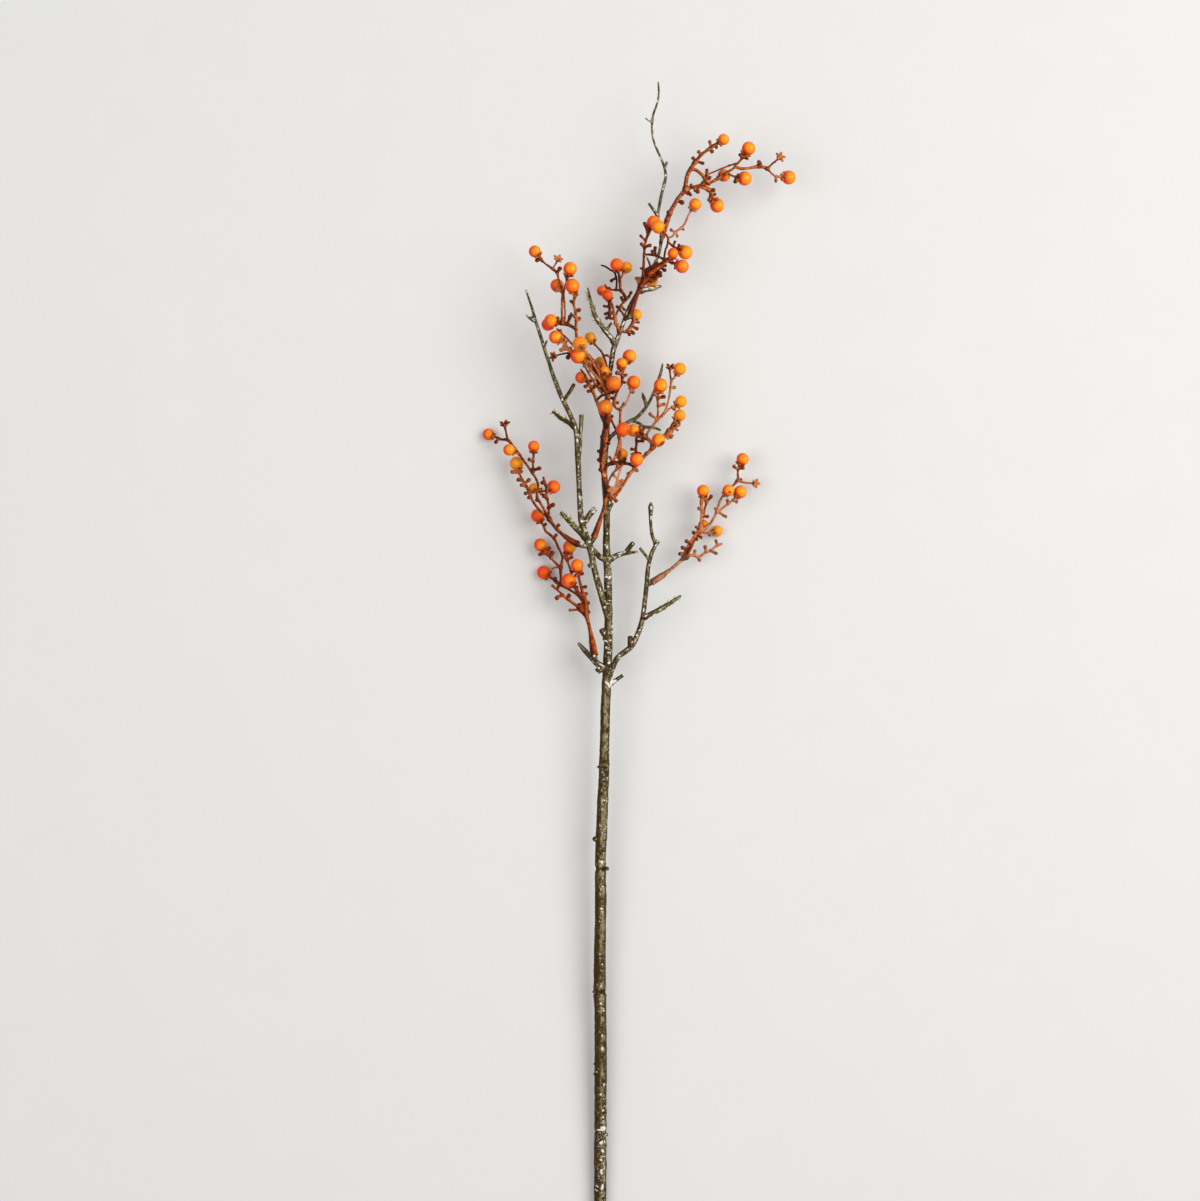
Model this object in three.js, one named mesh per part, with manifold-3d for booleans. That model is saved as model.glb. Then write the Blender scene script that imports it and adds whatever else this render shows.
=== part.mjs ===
import * as THREE from "three";
import { mergeVertices } from "three/addons/utils/BufferGeometryUtils.js";
import Module from "manifold-3d";

// Hypericum berry stem, cut and laid down on a flat surface.
// Millimetres, +Z up, the stem runs along +Y from its cut butt to its tip.
// The origin is on the surface, under the middle of the stem's outline.

// ---- driving dimensions -----------------------------------------------------
const CLEARANCE = 0.3;        // gap between one piece and the piece it is seated on
const STEM_SIDES = 8;         // facets round the woody stem and its branches
const TWIG_SIDES = 6;         // facets round thin woody twigs
const STALK_SIDES = 5;        // facets round a berry stalk
const SLEEVE_SIDES = 7;       // facets round the thick foot of a spray
const BERRY_FACETS = [8, 5];  // facets round and over a berry
const THICK_LIMB = 2.4;       // a woody limb at least this thick (radius) gets STEM_SIDES
const FINISHES = {
  wood: { color: 0x6f644a, roughness: 0.85, metalness: 0 },
  stalk: { color: 0x9c4a26, roughness: 0.6, metalness: 0 },
  berry: { color: 0xee7a1a, roughness: 0.35, metalness: 0 },
};

// Every limb is a row of stations [x, y, z, radius] along its centre line. The first
// limb of a branch starts inside the limb it grows from, and a sleeve starts just past
// the end of its peg; the other limbs start on the centre line of one of the same piece.
const PIECES = {
  main_stem: {
    finish: "wood",
    limbs: {
      stem: [[-34.5, -515.3, 5.43, 5.43], [-34.1, -355.1, 13.5, 5.42], [-35.0, -302.4, 16.1, 5.51], [-34.0, -219.0, 20.4, 5.05], [-34.4, -191.0, 21.8, 4.60], [-31.0, -98.8, 26.5, 4.68], [-27.1, 24.6, 33.0, 3.60], [-27.4, 60.6, 34.8, 3.51], [-28.8, 92.0, 36.0, 3.32], [-29.1, 136.9, 37.5, 2.69], [-30.8, 163.9, 38.4, 2.69], [-28.4, 208.7, 39.9, 2.51], [-28.1, 235.6, 40.6, 2.33], [-27.0, 249.1, 41.0, 2.24], [-22.1, 278.6, 41.8, 2.33], [-5.9, 319.8, 42.7, 1.61], [-1.4, 327.0, 42.9, 1.61], [3.0, 332.4, 43.0, 1.52], [7.5, 340.4, 43.2, 1.44], [17.8, 361.9, 43.8, 1.35], [19.6, 370.0, 44.0, 1.35], [20.1, 378.0, 44.4, 1.35], [19.2, 386.9, 44.8, 1.34], [16.9, 396.8, 45.3, 1.26], [24.2, 431.6, 47.0, 1.25], [22.7, 440.5, 47.3, 1.08], [12.8, 465.5, 48.2, 0.99], [11.9, 476.2, 48.6, 0.99], [12.8, 486.0, 49.0, 0.99], [17.6, 502.1, 49.5, 0.85], [17.3, 515.5, 50.0, 0.54]],
      right_low_stub: [[-29.0, -23.9, 30.3, 1.71], [-26.5, -24.0, 30.3, 1.71], [-14.4, -15.9, 30.3, 1.53]],
      left_low_twig: [[-28.3, -9.7, 31.0, 1.98], [-31.0, -9.6, 31.0, 1.98], [-34.6, -7.3, 30.5, 2.07], [-53.1, 12.0, 27.1, 1.08]],
      left_low_nub: [[-33.6, -8.0, 30.6, 1.71], [-37.3, -12.7, 30.7, 1.53]],
      left_stub: [[-27.3, 14.7, 32.4, 2.61], [-33.2, 25.7, 34.9, 2.70]],
      mid_right_twig: [[-28.5, 87.5, 35.8, 2.07], [-16.7, 93.1, 34.2, 1.80], [-1.8, 95.2, 32.2, 0.81]],
      mid_right_stub: [[-11.3, 94.1, 33.4, 1.44], [-5.0, 103.3, 37.8, 1.62]],
      upper_knob: [[-28.9, 130.6, 37.3, 2.07], [-23.4, 139.2, 36.1, 1.53]],
      right_bough: [[-29.4, 193.5, 39.4, 1.89], [-23.9, 199.8, 39.0, 1.80], [-13.1, 209.2, 38.4, 1.71], [-2.3, 215.5, 37.8, 1.53], [7.6, 226.8, 37.0, 1.35], [14.8, 241.2, 36.2, 1.35], [20.2, 257.4, 35.4, 1.17], [21.5, 263.7, 35.1, 0.72]],
      right_bough_twig: [[6.8, 225.8, 37.1, 1.17], [4.3, 234.3, 39.8, 1.53], [3.3, 237.6, 40.9, 0.72]],
      right_bough_side: [[-6.8, 213.3, 38.0, 1.08], [-0.5, 211.1, 37.1, 1.17], [5.8, 207.5, 36.0, 1.17], [13.0, 207.1, 35.0, 1.08], [19.3, 204.9, 34.1, 0.90]],
      left_fork: [[-21.1, 281.4, 41.9, 2.06], [-37.8, 304.4, 45.0, 1.88], [-40.9, 311.6, 45.8, 1.70], [-45.4, 330.7, 47.9, 0.81]],
      left_fork_twig: [[-29.8, 293.1, 43.5, 1.08], [-24.8, 300.1, 43.0, 0.90]],
      leader_stub: [[0.7, 329.6, 42.9, 1.26], [1.7, 328.8, 42.9, 1.26], [6.7, 330.7, 41.0, 1.53], [12.1, 331.5, 39.0, 1.44], [19.3, 333.8, 36.2, 0.81]],
      leader_v: [[11.5, 348.3, 43.4, 0.99], [7.4, 360.1, 38.2, 0.72]],
      leader_twig: [[17.0, 396.3, 45.3, 1.08], [9.3, 406.8, 48.9, 0.99]],
      leader_bud: [[23.0, 438.7, 47.3, 0.81], [25.4, 444.4, 48.9, 1.16]],
      leader_tip_twig: [[12.2, 479.3, 48.7, 0.81], [6.5, 483.0, 51.8, 0.81]],
      peg_upper: [[-12.4, 304.6, 42.4, 2.29], [-8.1, 306.3, 46.9, 2.29], [-7.4, 308.5, 47.1, 2.29]],
      peg_top_right: [[19.7, 371.8, 44.1, 1.79], [20.2, 374.3, 48.3, 1.79], [20.8, 376.5, 48.5, 1.79]],
      peg_lower_left: [[-39.2, -3.2, 29.7, 2.23], [-39.3, -0.2, 37.3, 2.23], [-39.7, 1.9, 36.5, 2.23]],
    },
  },
  left_branch: {
    finish: "wood",
    seatedOn: ["main_stem"],
    limbs: {
      bough: [[-27.2, 37.2, 33.7, 2.34], [-27.9, 37.2, 35.1, 2.34], [-35.1, 62.4, 39.2, 2.60], [-40.5, 83.0, 42.3, 2.42], [-43.6, 98.7, 44.5, 2.87], [-49.4, 115.2, 46.4, 2.78], [-51.4, 123.3, 47.1, 2.51], [-55.2, 196.6, 51.7, 2.24], [-57.2, 207.3, 52.3, 2.15], [-70.0, 235.4, 54.0, 1.79], [-77.1, 254.2, 54.9, 1.70], [-100.8, 328.6, 58.1, 0.71]],
      link: [[-28.5, 87.1, 35.8, 2.07], [-34.2, 90.2, 39.2, 2.24], [-43.6, 98.6, 44.5, 2.33]],
      needle_stub: [[-46.5, 106.5, 45.4, 2.33], [-69.1, 129.9, 54.9, 1.43]],
      cut_stub: [[-50.7, 120.6, 46.8, 1.79], [-39.3, 133.9, 43.1, 1.97]],
      low_nub: [[-40.8, 84.8, 42.6, 1.79], [-45.2, 82.1, 43.0, 1.70]],
      needle_twig: [[-56.9, 205.6, 52.2, 1.97], [-63.7, 211.4, 50.4, 2.06], [-76.8, 220.5, 47.1, 0.99]],
      tall_stub: [[-54.3, 175.2, 50.4, 1.43], [-52.7, 187.7, 49.1, 1.52], [-51.4, 217.9, 46.0, 1.70]],
      spur_stub: [[-67.1, 229.5, 53.6, 1.16], [-58.3, 244.2, 57.9, 1.52]],
      bud_a: [[-84.8, 277.8, 56.1, 0.98], [-82.2, 283.4, 59.7, 0.89]],
      bud_b: [[-92.4, 302.1, 57.1, 1.25], [-93.2, 301.9, 57.1, 1.25], [-99.4, 306.1, 55.1, 0.98]],
      peg_centre: [[-44.8, 102.0, 44.9, 2.22], [-41.1, 105.6, 46.6, 2.22], [-40.3, 107.8, 46.9, 2.22]],
      peg_left: [[-44.1, 100.1, 44.6, 2.15], [-51.6, 100.7, 43.8, 2.15], [-53.7, 101.7, 43.5, 2.15]],
    },
  },
  right_branch: {
    finish: "wood",
    seatedOn: ["main_stem"],
    limbs: {
      bough: [[-28.7, -17.6, 30.6, 1.80], [-26.1, -17.7, 30.7, 1.80], [-20.1, -1.5, 31.7, 2.43], [-6.3, 10.7, 32.8, 2.34], [-2.7, 17.0, 33.3, 2.34], [3.1, 33.6, 34.4, 2.16], [9.4, 85.7, 37.8, 1.89], [14.8, 101.9, 39.0, 1.71], [12.3, 109.1, 39.6, 1.44], [11.0, 117.1, 40.2, 1.35], [10.8, 135.5, 41.6, 2.33], [10.9, 138.8, 41.9, 1.17]],
      cut_stub: [[-6.8, 10.3, 32.8, 2.07], [-7.7, 18.8, 36.8, 2.25]],
      needle_twig: [[3.4, 35.5, 34.5, 1.80], [23.0, 45.8, 30.3, 1.71], [37.0, 55.2, 27.1, 0.99]],
      fork_stub: [[9.9, 87.5, 37.9, 1.26], [1.2, 98.2, 43.8, 1.35]],
      knob: [[14.8, 101.9, 39.0, 1.62], [17.5, 105.0, 38.1, 1.53]],
      peg_right: [[7.0, 64.8, 36.4, 2.16], [11.4, 67.6, 36.0, 2.16]],
    },
  },
  spray_upper: {
    finish: "stalk",
    limbs: {
      sleeve: [[-7.3, 308.8, 47.1, 2.87], [1.2, 332.8, 49.1, 2.06]],
      a1: [[0.9, 332.1, 49.0, 1.79], [3.2, 339.0, 50.1, 1.43], [6.3, 373.6, 54.7, 1.07], [10.6, 383.8, 56.1, 1.34]],
      a2: [[1.2, 332.8, 49.1, 1.97], [10.6, 343.9, 51.1, 2.15], [25.3, 355.7, 55.1, 1.43], [33.2, 352.3, 57.7, 1.07]],
      a3: [[4.8, 361.2, 53.1, 0.98], [16.4, 359.8, 54.1, 1.07], [25.3, 355.7, 55.1, 1.43]],
      a4: [[23.0, 356.6, 54.8, 0.98], [22.6, 355.7, 54.8, 0.98], [26.1, 374.8, 61.8, 1.07], [21.3, 380.9, 65.5, 1.07]],
      a5: [[25.9, 375.1, 62.0, 0.98], [30.5, 377.2, 61.7, 0.98], [32.5, 380.6, 61.4, 0.98], [36.8, 383.3, 61.1, 1.16], [40.8, 387.8, 60.7, 1.07], [47.2, 400.6, 59.9, 0.85]],
      a6: [[25.8, 372.2, 60.8, 0.98], [30.1, 368.4, 58.5, 1.07], [36.2, 365.5, 55.8, 1.07]],
      a7: [[25.5, 355.6, 55.1, 1.16], [29.1, 355.3, 56.5, 1.07], [29.9, 359.2, 58.1, 1.07]],
      a8: [[15.7, 348.0, 52.3, 1.25], [17.7, 345.3, 46.9, 1.17], [17.4, 342.7, 42.7, 1.08], [13.0, 339.6, 34.5, 1.08]],
      a9: [[3.3, 339.5, 50.2, 1.16], [-0.1, 341.1, 43.1, 1.08], [-2.5, 341.0, 38.3, 1.08], [-2.1, 340.1, 36.1, 1.08], [1.6, 338.9, 28.1, 1.08]],
    },
    grownBerries: [[30.5, 361.8, 59.2, 4.73], [11.5, 338.6, 31.6, 5.67], [2.8, 338.6, 25.7, 4.41]],
  },
  spray_top_right: {
    finish: "stalk",
    limbs: {
      sleeve: [[20.9, 376.8, 48.6, 2.24], [24.7, 390.1, 50.0, 2.60], [29.8, 402.5, 51.4, 1.88], [42.3, 420.2, 53.6, 1.79]],
      t1: [[41.8, 419.4, 53.5, 1.61], [43.6, 432.5, 56.1, 1.70], [49.4, 442.1, 58.1, 1.70], [55.6, 449.6, 59.6, 1.25], [71.0, 460.5, 61.8, 0.98]],
      t2: [[46.4, 437.5, 57.2, 1.25], [51.6, 436.0, 56.3, 1.25], [56.6, 432.1, 55.2, 1.25], [62.9, 424.2, 53.4, 1.25]],
      t3: [[42.2, 420.0, 53.6, 1.52], [58.4, 423.4, 52.7, 1.34], [64.7, 425.8, 52.5, 1.34], [76.3, 432.4, 52.3, 1.43], [86.2, 439.5, 52.5, 1.16], [94.7, 450.7, 53.6, 1.07]],
      t4: [[58.6, 429.2, 54.5, 0.98], [62.4, 432.8, 54.3, 0.76], [81.2, 440.8, 53.2, 0.89], [88.9, 443.0, 52.8, 0.89]],
      t5: [[86.4, 439.9, 52.5, 1.34], [90.7, 438.3, 51.7, 1.25], [97.9, 438.6, 50.3, 1.16], [108.3, 440.7, 48.2, 1.70], [115.5, 438.5, 46.8, 1.52]],
      t5a: [[115.5, 438.5, 46.8, 1.17], [123.0, 445.5, 48.2, 0.90], [126.0, 448.5, 48.7, 1.25], [127.8, 449.6, 49.4, 2.29]],
      t5b: [[115.5, 438.5, 46.8, 1.17], [118.7, 434.9, 44.8, 0.90], [122.8, 432.2, 42.7, 1.08], [128.7, 431.9, 40.3, 1.08]],
      t6: [[71.0, 429.3, 52.3, 1.07], [74.6, 431.6, 46.9, 1.07]],
      t7: [[79.2, 434.5, 52.3, 0.89], [84.0, 431.7, 50.5, 0.90], [88.7, 430.9, 48.9, 0.90]],
      t8: [[54.2, 422.5, 52.9, 1.34], [62.1, 419.7, 49.2, 2.06], [64.4, 417.4, 47.7, 1.70], [64.9, 414.2, 46.2, 1.34], [67.0, 411.0, 44.5, 1.34]],
    },
    grownBerries: [[76.4, 432.7, 44.3, 5.56]],
  },
  spray_small: {
    finish: "stalk",
    seatedOn: ["main_stem"],
    limbs: {
      s0: [[-16.2, 293.9, 42.2, 1.53], [-13.5, 293.3, 37.1, 1.53], [-10.4, 293.5, 36.0, 1.53], [-7.2, 297.5, 34.3, 1.62], [-3.1, 306.2, 30.9, 1.62]],
    },
    grownBerries: [[-2.0, 308.7, 30.0, 4.95]],
  },
  spray_upper_middle: {
    finish: "stalk",
    seatedOn: ["main_stem"],
    limbs: {
      f0: [[-16.9, 292.2, 42.1, 1.79], [-17.8, 292.2, 46.5, 1.79], [-21.6, 305.7, 47.1, 1.25]],
      f1: [[-21.6, 305.7, 47.1, 1.08], [-24.1, 317.4, 52.2, 0.98], [-25.9, 320.6, 53.7, 0.98]],
      f1b: [[-21.4, 304.5, 47.0, 0.99], [-25.9, 304.7, 48.4, 1.16], [-27.1, 320.1, 54.0, 1.25]],
      f2: [[-21.6, 305.7, 47.1, 1.08], [-11.3, 322.2, 41.6, 1.26]],
      f3: [[-11.3, 322.2, 41.6, 1.08], [-9.1, 323.6, 40.9, 0.90], [-7.5, 326.3, 40.1, 0.90]],
      f4: [[-11.3, 322.2, 41.6, 1.08], [-16.2, 330.2, 41.6, 1.17], [-18.5, 346.9, 41.8, 1.08]],
      f5: [[-15.9, 329.8, 41.6, 0.99], [-24.8, 330.3, 43.9, 0.90], [-27.5, 331.4, 44.7, 0.90], [-30.3, 330.2, 45.5, 0.90]],
      f6: [[-20.5, 330.0, 42.8, 0.90], [-19.7, 336.1, 40.7, 0.90], [-20.4, 342.6, 38.4, 0.90], [-22.1, 346.5, 36.9, 0.85], [-30.1, 351.9, 33.5, 0.81], [-33.7, 353.2, 32.2, 0.81]],
      f7: [[-17.0, 338.7, 41.7, 0.90], [-13.0, 346.9, 35.9, 0.90]],
    },
    grownBerries: [[-32.8, 329.2, 46.2, 4.66]],
  },
  spray_upper_left: {
    finish: "stalk",
    seatedOn: ["main_stem"],
    limbs: {
      g0: [[-28.1, 234.3, 40.6, 2.06], [-27.2, 234.0, 46.2, 2.06], [-37.3, 256.0, 54.2, 2.06], [-51.6, 275.8, 60.7, 1.70], [-54.7, 281.9, 62.0, 1.52], [-55.8, 289.0, 63.1, 1.34], [-56.2, 304.9, 65.6, 1.16], [-58.3, 316.3, 68.0, 1.16], [-57.4, 321.6, 69.4, 1.16], [-58.1, 325.4, 70.5, 1.16]],
      g1: [[-55.9, 293.4, 63.8, 1.34], [-60.1, 296.3, 63.7, 1.52], [-65.0, 298.2, 63.7, 1.43], [-72.5, 299.5, 64.3, 1.34]],
      g2: [[-68.6, 298.6, 64.0, 1.34], [-68.1, 328.3, 62.5, 1.07], [-73.0, 344.0, 61.6, 1.16], [-83.8, 352.5, 60.8, 0.76], [-89.4, 359.1, 60.3, 0.89]],
      g3: [[-77.1, 347.8, 61.3, 0.80], [-72.2, 356.0, 63.0, 1.07], [-71.2, 358.0, 63.3, 2.21]],
      g4: [[-66.1, 298.3, 63.8, 0.80], [-66.9, 325.6, 63.8, 0.80], [-62.9, 341.4, 65.8, 1.07]],
      g3b: [[-68.2, 325.6, 62.6, 0.80], [-70.4, 327.6, 59.6, 0.80], [-72.0, 331.1, 55.6, 0.80]],
      g6b: [[-69.4, 298.8, 64.0, 0.98], [-78.9, 298.4, 55.5, 0.89]],
      g5: [[-49.6, 273.2, 60.0, 1.07], [-55.6, 276.7, 59.8, 1.07], [-73.1, 294.2, 57.7, 0.89]],
      g6: [[-47.9, 271.0, 59.3, 1.25], [-61.0, 274.0, 60.5, 1.34], [-66.3, 281.1, 61.3, 1.16], [-69.5, 283.3, 61.6, 1.16]],
      g7: [[-60.0, 273.7, 60.4, 0.89], [-75.7, 270.1, 56.3, 0.89], [-77.9, 269.9, 56.5, 2.22]],
      g8: [[-32.9, 247.6, 51.1, 0.98], [-36.9, 256.0, 63.5, 0.98], [-41.0, 263.1, 72.5, 1.07], [-44.0, 267.7, 80.5, 1.07], [-46.6, 270.8, 85.0, 1.07], [-49.2, 273.7, 87.4, 1.15], [-51.0, 277.1, 79.9, 1.15]],
      g9: [[-42.2, 263.5, 56.9, 1.16], [-51.1, 268.2, 62.2, 1.16]],
      g11: [[-32.9, 247.6, 51.1, 0.98], [-31.8, 254.2, 48.1, 0.99]],
      g12: [[-35.6, 252.9, 53.0, 0.98], [-34.7, 264.5, 38.1, 0.99]],
      g13: [[-30.1, 241.5, 48.9, 0.99], [-28.6, 261.2, 48.9, 0.90], [-33.3, 274.2, 48.7, 0.99], [-40.7, 282.8, 48.0, 0.90]],
      g13b: [[-31.6, 270.6, 48.8, 1.07], [-27.9, 271.2, 48.9, 1.07], [-26.1, 269.3, 49.0, 0.99]],
      g15: [[-33.8, 249.4, 51.8, 1.07], [-37.8, 248.7, 48.2, 0.90], [-40.9, 249.7, 45.3, 0.81]],
    },
    grownBerries: [[-73.1, 333.4, 53.0, 5.91], [-81.3, 298.6, 53.2, 5.64], [-54.3, 269.9, 64.1, 6.87], [-31.8, 257.3, 46.8, 5.56], [-34.6, 266.1, 36.0, 4.49]],
  },
  spray_centre: {
    finish: "stalk",
    limbs: {
      sleeve: [[-40.2, 108.1, 46.9, 2.78], [-32.1, 131.3, 49.6, 1.70], [-28.4, 149.2, 51.3, 1.97]],
      e1: [[-28.4, 149.2, 51.3, 1.97], [-31.1, 162.6, 51.7, 1.97], [-32.4, 177.8, 52.5, 2.51], [-30.3, 201.8, 55.4, 2.33], [-28.4, 213.8, 58.1, 1.97], [-29.0, 217.4, 59.3, 1.97]],
      e2: [[-28.9, 151.7, 51.4, 1.34], [-24.3, 163.5, 50.3, 0.98], [-21.2, 167.6, 49.8, 0.99], [-14.5, 173.4, 49.0, 1.16]],
      e3: [[-31.9, 169.6, 52.0, 1.61], [-24.8, 174.3, 50.1, 1.25], [-20.3, 174.9, 49.2, 1.25], [-11.3, 174.4, 47.5, 1.08], [-6.9, 173.2, 46.7, 1.17], [-3.7, 170.8, 46.1, 1.08]],
      e4: [[-28.9, 146.3, 51.1, 1.70], [-23.0, 144.7, 50.9, 1.70], [-18.5, 148.3, 50.7, 1.43], [-8.2, 164.9, 49.9, 1.52], [0.7, 176.1, 49.2, 1.52], [10.2, 186.0, 48.3, 1.61], [24.6, 200.5, 44.3, 1.43], [33.3, 213.6, 39.9, 1.17]],
      e4b: [[21.7, 197.9, 45.2, 0.90], [27.3, 201.8, 43.3, 0.90], [31.8, 207.8, 41.3, 0.90], [34.3, 212.8, 39.8, 0.90]],
      e40: [[14.2, 190.0, 47.5, 1.16], [15.7, 192.2, 51.5, 1.16]],
      e5: [[-24.9, 145.3, 51.0, 1.25], [-21.2, 151.9, 50.5, 1.07], [-14.5, 173.4, 49.0, 1.07]],
      e6: [[12.6, 188.5, 47.8, 1.34], [10.6, 193.6, 48.1, 1.43], [7.5, 196.5, 48.1, 1.25], [3.0, 197.6, 47.7, 1.16], [-1.1, 200.0, 46.4, 1.08]],
      e7: [[6.1, 196.8, 48.0, 1.16], [7.9, 201.7, 47.4, 1.08], [16.9, 213.9, 45.7, 1.26], [24.5, 221.1, 44.4, 1.17], [33.4, 227.1, 42.9, 0.90]],
      e8: [[16.7, 213.6, 45.8, 1.08], [16.9, 235.7, 49.4, 1.25], [17.6, 238.1, 49.8, 1.25]],
      e9: [[22.2, 218.7, 44.8, 0.99], [25.0, 224.7, 44.8, 0.99], [26.8, 231.4, 44.7, 0.99], [29.5, 248.9, 44.5, 1.17], [33.7, 254.2, 44.6, 0.99]],
      e9b: [[29.3, 247.9, 44.5, 0.90], [28.2, 254.3, 43.0, 0.90], [28.2, 260.1, 42.3, 0.99], [28.5, 262.3, 42.5, 2.08]],
      e10: [[-0.1, 199.0, 46.9, 1.08], [-1.9, 197.9, 46.9, 1.08], [-2.4, 183.2, 54.1, 1.07]],
      e11: [[-23.4, 174.5, 49.8, 1.16], [-19.0, 186.9, 48.0, 1.16], [-17.6, 194.1, 47.0, 1.08], [-18.1, 198.6, 46.5, 1.08], [-16.3, 223.3, 44.6, 1.35]],
      e11b: [[-16.3, 174.8, 48.4, 0.99], [-16.9, 196.8, 46.7, 0.99], [-17.9, 196.7, 46.7, 0.99]],
      e11c: [[-18.1, 198.6, 46.5, 0.99], [-26.1, 214.7, 58.1, 1.16], [-28.4, 213.8, 58.1, 1.16]],
      e2p: [[-18.0, 198.1, 46.5, 0.99], [-17.2, 198.1, 46.5, 0.99], [-15.7, 201.1, 51.4, 0.99]],
      e4p: [[-15.8, 174.8, 48.3, 1.08], [-15.4, 180.0, 43.2, 1.08]],
      e12: [[-16.3, 223.3, 44.6, 1.26], [-10.9, 229.6, 45.1, 0.90], [-6.5, 241.0, 45.8, 0.99]],
      e13: [[-16.3, 222.4, 44.7, 1.17], [-19.8, 223.8, 45.0, 1.08], [-22.1, 226.9, 45.3, 1.17], [-21.4, 232.7, 45.9, 1.34], [-19.4, 238.5, 46.5, 1.17], [-14.9, 247.8, 47.5, 1.16], [-15.6, 260.9, 49.3, 1.34]],
      e14: [[-15.1, 252.3, 48.1, 0.99], [-10.4, 265.1, 42.2, 0.90]],
      e16: [[-29.0, 210.4, 57.2, 1.43], [-30.6, 210.7, 57.2, 1.43], [-34.4, 218.8, 55.4, 1.25], [-41.8, 240.0, 51.4, 1.43], [-52.1, 258.6, 47.2, 0.81]],
      e10p: [[-46.5, 248.1, 49.6, 1.16], [-49.5, 250.1, 47.0, 1.16]],
      e17: [[-38.0, 230.5, 53.3, 1.25], [-33.3, 234.7, 55.2, 1.16], [-23.0, 237.6, 58.5, 1.16], [-22.9, 238.9, 58.9, 1.16]],
    },
    grownBerries: [[-15.2, 182.5, 40.9, 5.56], [-15.4, 263.8, 49.7, 4.93], [-51.7, 251.5, 45.1, 5.29]],
  },
  spray_left: {
    finish: "stalk",
    limbs: {
      sleeve: [[-53.9, 101.8, 43.4, 2.69], [-59.3, 104.5, 42.6, 2.69], [-69.2, 111.7, 41.0, 1.71], [-73.2, 115.3, 40.2, 1.53], [-80.4, 124.8, 38.6, 1.71]],
      c1: [[-80.4, 124.8, 38.6, 1.35], [-91.3, 144.2, 35.2, 1.17], [-90.4, 155.9, 33.2, 0.99], [-92.7, 161.8, 31.9, 0.99], [-99.9, 172.7, 28.4, 0.99], [-109.0, 185.5, 23.0, 0.99], [-118.2, 196.6, 16.4, 1.26], [-123.7, 197.1, 13.3, 0.99], [-131.2, 200.2, 8.2, 0.99]],
      c1b: [[-118.2, 196.6, 16.4, 0.99], [-120.9, 210.2, 19.1, 1.08], [-121.2, 212.4, 19.3, 2.24]],
      c2p: [[-107.4, 183.2, 24.0, 0.90], [-112.3, 185.2, 27.3, 0.99]],
      c2: [[-81.1, 126.0, 38.4, 1.26], [-86.9, 130.7, 35.6, 1.26], [-95.8, 142.1, 30.1, 1.26], [-108.5, 169.7, 18.1, 1.26]],
      c5p: [[-98.4, 148.9, 27.3, 1.17], [-96.0, 150.9, 25.6, 1.17]],
      c3: [[-80.7, 125.3, 38.5, 1.17], [-81.1, 138.7, 39.1, 1.17], [-85.4, 162.0, 39.9, 1.08]],
      c6p: [[-82.8, 149.9, 39.6, 0.99], [-81.3, 150.8, 38.8, 0.99]],
      clink: [[-82.8, 149.9, 39.6, 0.90], [-90.7, 149.2, 34.4, 0.90]],
      c4: [[-95.0, 165.4, 30.9, 1.17], [-94.4, 184.7, 32.5, 1.08]],
    },
    grownBerries: [[-94.1, 152.6, 24.2, 4.78]],
  },
  spray_lower_left: {
    finish: "stalk",
    limbs: {
      sleeve: [[-39.8, 2.2, 36.4, 2.79], [-43.6, 24.6, 28.4, 1.62], [-47.9, 40.8, 22.4, 2.16]],
      b1: [[-47.9, 40.8, 22.4, 1.98], [-47.3, 47.5, 24.0, 1.80], [-51.9, 64.7, 29.5, 1.26], [-54.4, 77.6, 35.0, 1.17]],
      b2: [[-47.6, 44.3, 23.3, 1.62], [-50.9, 51.6, 20.9, 1.44], [-54.5, 56.1, 19.2, 1.35], [-74.4, 68.3, 11.2, 1.45], [-81.0, 73.5, 8.1, 1.18]],
      b3: [[-70.3, 65.7, 13.0, 1.27], [-70.3, 78.7, 14.4, 1.45], [-68.7, 90.4, 15.6, 1.26], [-74.4, 104.4, 16.1, 1.17], [-77.1, 108.5, 16.1, 1.26], [-83.9, 114.4, 15.6, 1.26], [-87.9, 122.8, 14.7, 1.08]],
      b3a: [[-70.0, 80.9, 14.7, 1.36], [-85.0, 96.8, 12.4, 1.36]],
      b3b: [[-70.6, 81.3, 14.6, 0.99], [-77.7, 80.5, 15.0, 1.08]],
      b4: [[-47.8, 41.6, 22.6, 1.98], [-49.1, 41.7, 22.6, 1.98], [-67.6, 55.7, 21.8, 1.35], [-77.7, 65.1, 21.6, 1.26]],
      b4s: [[-52.3, 44.0, 22.4, 1.17], [-61.9, 42.9, 23.9, 1.17]],
      b5: [[-48.9, 54.4, 25.9, 1.35], [-50.6, 53.9, 25.9, 1.35], [-59.0, 64.8, 30.6, 1.35]],
      b6: [[-55.7, 60.6, 28.6, 1.08], [-59.0, 69.6, 26.3, 1.08], [-65.1, 90.4, 25.1, 1.44], [-64.0, 93.9, 25.3, 1.44]],
    },
  },
  spray_right: {
    finish: "stalk",
    limbs: {
      sleeve: [[11.6, 67.8, 35.9, 2.70], [20.7, 73.6, 33.6, 2.88], [29.2, 79.9, 31.3, 1.53], [42.4, 91.2, 27.5, 2.07]],
      d1: [[42.4, 91.2, 27.5, 1.98], [47.4, 102.5, 25.8, 1.89], [56.0, 116.5, 23.6, 1.62]],
      d1a: [[56.0, 116.5, 23.6, 1.62], [57.3, 144.5, 25.0, 1.71]],
      d1a2: [[56.2, 119.2, 23.7, 1.08], [61.2, 140.4, 24.7, 1.44], [59.8, 144.7, 24.9, 1.44]],
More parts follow.
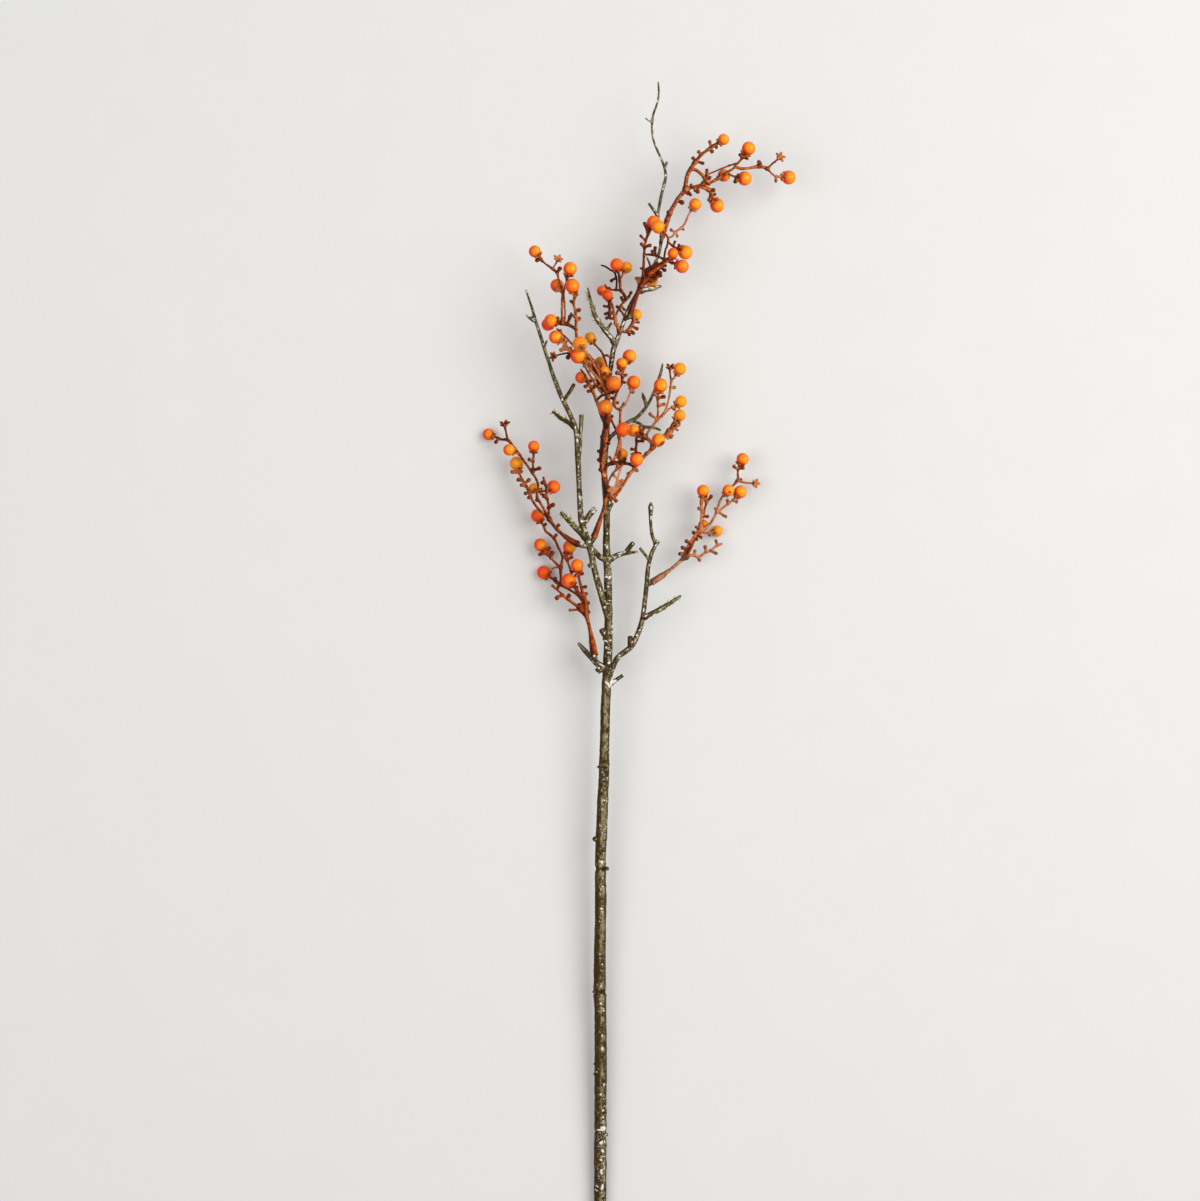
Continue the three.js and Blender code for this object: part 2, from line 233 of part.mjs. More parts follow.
      d1b: [[54.6, 114.4, 23.9, 1.44], [55.5, 113.8, 23.9, 1.44], [64.0, 120.1, 24.7, 1.26], [70.6, 131.8, 26.1, 1.26], [74.3, 143.4, 28.3, 1.08], [77.1, 146.6, 29.3, 1.08]],
      d1c: [[70.6, 131.8, 26.1, 1.08], [71.7, 131.3, 26.1, 1.08], [87.8, 145.0, 25.2, 0.99]],
      d1d: [[73.0, 139.9, 27.5, 0.99], [75.7, 145.3, 25.6, 0.99], [80.8, 151.7, 23.2, 0.99], [88.5, 159.0, 20.7, 1.35], [89.9, 161.7, 20.3, 1.17], [90.1, 170.3, 20.0, 1.08], [91.6, 173.8, 20.0, 1.08]],
      d1e: [[88.9, 159.8, 20.5, 1.17], [100.8, 157.6, 16.3, 0.90], [105.3, 157.3, 15.3, 1.26], [107.5, 157.3, 15.5, 2.31]],
      d5p: [[56.0, 116.5, 23.6, 1.17], [57.6, 118.2, 19.9, 1.17]],
      d6p: [[54.1, 113.5, 24.0, 1.26], [55.1, 112.9, 24.0, 1.26], [67.9, 113.6, 8.9, 1.18]],
      d2: [[42.9, 92.3, 27.5, 1.26], [54.6, 91.0, 23.4, 1.08], [75.0, 102.8, 14.2, 0.99]],
    },
    grownBerries: [[58.7, 119.3, 17.4, 4.97]],
  },
};

// Berries that stand free on their stalks: [x, y, z, radius].
const BERRIES = {
  berry_upper_1: [13.19, 389.51, 56.80, 5.99],
  berry_upper_2: [17.06, 384.69, 68.24, 5.97],
  berry_upper_3: [50.23, 405.34, 59.61, 5.36],
  berry_upper_4: [41.68, 362.96, 53.41, 6.26],
  berry_upper_5: [38.61, 349.95, 59.79, 5.90],
  berry_top_right_1: [75.61, 463.12, 62.36, 5.00],
  berry_top_right_2: [98.20, 455.92, 54.18, 5.99],
  berry_top_right_3: [134.68, 431.55, 37.87, 6.20],
  berry_top_right_4: [94.87, 429.80, 46.78, 6.27],
  berry_top_right_5: [70.35, 406.05, 41.76, 6.28],
  berry_upper_middle_1: [-28.20, 324.77, 55.73, 4.83],
  berry_upper_middle_2: [-19.83, 352.83, 41.83, 5.74],
  berry_upper_middle_3: [-10.98, 351.08, 32.95, 5.22],
  berry_upper_left_1: [-92.96, 363.33, 59.94, 5.27],
  berry_upper_left_2: [-61.38, 347.36, 66.78, 5.97],
  berry_upper_left_3: [-59.39, 331.63, 72.33, 6.32],
  berry_upper_left_4: [-78.53, 301.04, 64.74, 5.89],
  berry_upper_left_5: [-74.45, 286.65, 62.11, 5.71],
  berry_upper_left_6: [-52.44, 279.82, 73.63, 6.68],
  berry_upper_left_7: [-43.60, 286.98, 47.62, 4.84],
  berry_centre_1: [-30.17, 223.93, 61.38, 6.70],
  berry_centre_2: [-14.07, 204.46, 56.78, 6.26],
  berry_centre_3: [-4.77, 204.05, 44.29, 5.56],
  berry_centre_4: [-2.01, 177.65, 56.80, 5.90],
  berry_centre_5: [17.57, 194.99, 56.72, 5.90],
  berry_centre_6: [36.76, 217.75, 38.33, 5.39],
  berry_centre_7: [38.04, 230.16, 42.13, 5.29],
  berry_centre_8: [19.53, 244.09, 50.83, 6.09],
  berry_centre_9: [36.83, 259.18, 44.75, 5.56],
  berry_centre_10: [-4.61, 247.01, 46.10, 6.01],
  berry_centre_11: [-8.33, 270.67, 39.69, 6.11],
  berry_centre_12: [-22.58, 245.38, 60.87, 6.52],
  berry_left_1: [-135.61, 201.94, 5.25, 5.25],
  berry_left_2: [-116.53, 187.14, 30.15, 5.22],
  berry_left_3: [-110.06, 175.35, 15.70, 6.05],
  berry_left_4: [-94.26, 190.10, 32.94, 5.13],
  berry_left_5: [-76.42, 153.60, 36.10, 5.93],
  berry_lower_left_1: [-55.30, 83.05, 37.37, 5.66],
  berry_lower_left_2: [-85.79, 76.96, 5.98, 5.98],
  berry_lower_left_3: [-91.11, 128.14, 14.14, 5.96],
  berry_lower_left_4: [-88.43, 101.79, 11.80, 5.79],
  berry_lower_left_5: [-62.78, 69.59, 33.11, 6.30],
  berry_lower_left_6: [-62.11, 99.81, 25.70, 5.86],
  berry_right_1: [58.18, 150.28, 25.18, 5.50],
  berry_right_2: [80.82, 150.59, 30.57, 5.31],
  berry_right_3: [91.80, 149.38, 24.91, 5.68],
  berry_right_4: [93.94, 179.09, 20.08, 5.50],
  berry_right_5: [71.33, 114.46, 4.98, 4.98],
};

// ---- geometry ---------------------------------------------------------------
const wasm = await Module();
wasm.setup();

// A straight-sided path with one ring of the tube at each station.
class StationPath extends THREE.Curve {
  constructor(points) {
    super();
    this.points = points;
  }
  getPoint(t, target = new THREE.Vector3()) {
    const last = this.points.length - 1;
    const i = Math.min(last - 1, Math.floor(t * last + 1e-9));
    return target.lerpVectors(this.points[i], this.points[i + 1], t * last - i);
  }
  getUtoTmapping(u) {
    return u;
  }
  getTangent(t, target = new THREE.Vector3()) {
    const last = this.points.length - 1;
    const k = Math.round(t * last);
    const before = this.points[Math.max(0, k - 1)];
    const here = this.points[k];
    const after = this.points[Math.min(last, k + 1)];
    target.set(0, 0, 0);
    if (k > 0) target.add(here.clone().sub(before).normalize());
    if (k < last) target.add(after.clone().sub(here).normalize());
    return target.normalize();
  }
}

// A closed tapered tube: a thin extrusion along the stations, each ring then
// opened out to its own radius.
function limb(stations, sides, grow = 0) {
  const centres = stations.map(([x, y, z]) => new THREE.Vector3(x, y, z));
  const thin = 0.05;
  const outline = new THREE.Shape();
  for (let i = 0; i < sides; i++) {
    const a = (2 * Math.PI * i) / sides;
    if (i === 0) outline.moveTo(thin * Math.cos(a), thin * Math.sin(a));
    else outline.lineTo(thin * Math.cos(a), thin * Math.sin(a));
  }
  outline.closePath();
  const geometry = new THREE.ExtrudeGeometry(outline, {
    steps: centres.length - 1,
    extrudePath: new StationPath(centres),
    curveSegments: 1,
  });
  const position = geometry.attributes.position;
  const v = new THREE.Vector3();
  for (let i = 0; i < position.count; i++) {
    v.fromBufferAttribute(position, i);
    let best = 0;
    for (let k = 1; k < centres.length; k++) {
      if (v.distanceToSquared(centres[k]) < v.distanceToSquared(centres[best])) best = k;
    }
    v.sub(centres[best]).setLength(stations[best][3] + grow).add(centres[best]);
    position.setXYZ(i, v.x, v.y, v.z);
  }
  return solid(geometry);
}

function berryGeometry(radius) {
  return new THREE.SphereGeometry(radius, ...BERRY_FACETS).rotateX(Math.PI / 2);
}

function solid(geometry) {
  geometry.deleteAttribute("normal");
  geometry.deleteAttribute("uv");
  const merged = mergeVertices(geometry, 1e-3);
  return new wasm.Manifold(new wasm.Mesh({
    numProp: 3,
    vertProperties: new Float32Array(merged.attributes.position.array),
    triVerts: new Uint32Array(merged.index.array),
  }));
}

function sidesOf(name, piece, stations) {
  if (piece.finish === "wood") {
    return Math.max(...stations.map((s) => s[3])) >= THICK_LIMB ? STEM_SIDES : TWIG_SIDES;
  }
  return name === "sleeve" ? SLEEVE_SIDES : STALK_SIDES;
}

// The limbs of a piece, joined to one solid.
function joined(piece, grow = 0) {
  let body = null;
  for (const [name, stations] of Object.entries(piece.limbs)) {
    const tube = limb(stations, sidesOf(name, piece, stations), grow);
    body = body ? body.add(tube) : tube;
  }
  return body;
}

function meshOf(name, geometry, finish) {
  const mesh = new THREE.Mesh(geometry, new THREE.MeshStandardMaterial(FINISHES[finish]));
  mesh.name = name;
  return mesh;
}

const berryStem = new THREE.Group();

for (const [name, piece] of Object.entries(PIECES)) {
  let body = joined(piece);
  for (const [x, y, z, radius] of piece.grownBerries ?? []) {
    body = body.add(solid(berryGeometry(radius).translate(x, y, z)));
  }
  // A branch or spray that grows from a limb stops CLEARANCE short of its bark.
  for (const host of piece.seatedOn ?? []) {
    body = body.subtract(joined(PIECES[host], CLEARANCE));
  }
  const out = body.getMesh();
  const geometry = new THREE.BufferGeometry();
  geometry.setAttribute("position", new THREE.BufferAttribute(new Float32Array(out.vertProperties), 3));
  geometry.setIndex(new THREE.BufferAttribute(new Uint32Array(out.triVerts), 1));
  berryStem.add(meshOf(name, geometry, piece.finish));
}

for (const [name, [x, y, z, radius]] of Object.entries(BERRIES)) {
  const mesh = meshOf(name, berryGeometry(radius), "berry");
  mesh.position.set(x, y, z);
  berryStem.add(mesh);
}

export default berryStem;
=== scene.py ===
"""Looks of a cut hypericum berry stem: bark, side twigs, berry stalks, calyxes and berries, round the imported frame.

Every route below is in millimetres in the row frame; meshes are written in metres.
The wood pieces are tubes with a bark relief, joined in one closed mesh. The berry sprays are tubes, knobs and
calyx lobes run together in one skin. The berries are single closed meshes.
"""

import math

import bpy
import bmesh
import numpy as np
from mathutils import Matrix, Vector
from mathutils.bvhtree import BVHTree


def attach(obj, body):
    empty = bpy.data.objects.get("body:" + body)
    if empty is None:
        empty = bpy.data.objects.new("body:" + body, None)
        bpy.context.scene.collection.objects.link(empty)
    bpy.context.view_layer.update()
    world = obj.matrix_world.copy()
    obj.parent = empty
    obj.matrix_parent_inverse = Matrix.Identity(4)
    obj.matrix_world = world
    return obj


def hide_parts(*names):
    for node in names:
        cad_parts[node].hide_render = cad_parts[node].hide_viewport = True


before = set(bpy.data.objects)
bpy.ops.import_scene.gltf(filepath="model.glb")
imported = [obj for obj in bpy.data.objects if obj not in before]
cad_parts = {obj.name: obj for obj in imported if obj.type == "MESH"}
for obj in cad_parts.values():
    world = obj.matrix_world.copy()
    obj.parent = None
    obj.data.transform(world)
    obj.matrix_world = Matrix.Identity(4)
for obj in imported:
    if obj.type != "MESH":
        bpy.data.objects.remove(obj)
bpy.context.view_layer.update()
MM = 0.001

# Limbs of each piece: tone (0 dark to 1 light, share of pink), then the route as x, y, z, radius (mm).
LIMBS = {
    "main_stem": {
        "stem": ((0.5, 0.4), [(-34.5, -515.3, 5.4, 5.43), (-34.5, -491.6, 6.6, 5.48), (-34.5, -455.1, 8.4, 5.43), (-34.4, -418.7, 10.3, 5.34), (-34.3, -391.4, 11.7, 5.42), (-34.1, -355.1, 13.5, 5.42), (-34.5, -320.6, 15.2, 5.24), (-35.0, -302.4, 16.1, 5.51), (-35.0, -273.4, 17.6, 5.15), (-34.5, -246.2, 19.0, 4.96), (-34.0, -219.0, 20.4, 5.05), (-34.3, -200.9, 21.3, 4.96), (-34.4, -191.0, 21.8, 4.60), (-34.1, -173.8, 22.7, 4.78), (-33.6, -163.0, 23.2, 4.96), (-33.0, -146.7, 24.0, 4.78), (-32.3, -128.6, 24.9, 4.78), (-31.4, -110.6, 25.9, 4.68), (-31.0, -98.8, 26.5, 4.68), (-30.8, -83.5, 27.2, 4.32), (-30.3, -65.4, 28.2, 4.23), (-29.9, -47.4, 29.1, 4.14), (-29.2, -29.4, 30.0, 4.05), (-28.3, -9.6, 31.0, 4.05), (-27.4, 6.6, 31.9, 3.69), (-27.1, 24.6, 33.0, 3.60), (-27.3, 42.6, 34.0, 3.51), (-27.4, 60.6, 34.8, 3.51), (-27.9, 78.6, 35.5, 3.42), (-28.8, 92.0, 36.0, 3.32), (-29.0, 105.5, 36.4, 3.06), (-28.8, 123.5, 37.0, 2.79), (-29.1, 136.9, 37.5, 2.69), (-30.0, 150.4, 38.0, 2.69), (-30.8, 163.9, 38.4, 2.69), (-30.5, 177.3, 38.9, 2.69), (-29.2, 195.3, 39.5, 2.60), (-28.4, 208.7, 39.9, 2.51), (-28.4, 222.2, 40.2, 2.42), (-28.1, 235.6, 40.6, 2.33), (-27.0, 249.1, 41.0, 2.24), (-25.2, 259.8, 41.3, 2.15), (-23.9, 269.7, 41.6, 2.24), (-22.1, 278.6, 41.8, 2.33), (-19.8, 284.9, 42.0, 2.15), (-16.2, 293.9, 42.2, 1.88), (-13.1, 302.8, 42.4, 1.79), (-10.0, 310.9, 42.5, 1.79), (-5.9, 319.8, 42.7, 1.61), (-1.4, 327.0, 42.9, 1.61), (3.0, 332.4, 43.0, 1.52), (7.5, 340.4, 43.2, 1.44), (11.1, 347.6, 43.4, 1.44), (14.7, 354.8, 43.6, 1.35), (17.8, 361.9, 43.8, 1.35), (19.6, 370.0, 44.0, 1.35), (20.1, 378.0, 44.4, 1.35), (19.2, 386.9, 44.8, 1.34), (16.9, 396.8, 45.3, 1.26), (18.3, 403.9, 45.6, 1.34), (20.0, 413.7, 46.1, 1.34), (22.7, 424.4, 46.7, 1.34), (24.2, 431.6, 47.0, 1.25), (22.7, 440.5, 47.3, 1.08), (19.1, 449.4, 47.6, 0.99), (15.5, 457.5, 47.9, 0.99), (12.8, 465.5, 48.2, 0.99), (11.9, 476.2, 48.6, 0.99), (12.8, 486.0, 49.0, 0.99), (15.5, 494.0, 49.2, 0.90), (17.6, 502.1, 49.5, 0.85), (17.8, 510.1, 49.8, 0.81), (17.3, 515.5, 50.0, 0.54)]),
        "right_low_stub": ((0.05, 0.05), [(-29.0, -23.9, 30.3, 1.71), (-26.5, -24.0, 30.3, 1.71), (-21.1, -20.4, 30.3, 1.62), (-14.4, -15.9, 30.3, 1.53)]),
        "left_low_twig": ((0.7, 0.5), [(-28.3, -9.7, 31.0, 1.98), (-31.0, -9.6, 31.0, 1.98), (-34.6, -7.3, 30.5, 2.07), (-38.7, -3.7, 29.8, 1.89), (-43.2, 1.2, 28.9, 1.80), (-48.1, 6.1, 28.0, 1.62), (-53.1, 12.0, 27.1, 1.08)]),
        "left_low_nub": ((0.1, 0.6), [(-33.6, -8.0, 30.6, 1.71), (-37.3, -12.7, 30.7, 1.53)]),
        "left_stub": ((0.0, 0.0), [(-27.3, 14.7, 32.4, 2.61), (-31.0, 21.5, 33.9, 2.79), (-33.2, 25.7, 34.9, 2.70)]),
        "mid_right_twig": ((0.25, 0.65), [(-28.5, 87.5, 35.8, 2.07), (-22.1, 90.7, 34.9, 1.98), (-16.7, 93.1, 34.2, 1.80), (-10.4, 94.2, 33.3, 1.44), (-1.8, 95.2, 32.2, 0.81)]),
        "mid_right_stub": ((0.45, 0.4), [(-11.3, 94.1, 33.4, 1.44), (-8.6, 98.8, 35.6, 1.71), (-5.0, 103.3, 37.8, 1.62)]),
        "upper_knob": ((0.95, 0.7), [(-28.9, 130.6, 37.3, 2.07), (-23.4, 139.2, 36.1, 1.53)]),
        "right_bough": ((0.78, 0.2), [(-29.4, 193.5, 39.4, 1.89), (-23.9, 199.8, 39.0, 1.80), (-18.5, 204.3, 38.7, 1.71), (-13.1, 209.2, 38.4, 1.71), (-7.7, 212.8, 38.0, 1.62), (-2.3, 215.5, 37.8, 1.53), (3.1, 220.9, 37.4, 1.44), (7.6, 226.8, 37.0, 1.35), (11.2, 233.1, 36.7, 1.26), (14.8, 241.2, 36.2, 1.35), (17.9, 250.2, 35.8, 1.26), (20.2, 257.4, 35.4, 1.17), (21.5, 263.7, 35.1, 0.72)]),
        "right_bough_twig": ((1.0, 0.3), [(6.8, 225.8, 37.1, 1.17), (5.6, 230.8, 38.6, 1.62), (4.3, 234.3, 39.8, 1.53), (3.3, 237.6, 40.9, 0.72)]),
        "right_bough_side": ((0.5, 0.2), [(-6.8, 213.3, 38.0, 1.08), (-0.5, 211.1, 37.1, 1.17), (5.8, 207.5, 36.0, 1.17), (13.0, 207.1, 35.0, 1.08), (19.3, 204.9, 34.1, 0.90)]),
        "left_fork": ((0.4, 0.5), [(-21.1, 281.4, 41.9, 2.06), (-24.8, 287.1, 42.7, 2.15), (-29.3, 292.4, 43.4, 2.06), (-33.7, 298.2, 44.2, 1.88), (-37.8, 304.4, 45.0, 1.88), (-40.9, 311.6, 45.8, 1.70), (-43.1, 319.6, 46.7, 1.34), (-45.4, 330.7, 47.9, 0.81)]),
        "left_fork_twig": ((0.3, 0.6), [(-29.8, 293.1, 43.5, 1.08), (-27.0, 296.9, 43.2, 1.08), (-24.8, 300.1, 43.0, 0.90)]),
        "leader_stub": ((0.2, 0.75), [(0.7, 329.6, 42.9, 1.26), (1.7, 328.8, 42.9, 1.26), (6.7, 330.7, 41.0, 1.53), (12.1, 331.5, 39.0, 1.44), (19.3, 333.8, 36.2, 0.81)]),
        "leader_v": ((0.55, 0.6), [(11.5, 348.3, 43.4, 0.99), (9.3, 355.0, 40.6, 0.99), (7.4, 360.1, 38.2, 0.72)]),
        "leader_twig": ((0.3, 0.5), [(17.0, 396.3, 45.3, 1.08), (13.3, 401.5, 47.1, 1.16), (9.3, 406.8, 48.9, 0.99)]),
        "leader_bud": ((0.7, 0.6), [(23.0, 438.7, 47.3, 0.81), (25.4, 444.4, 48.9, 1.16)]),
        "leader_tip_twig": ((1.0, 0.9), [(12.2, 479.3, 48.7, 0.81), (6.5, 483.0, 51.8, 0.81)]),
        "peg_upper": ((0.5, 0.4), [(-12.4, 304.6, 42.4, 2.29), (-8.1, 306.3, 46.9, 2.29), (-7.4, 308.5, 47.1, 2.29)]),
        "peg_top_right": ((0.5, 0.4), [(19.7, 371.8, 44.1, 1.79), (20.2, 374.3, 48.3, 1.79), (20.8, 376.5, 48.5, 1.79)]),
        "peg_lower_left": ((0.5, 0.4), [(-39.2, -3.2, 29.7, 2.23), (-39.3, -0.2, 37.3, 2.23), (-39.7, 1.9, 36.5, 2.23)]),
    },
    "left_branch": {
        "bough": ((0.5, 0.55), [(-27.2, 37.2, 33.7, 2.34), (-27.9, 37.2, 35.1, 2.34), (-30.6, 46.2, 36.6, 2.70), (-32.6, 53.4, 37.8, 2.69), (-35.1, 62.4, 39.2, 2.60), (-37.8, 72.2, 40.7, 2.51), (-40.5, 83.0, 42.3, 2.42), (-42.2, 92.0, 43.6, 2.51), (-43.6, 98.7, 44.5, 2.87), (-46.7, 107.2, 45.5, 2.87), (-49.4, 115.2, 46.4, 2.78), (-51.4, 123.3, 47.1, 2.51), (-52.3, 132.2, 47.8, 2.33), (-53.0, 145.7, 48.6, 2.24), (-53.7, 159.1, 49.5, 2.15), (-54.2, 172.5, 50.3, 2.24), (-55.0, 185.9, 51.1, 2.15), (-55.2, 196.6, 51.7, 2.24), (-57.2, 207.3, 52.3, 2.15), (-61.0, 216.7, 52.8, 1.88), (-65.5, 226.1, 53.4, 1.88), (-70.0, 235.4, 54.0, 1.79), (-73.5, 244.8, 54.5, 1.79), (-77.1, 254.2, 54.9, 1.70), (-80.2, 264.0, 55.4, 1.43), (-83.4, 273.3, 55.9, 1.43), (-86.9, 284.9, 56.4, 1.34), (-90.1, 294.8, 56.8, 1.25), (-92.9, 303.7, 57.1, 1.25), (-95.4, 312.6, 57.5, 1.07), (-98.1, 320.6, 57.8, 0.89), (-100.8, 328.6, 58.1, 0.71)]),
        "link": ((0.0, 0.35), [(-28.5, 87.1, 35.8, 2.07), (-34.2, 90.2, 39.2, 2.24), (-38.7, 94.7, 41.9, 2.15), (-43.6, 98.6, 44.5, 2.33)]),
        "needle_stub": ((0.0, 0.1), [(-46.5, 106.5, 45.4, 2.33), (-52.1, 112.1, 47.6, 2.24), (-57.5, 117.4, 49.9, 2.15), (-62.8, 123.2, 52.2, 1.97), (-69.1, 129.9, 54.9, 1.43)]),
        "cut_stub": ((0.2, 0.8), [(-50.7, 120.6, 46.8, 1.79), (-46.7, 124.7, 45.6, 1.97), (-43.2, 129.6, 44.3, 2.06), (-39.3, 133.9, 43.1, 1.97)]),
        "low_nub": ((0.2, 0.4), [(-40.8, 84.8, 42.6, 1.79), (-45.2, 82.1, 43.0, 1.70)]),
        "needle_twig": ((0.0, 0.15), [(-56.9, 205.6, 52.2, 1.97), (-63.7, 211.4, 50.4, 2.06), (-70.5, 215.5, 48.7, 1.79), (-76.8, 220.5, 47.1, 0.99)]),
        "tall_stub": ((0.5, 0.55), [(-54.3, 175.2, 50.4, 1.43), (-52.7, 187.7, 49.1, 1.52), (-52.3, 199.4, 47.9, 1.52), (-51.7, 209.3, 46.9, 1.61), (-51.4, 217.9, 46.0, 1.70)]),
        "spur_stub": ((0.3, 0.3), [(-67.1, 229.5, 53.6, 1.16), (-64.1, 234.9, 55.1, 1.52), (-61.0, 239.3, 56.5, 1.61), (-58.3, 244.2, 57.9, 1.52)]),
        "bud_a": ((0.75, 0.6), [(-84.8, 277.8, 56.1, 0.98), (-82.2, 283.4, 59.7, 0.89)]),
        "bud_b": ((0.3, 0.85), [(-92.4, 302.1, 57.1, 1.25), (-93.2, 301.9, 57.1, 1.25), (-96.5, 304.1, 56.0, 1.52), (-99.4, 306.1, 55.1, 0.98)]),
        "peg_centre": ((0.5, 0.55), [(-44.8, 102.0, 44.9, 2.22), (-41.1, 105.6, 46.6, 2.22), (-40.3, 107.8, 46.9, 2.22)]),
        "peg_left": ((0.5, 0.55), [(-44.1, 100.1, 44.6, 2.15), (-51.6, 100.7, 43.8, 2.15), (-53.7, 101.7, 43.5, 2.15)]),
    },
    "right_branch": {
        "bough": ((0.4, 0.5), [(-28.7, -17.6, 30.6, 1.80), (-26.1, -17.7, 30.7, 1.80), (-24.5, -12.3, 31.0, 2.07), (-22.5, -6.9, 31.4, 2.34), (-20.1, -1.5, 31.7, 2.43), (-16.2, 2.6, 32.0, 2.34), (-10.8, 6.6, 32.5, 2.34), (-6.3, 10.7, 32.8, 2.34), (-2.7, 17.0, 33.3, 2.34), (0.4, 24.6, 33.8, 2.25), (3.1, 33.6, 34.4, 2.16), (4.5, 42.6, 34.9, 2.07), (5.8, 53.4, 35.6, 2.07), (7.0, 64.2, 36.3, 2.07), (8.0, 76.8, 37.2, 1.98), (9.4, 85.7, 37.8, 1.89), (11.6, 93.8, 38.4, 1.80), (14.8, 101.9, 39.0, 1.71), (12.3, 109.1, 39.6, 1.44), (11.0, 117.1, 40.2, 1.35), (10.5, 126.1, 40.9, 1.44), (10.7, 131.5, 41.3, 1.88), (10.8, 135.5, 41.6, 2.33), (10.9, 138.8, 41.9, 1.17)]),
        "cut_stub": ((0.25, 0.2), [(-6.8, 10.3, 32.8, 2.07), (-7.7, 18.8, 36.8, 2.25)]),
        "needle_twig": ((0.2, 0.4), [(3.4, 35.5, 34.5, 1.80), (10.3, 39.0, 33.1, 1.80), (16.6, 42.2, 31.7, 1.80), (23.0, 45.8, 30.3, 1.71), (29.3, 49.8, 28.9, 1.53), (37.0, 55.2, 27.1, 0.99)]),
        "fork_stub": ((0.75, 0.5), [(9.9, 87.5, 37.9, 1.26), (6.2, 92.0, 40.4, 1.35), (1.2, 98.2, 43.8, 1.35)]),
        "knob": ((0.95, 0.8), [(14.8, 101.9, 39.0, 1.62), (17.5, 105.0, 38.1, 1.53)]),
        "peg_right": ((0.4, 0.5), [(7.0, 64.8, 36.4, 2.16), (9.5, 66.4, 36.5, 2.16), (11.4, 67.6, 36.0, 2.16)]),
    },
    "spray_upper": {
        "sleeve": ((0.25, -0.3), [(-7.3, 308.8, 47.1, 2.87), (-5.1, 315.9, 47.7, 2.87), (-2.8, 323.0, 48.3, 2.69), (-0.6, 328.4, 48.7, 2.24), (1.2, 332.8, 49.1, 2.06)]),
        "a1": ((0.3, 0.0), [(0.9, 332.1, 49.0, 1.79), (3.2, 339.0, 50.1, 1.43), (4.1, 348.8, 51.4, 1.25), (4.7, 359.4, 52.9, 1.16), (5.2, 367.4, 53.9, 1.07), (6.3, 373.6, 54.7, 1.07), (8.3, 378.9, 55.4, 1.34), (10.6, 383.8, 56.1, 1.34)]),
        "a2": ((0.32, -0.3), [(1.2, 332.8, 49.1, 1.97), (6.1, 339.0, 50.1, 2.06), (10.6, 343.9, 51.1, 2.15), (15.5, 347.8, 52.2, 1.97), (19.9, 351.3, 53.4, 1.43), (25.3, 355.7, 55.1, 1.43), (29.7, 353.8, 56.4, 1.07), (33.2, 352.3, 57.7, 1.07)]),
        "a3": ((0.15, 0.0), [(4.8, 361.2, 53.1, 0.98), (11.0, 360.9, 53.7, 1.07), (16.4, 359.8, 54.1, 1.07), (20.8, 357.5, 54.6, 1.16), (25.3, 355.7, 55.1, 1.43)]),
        "a4": ((0.3, 0.05), [(23.0, 356.6, 54.8, 0.98), (22.6, 355.7, 54.8, 0.98), (23.5, 363.5, 57.5, 0.98), (25.5, 369.6, 59.8, 0.98), (26.1, 374.8, 61.8, 1.07), (23.8, 378.6, 63.9, 1.07), (21.3, 380.9, 65.5, 1.07)]),
        "a5": ((0.3, 1.35), [(25.9, 375.1, 62.0, 0.98), (30.5, 377.2, 61.7, 0.98), (32.5, 380.6, 61.4, 0.98), (36.8, 383.3, 61.1, 1.16), (40.8, 387.8, 60.7, 1.07), (44.0, 395.0, 60.2, 0.85), (46.5, 399.5, 60.0, 0.85), (47.2, 400.6, 59.9, 0.85)]),
        "a6": ((0.25, 0.0), [(25.8, 372.2, 60.8, 0.98), (30.1, 368.4, 58.5, 1.07), (35.1, 366.0, 56.3, 1.07), (36.2, 365.5, 55.8, 1.07)]),
        "a7": ((0.8, 0.2), [(25.5, 355.6, 55.1, 1.16), (29.1, 355.3, 56.5, 1.07), (29.9, 359.2, 58.1, 1.07)]),
        "a8": ((0.6, 0.05), [(15.7, 348.0, 52.3, 1.25), (17.7, 345.3, 46.9, 1.17), (17.4, 342.7, 42.7, 1.08), (13.0, 339.6, 34.5, 1.08)]),
        "a9": ((1.05, 0.6), [(3.3, 339.5, 50.2, 1.16), (-0.1, 341.1, 43.1, 1.08), (-2.5, 341.0, 38.3, 1.08), (-2.1, 340.1, 36.1, 1.08), (1.6, 338.9, 28.1, 1.08)]),
    },
    "spray_top_right": {
        "sleeve": ((0.42, 0.3), [(20.9, 376.8, 48.6, 2.24), (22.7, 383.0, 49.2, 2.51), (24.7, 390.1, 50.0, 2.60), (27.1, 396.7, 50.7, 2.24), (29.8, 402.5, 51.4, 1.88), (33.4, 408.3, 52.1, 1.79), (37.0, 413.6, 52.8, 1.88), (40.5, 417.5, 53.3, 1.88), (42.3, 420.2, 53.6, 1.79)]),
        "t1": ((0.5, 0.15), [(41.8, 419.4, 53.5, 1.61), (42.1, 425.5, 54.7, 1.70), (43.6, 432.5, 56.1, 1.70), (46.3, 437.3, 57.1, 1.61), (49.4, 442.1, 58.1, 1.70), (52.0, 445.2, 58.8, 1.43), (55.6, 449.6, 59.6, 1.25), (60.0, 453.1, 60.3, 1.25), (64.5, 456.1, 60.9, 1.34), (68.9, 459.4, 61.5, 0.98), (71.0, 460.5, 61.8, 0.98)]),
        "t2": ((0.5, 0.15), [(46.4, 437.5, 57.2, 1.25), (51.6, 436.0, 56.3, 1.25), (56.6, 432.1, 55.2, 1.25), (60.2, 426.9, 54.0, 1.25), (62.9, 424.2, 53.4, 1.25)]),
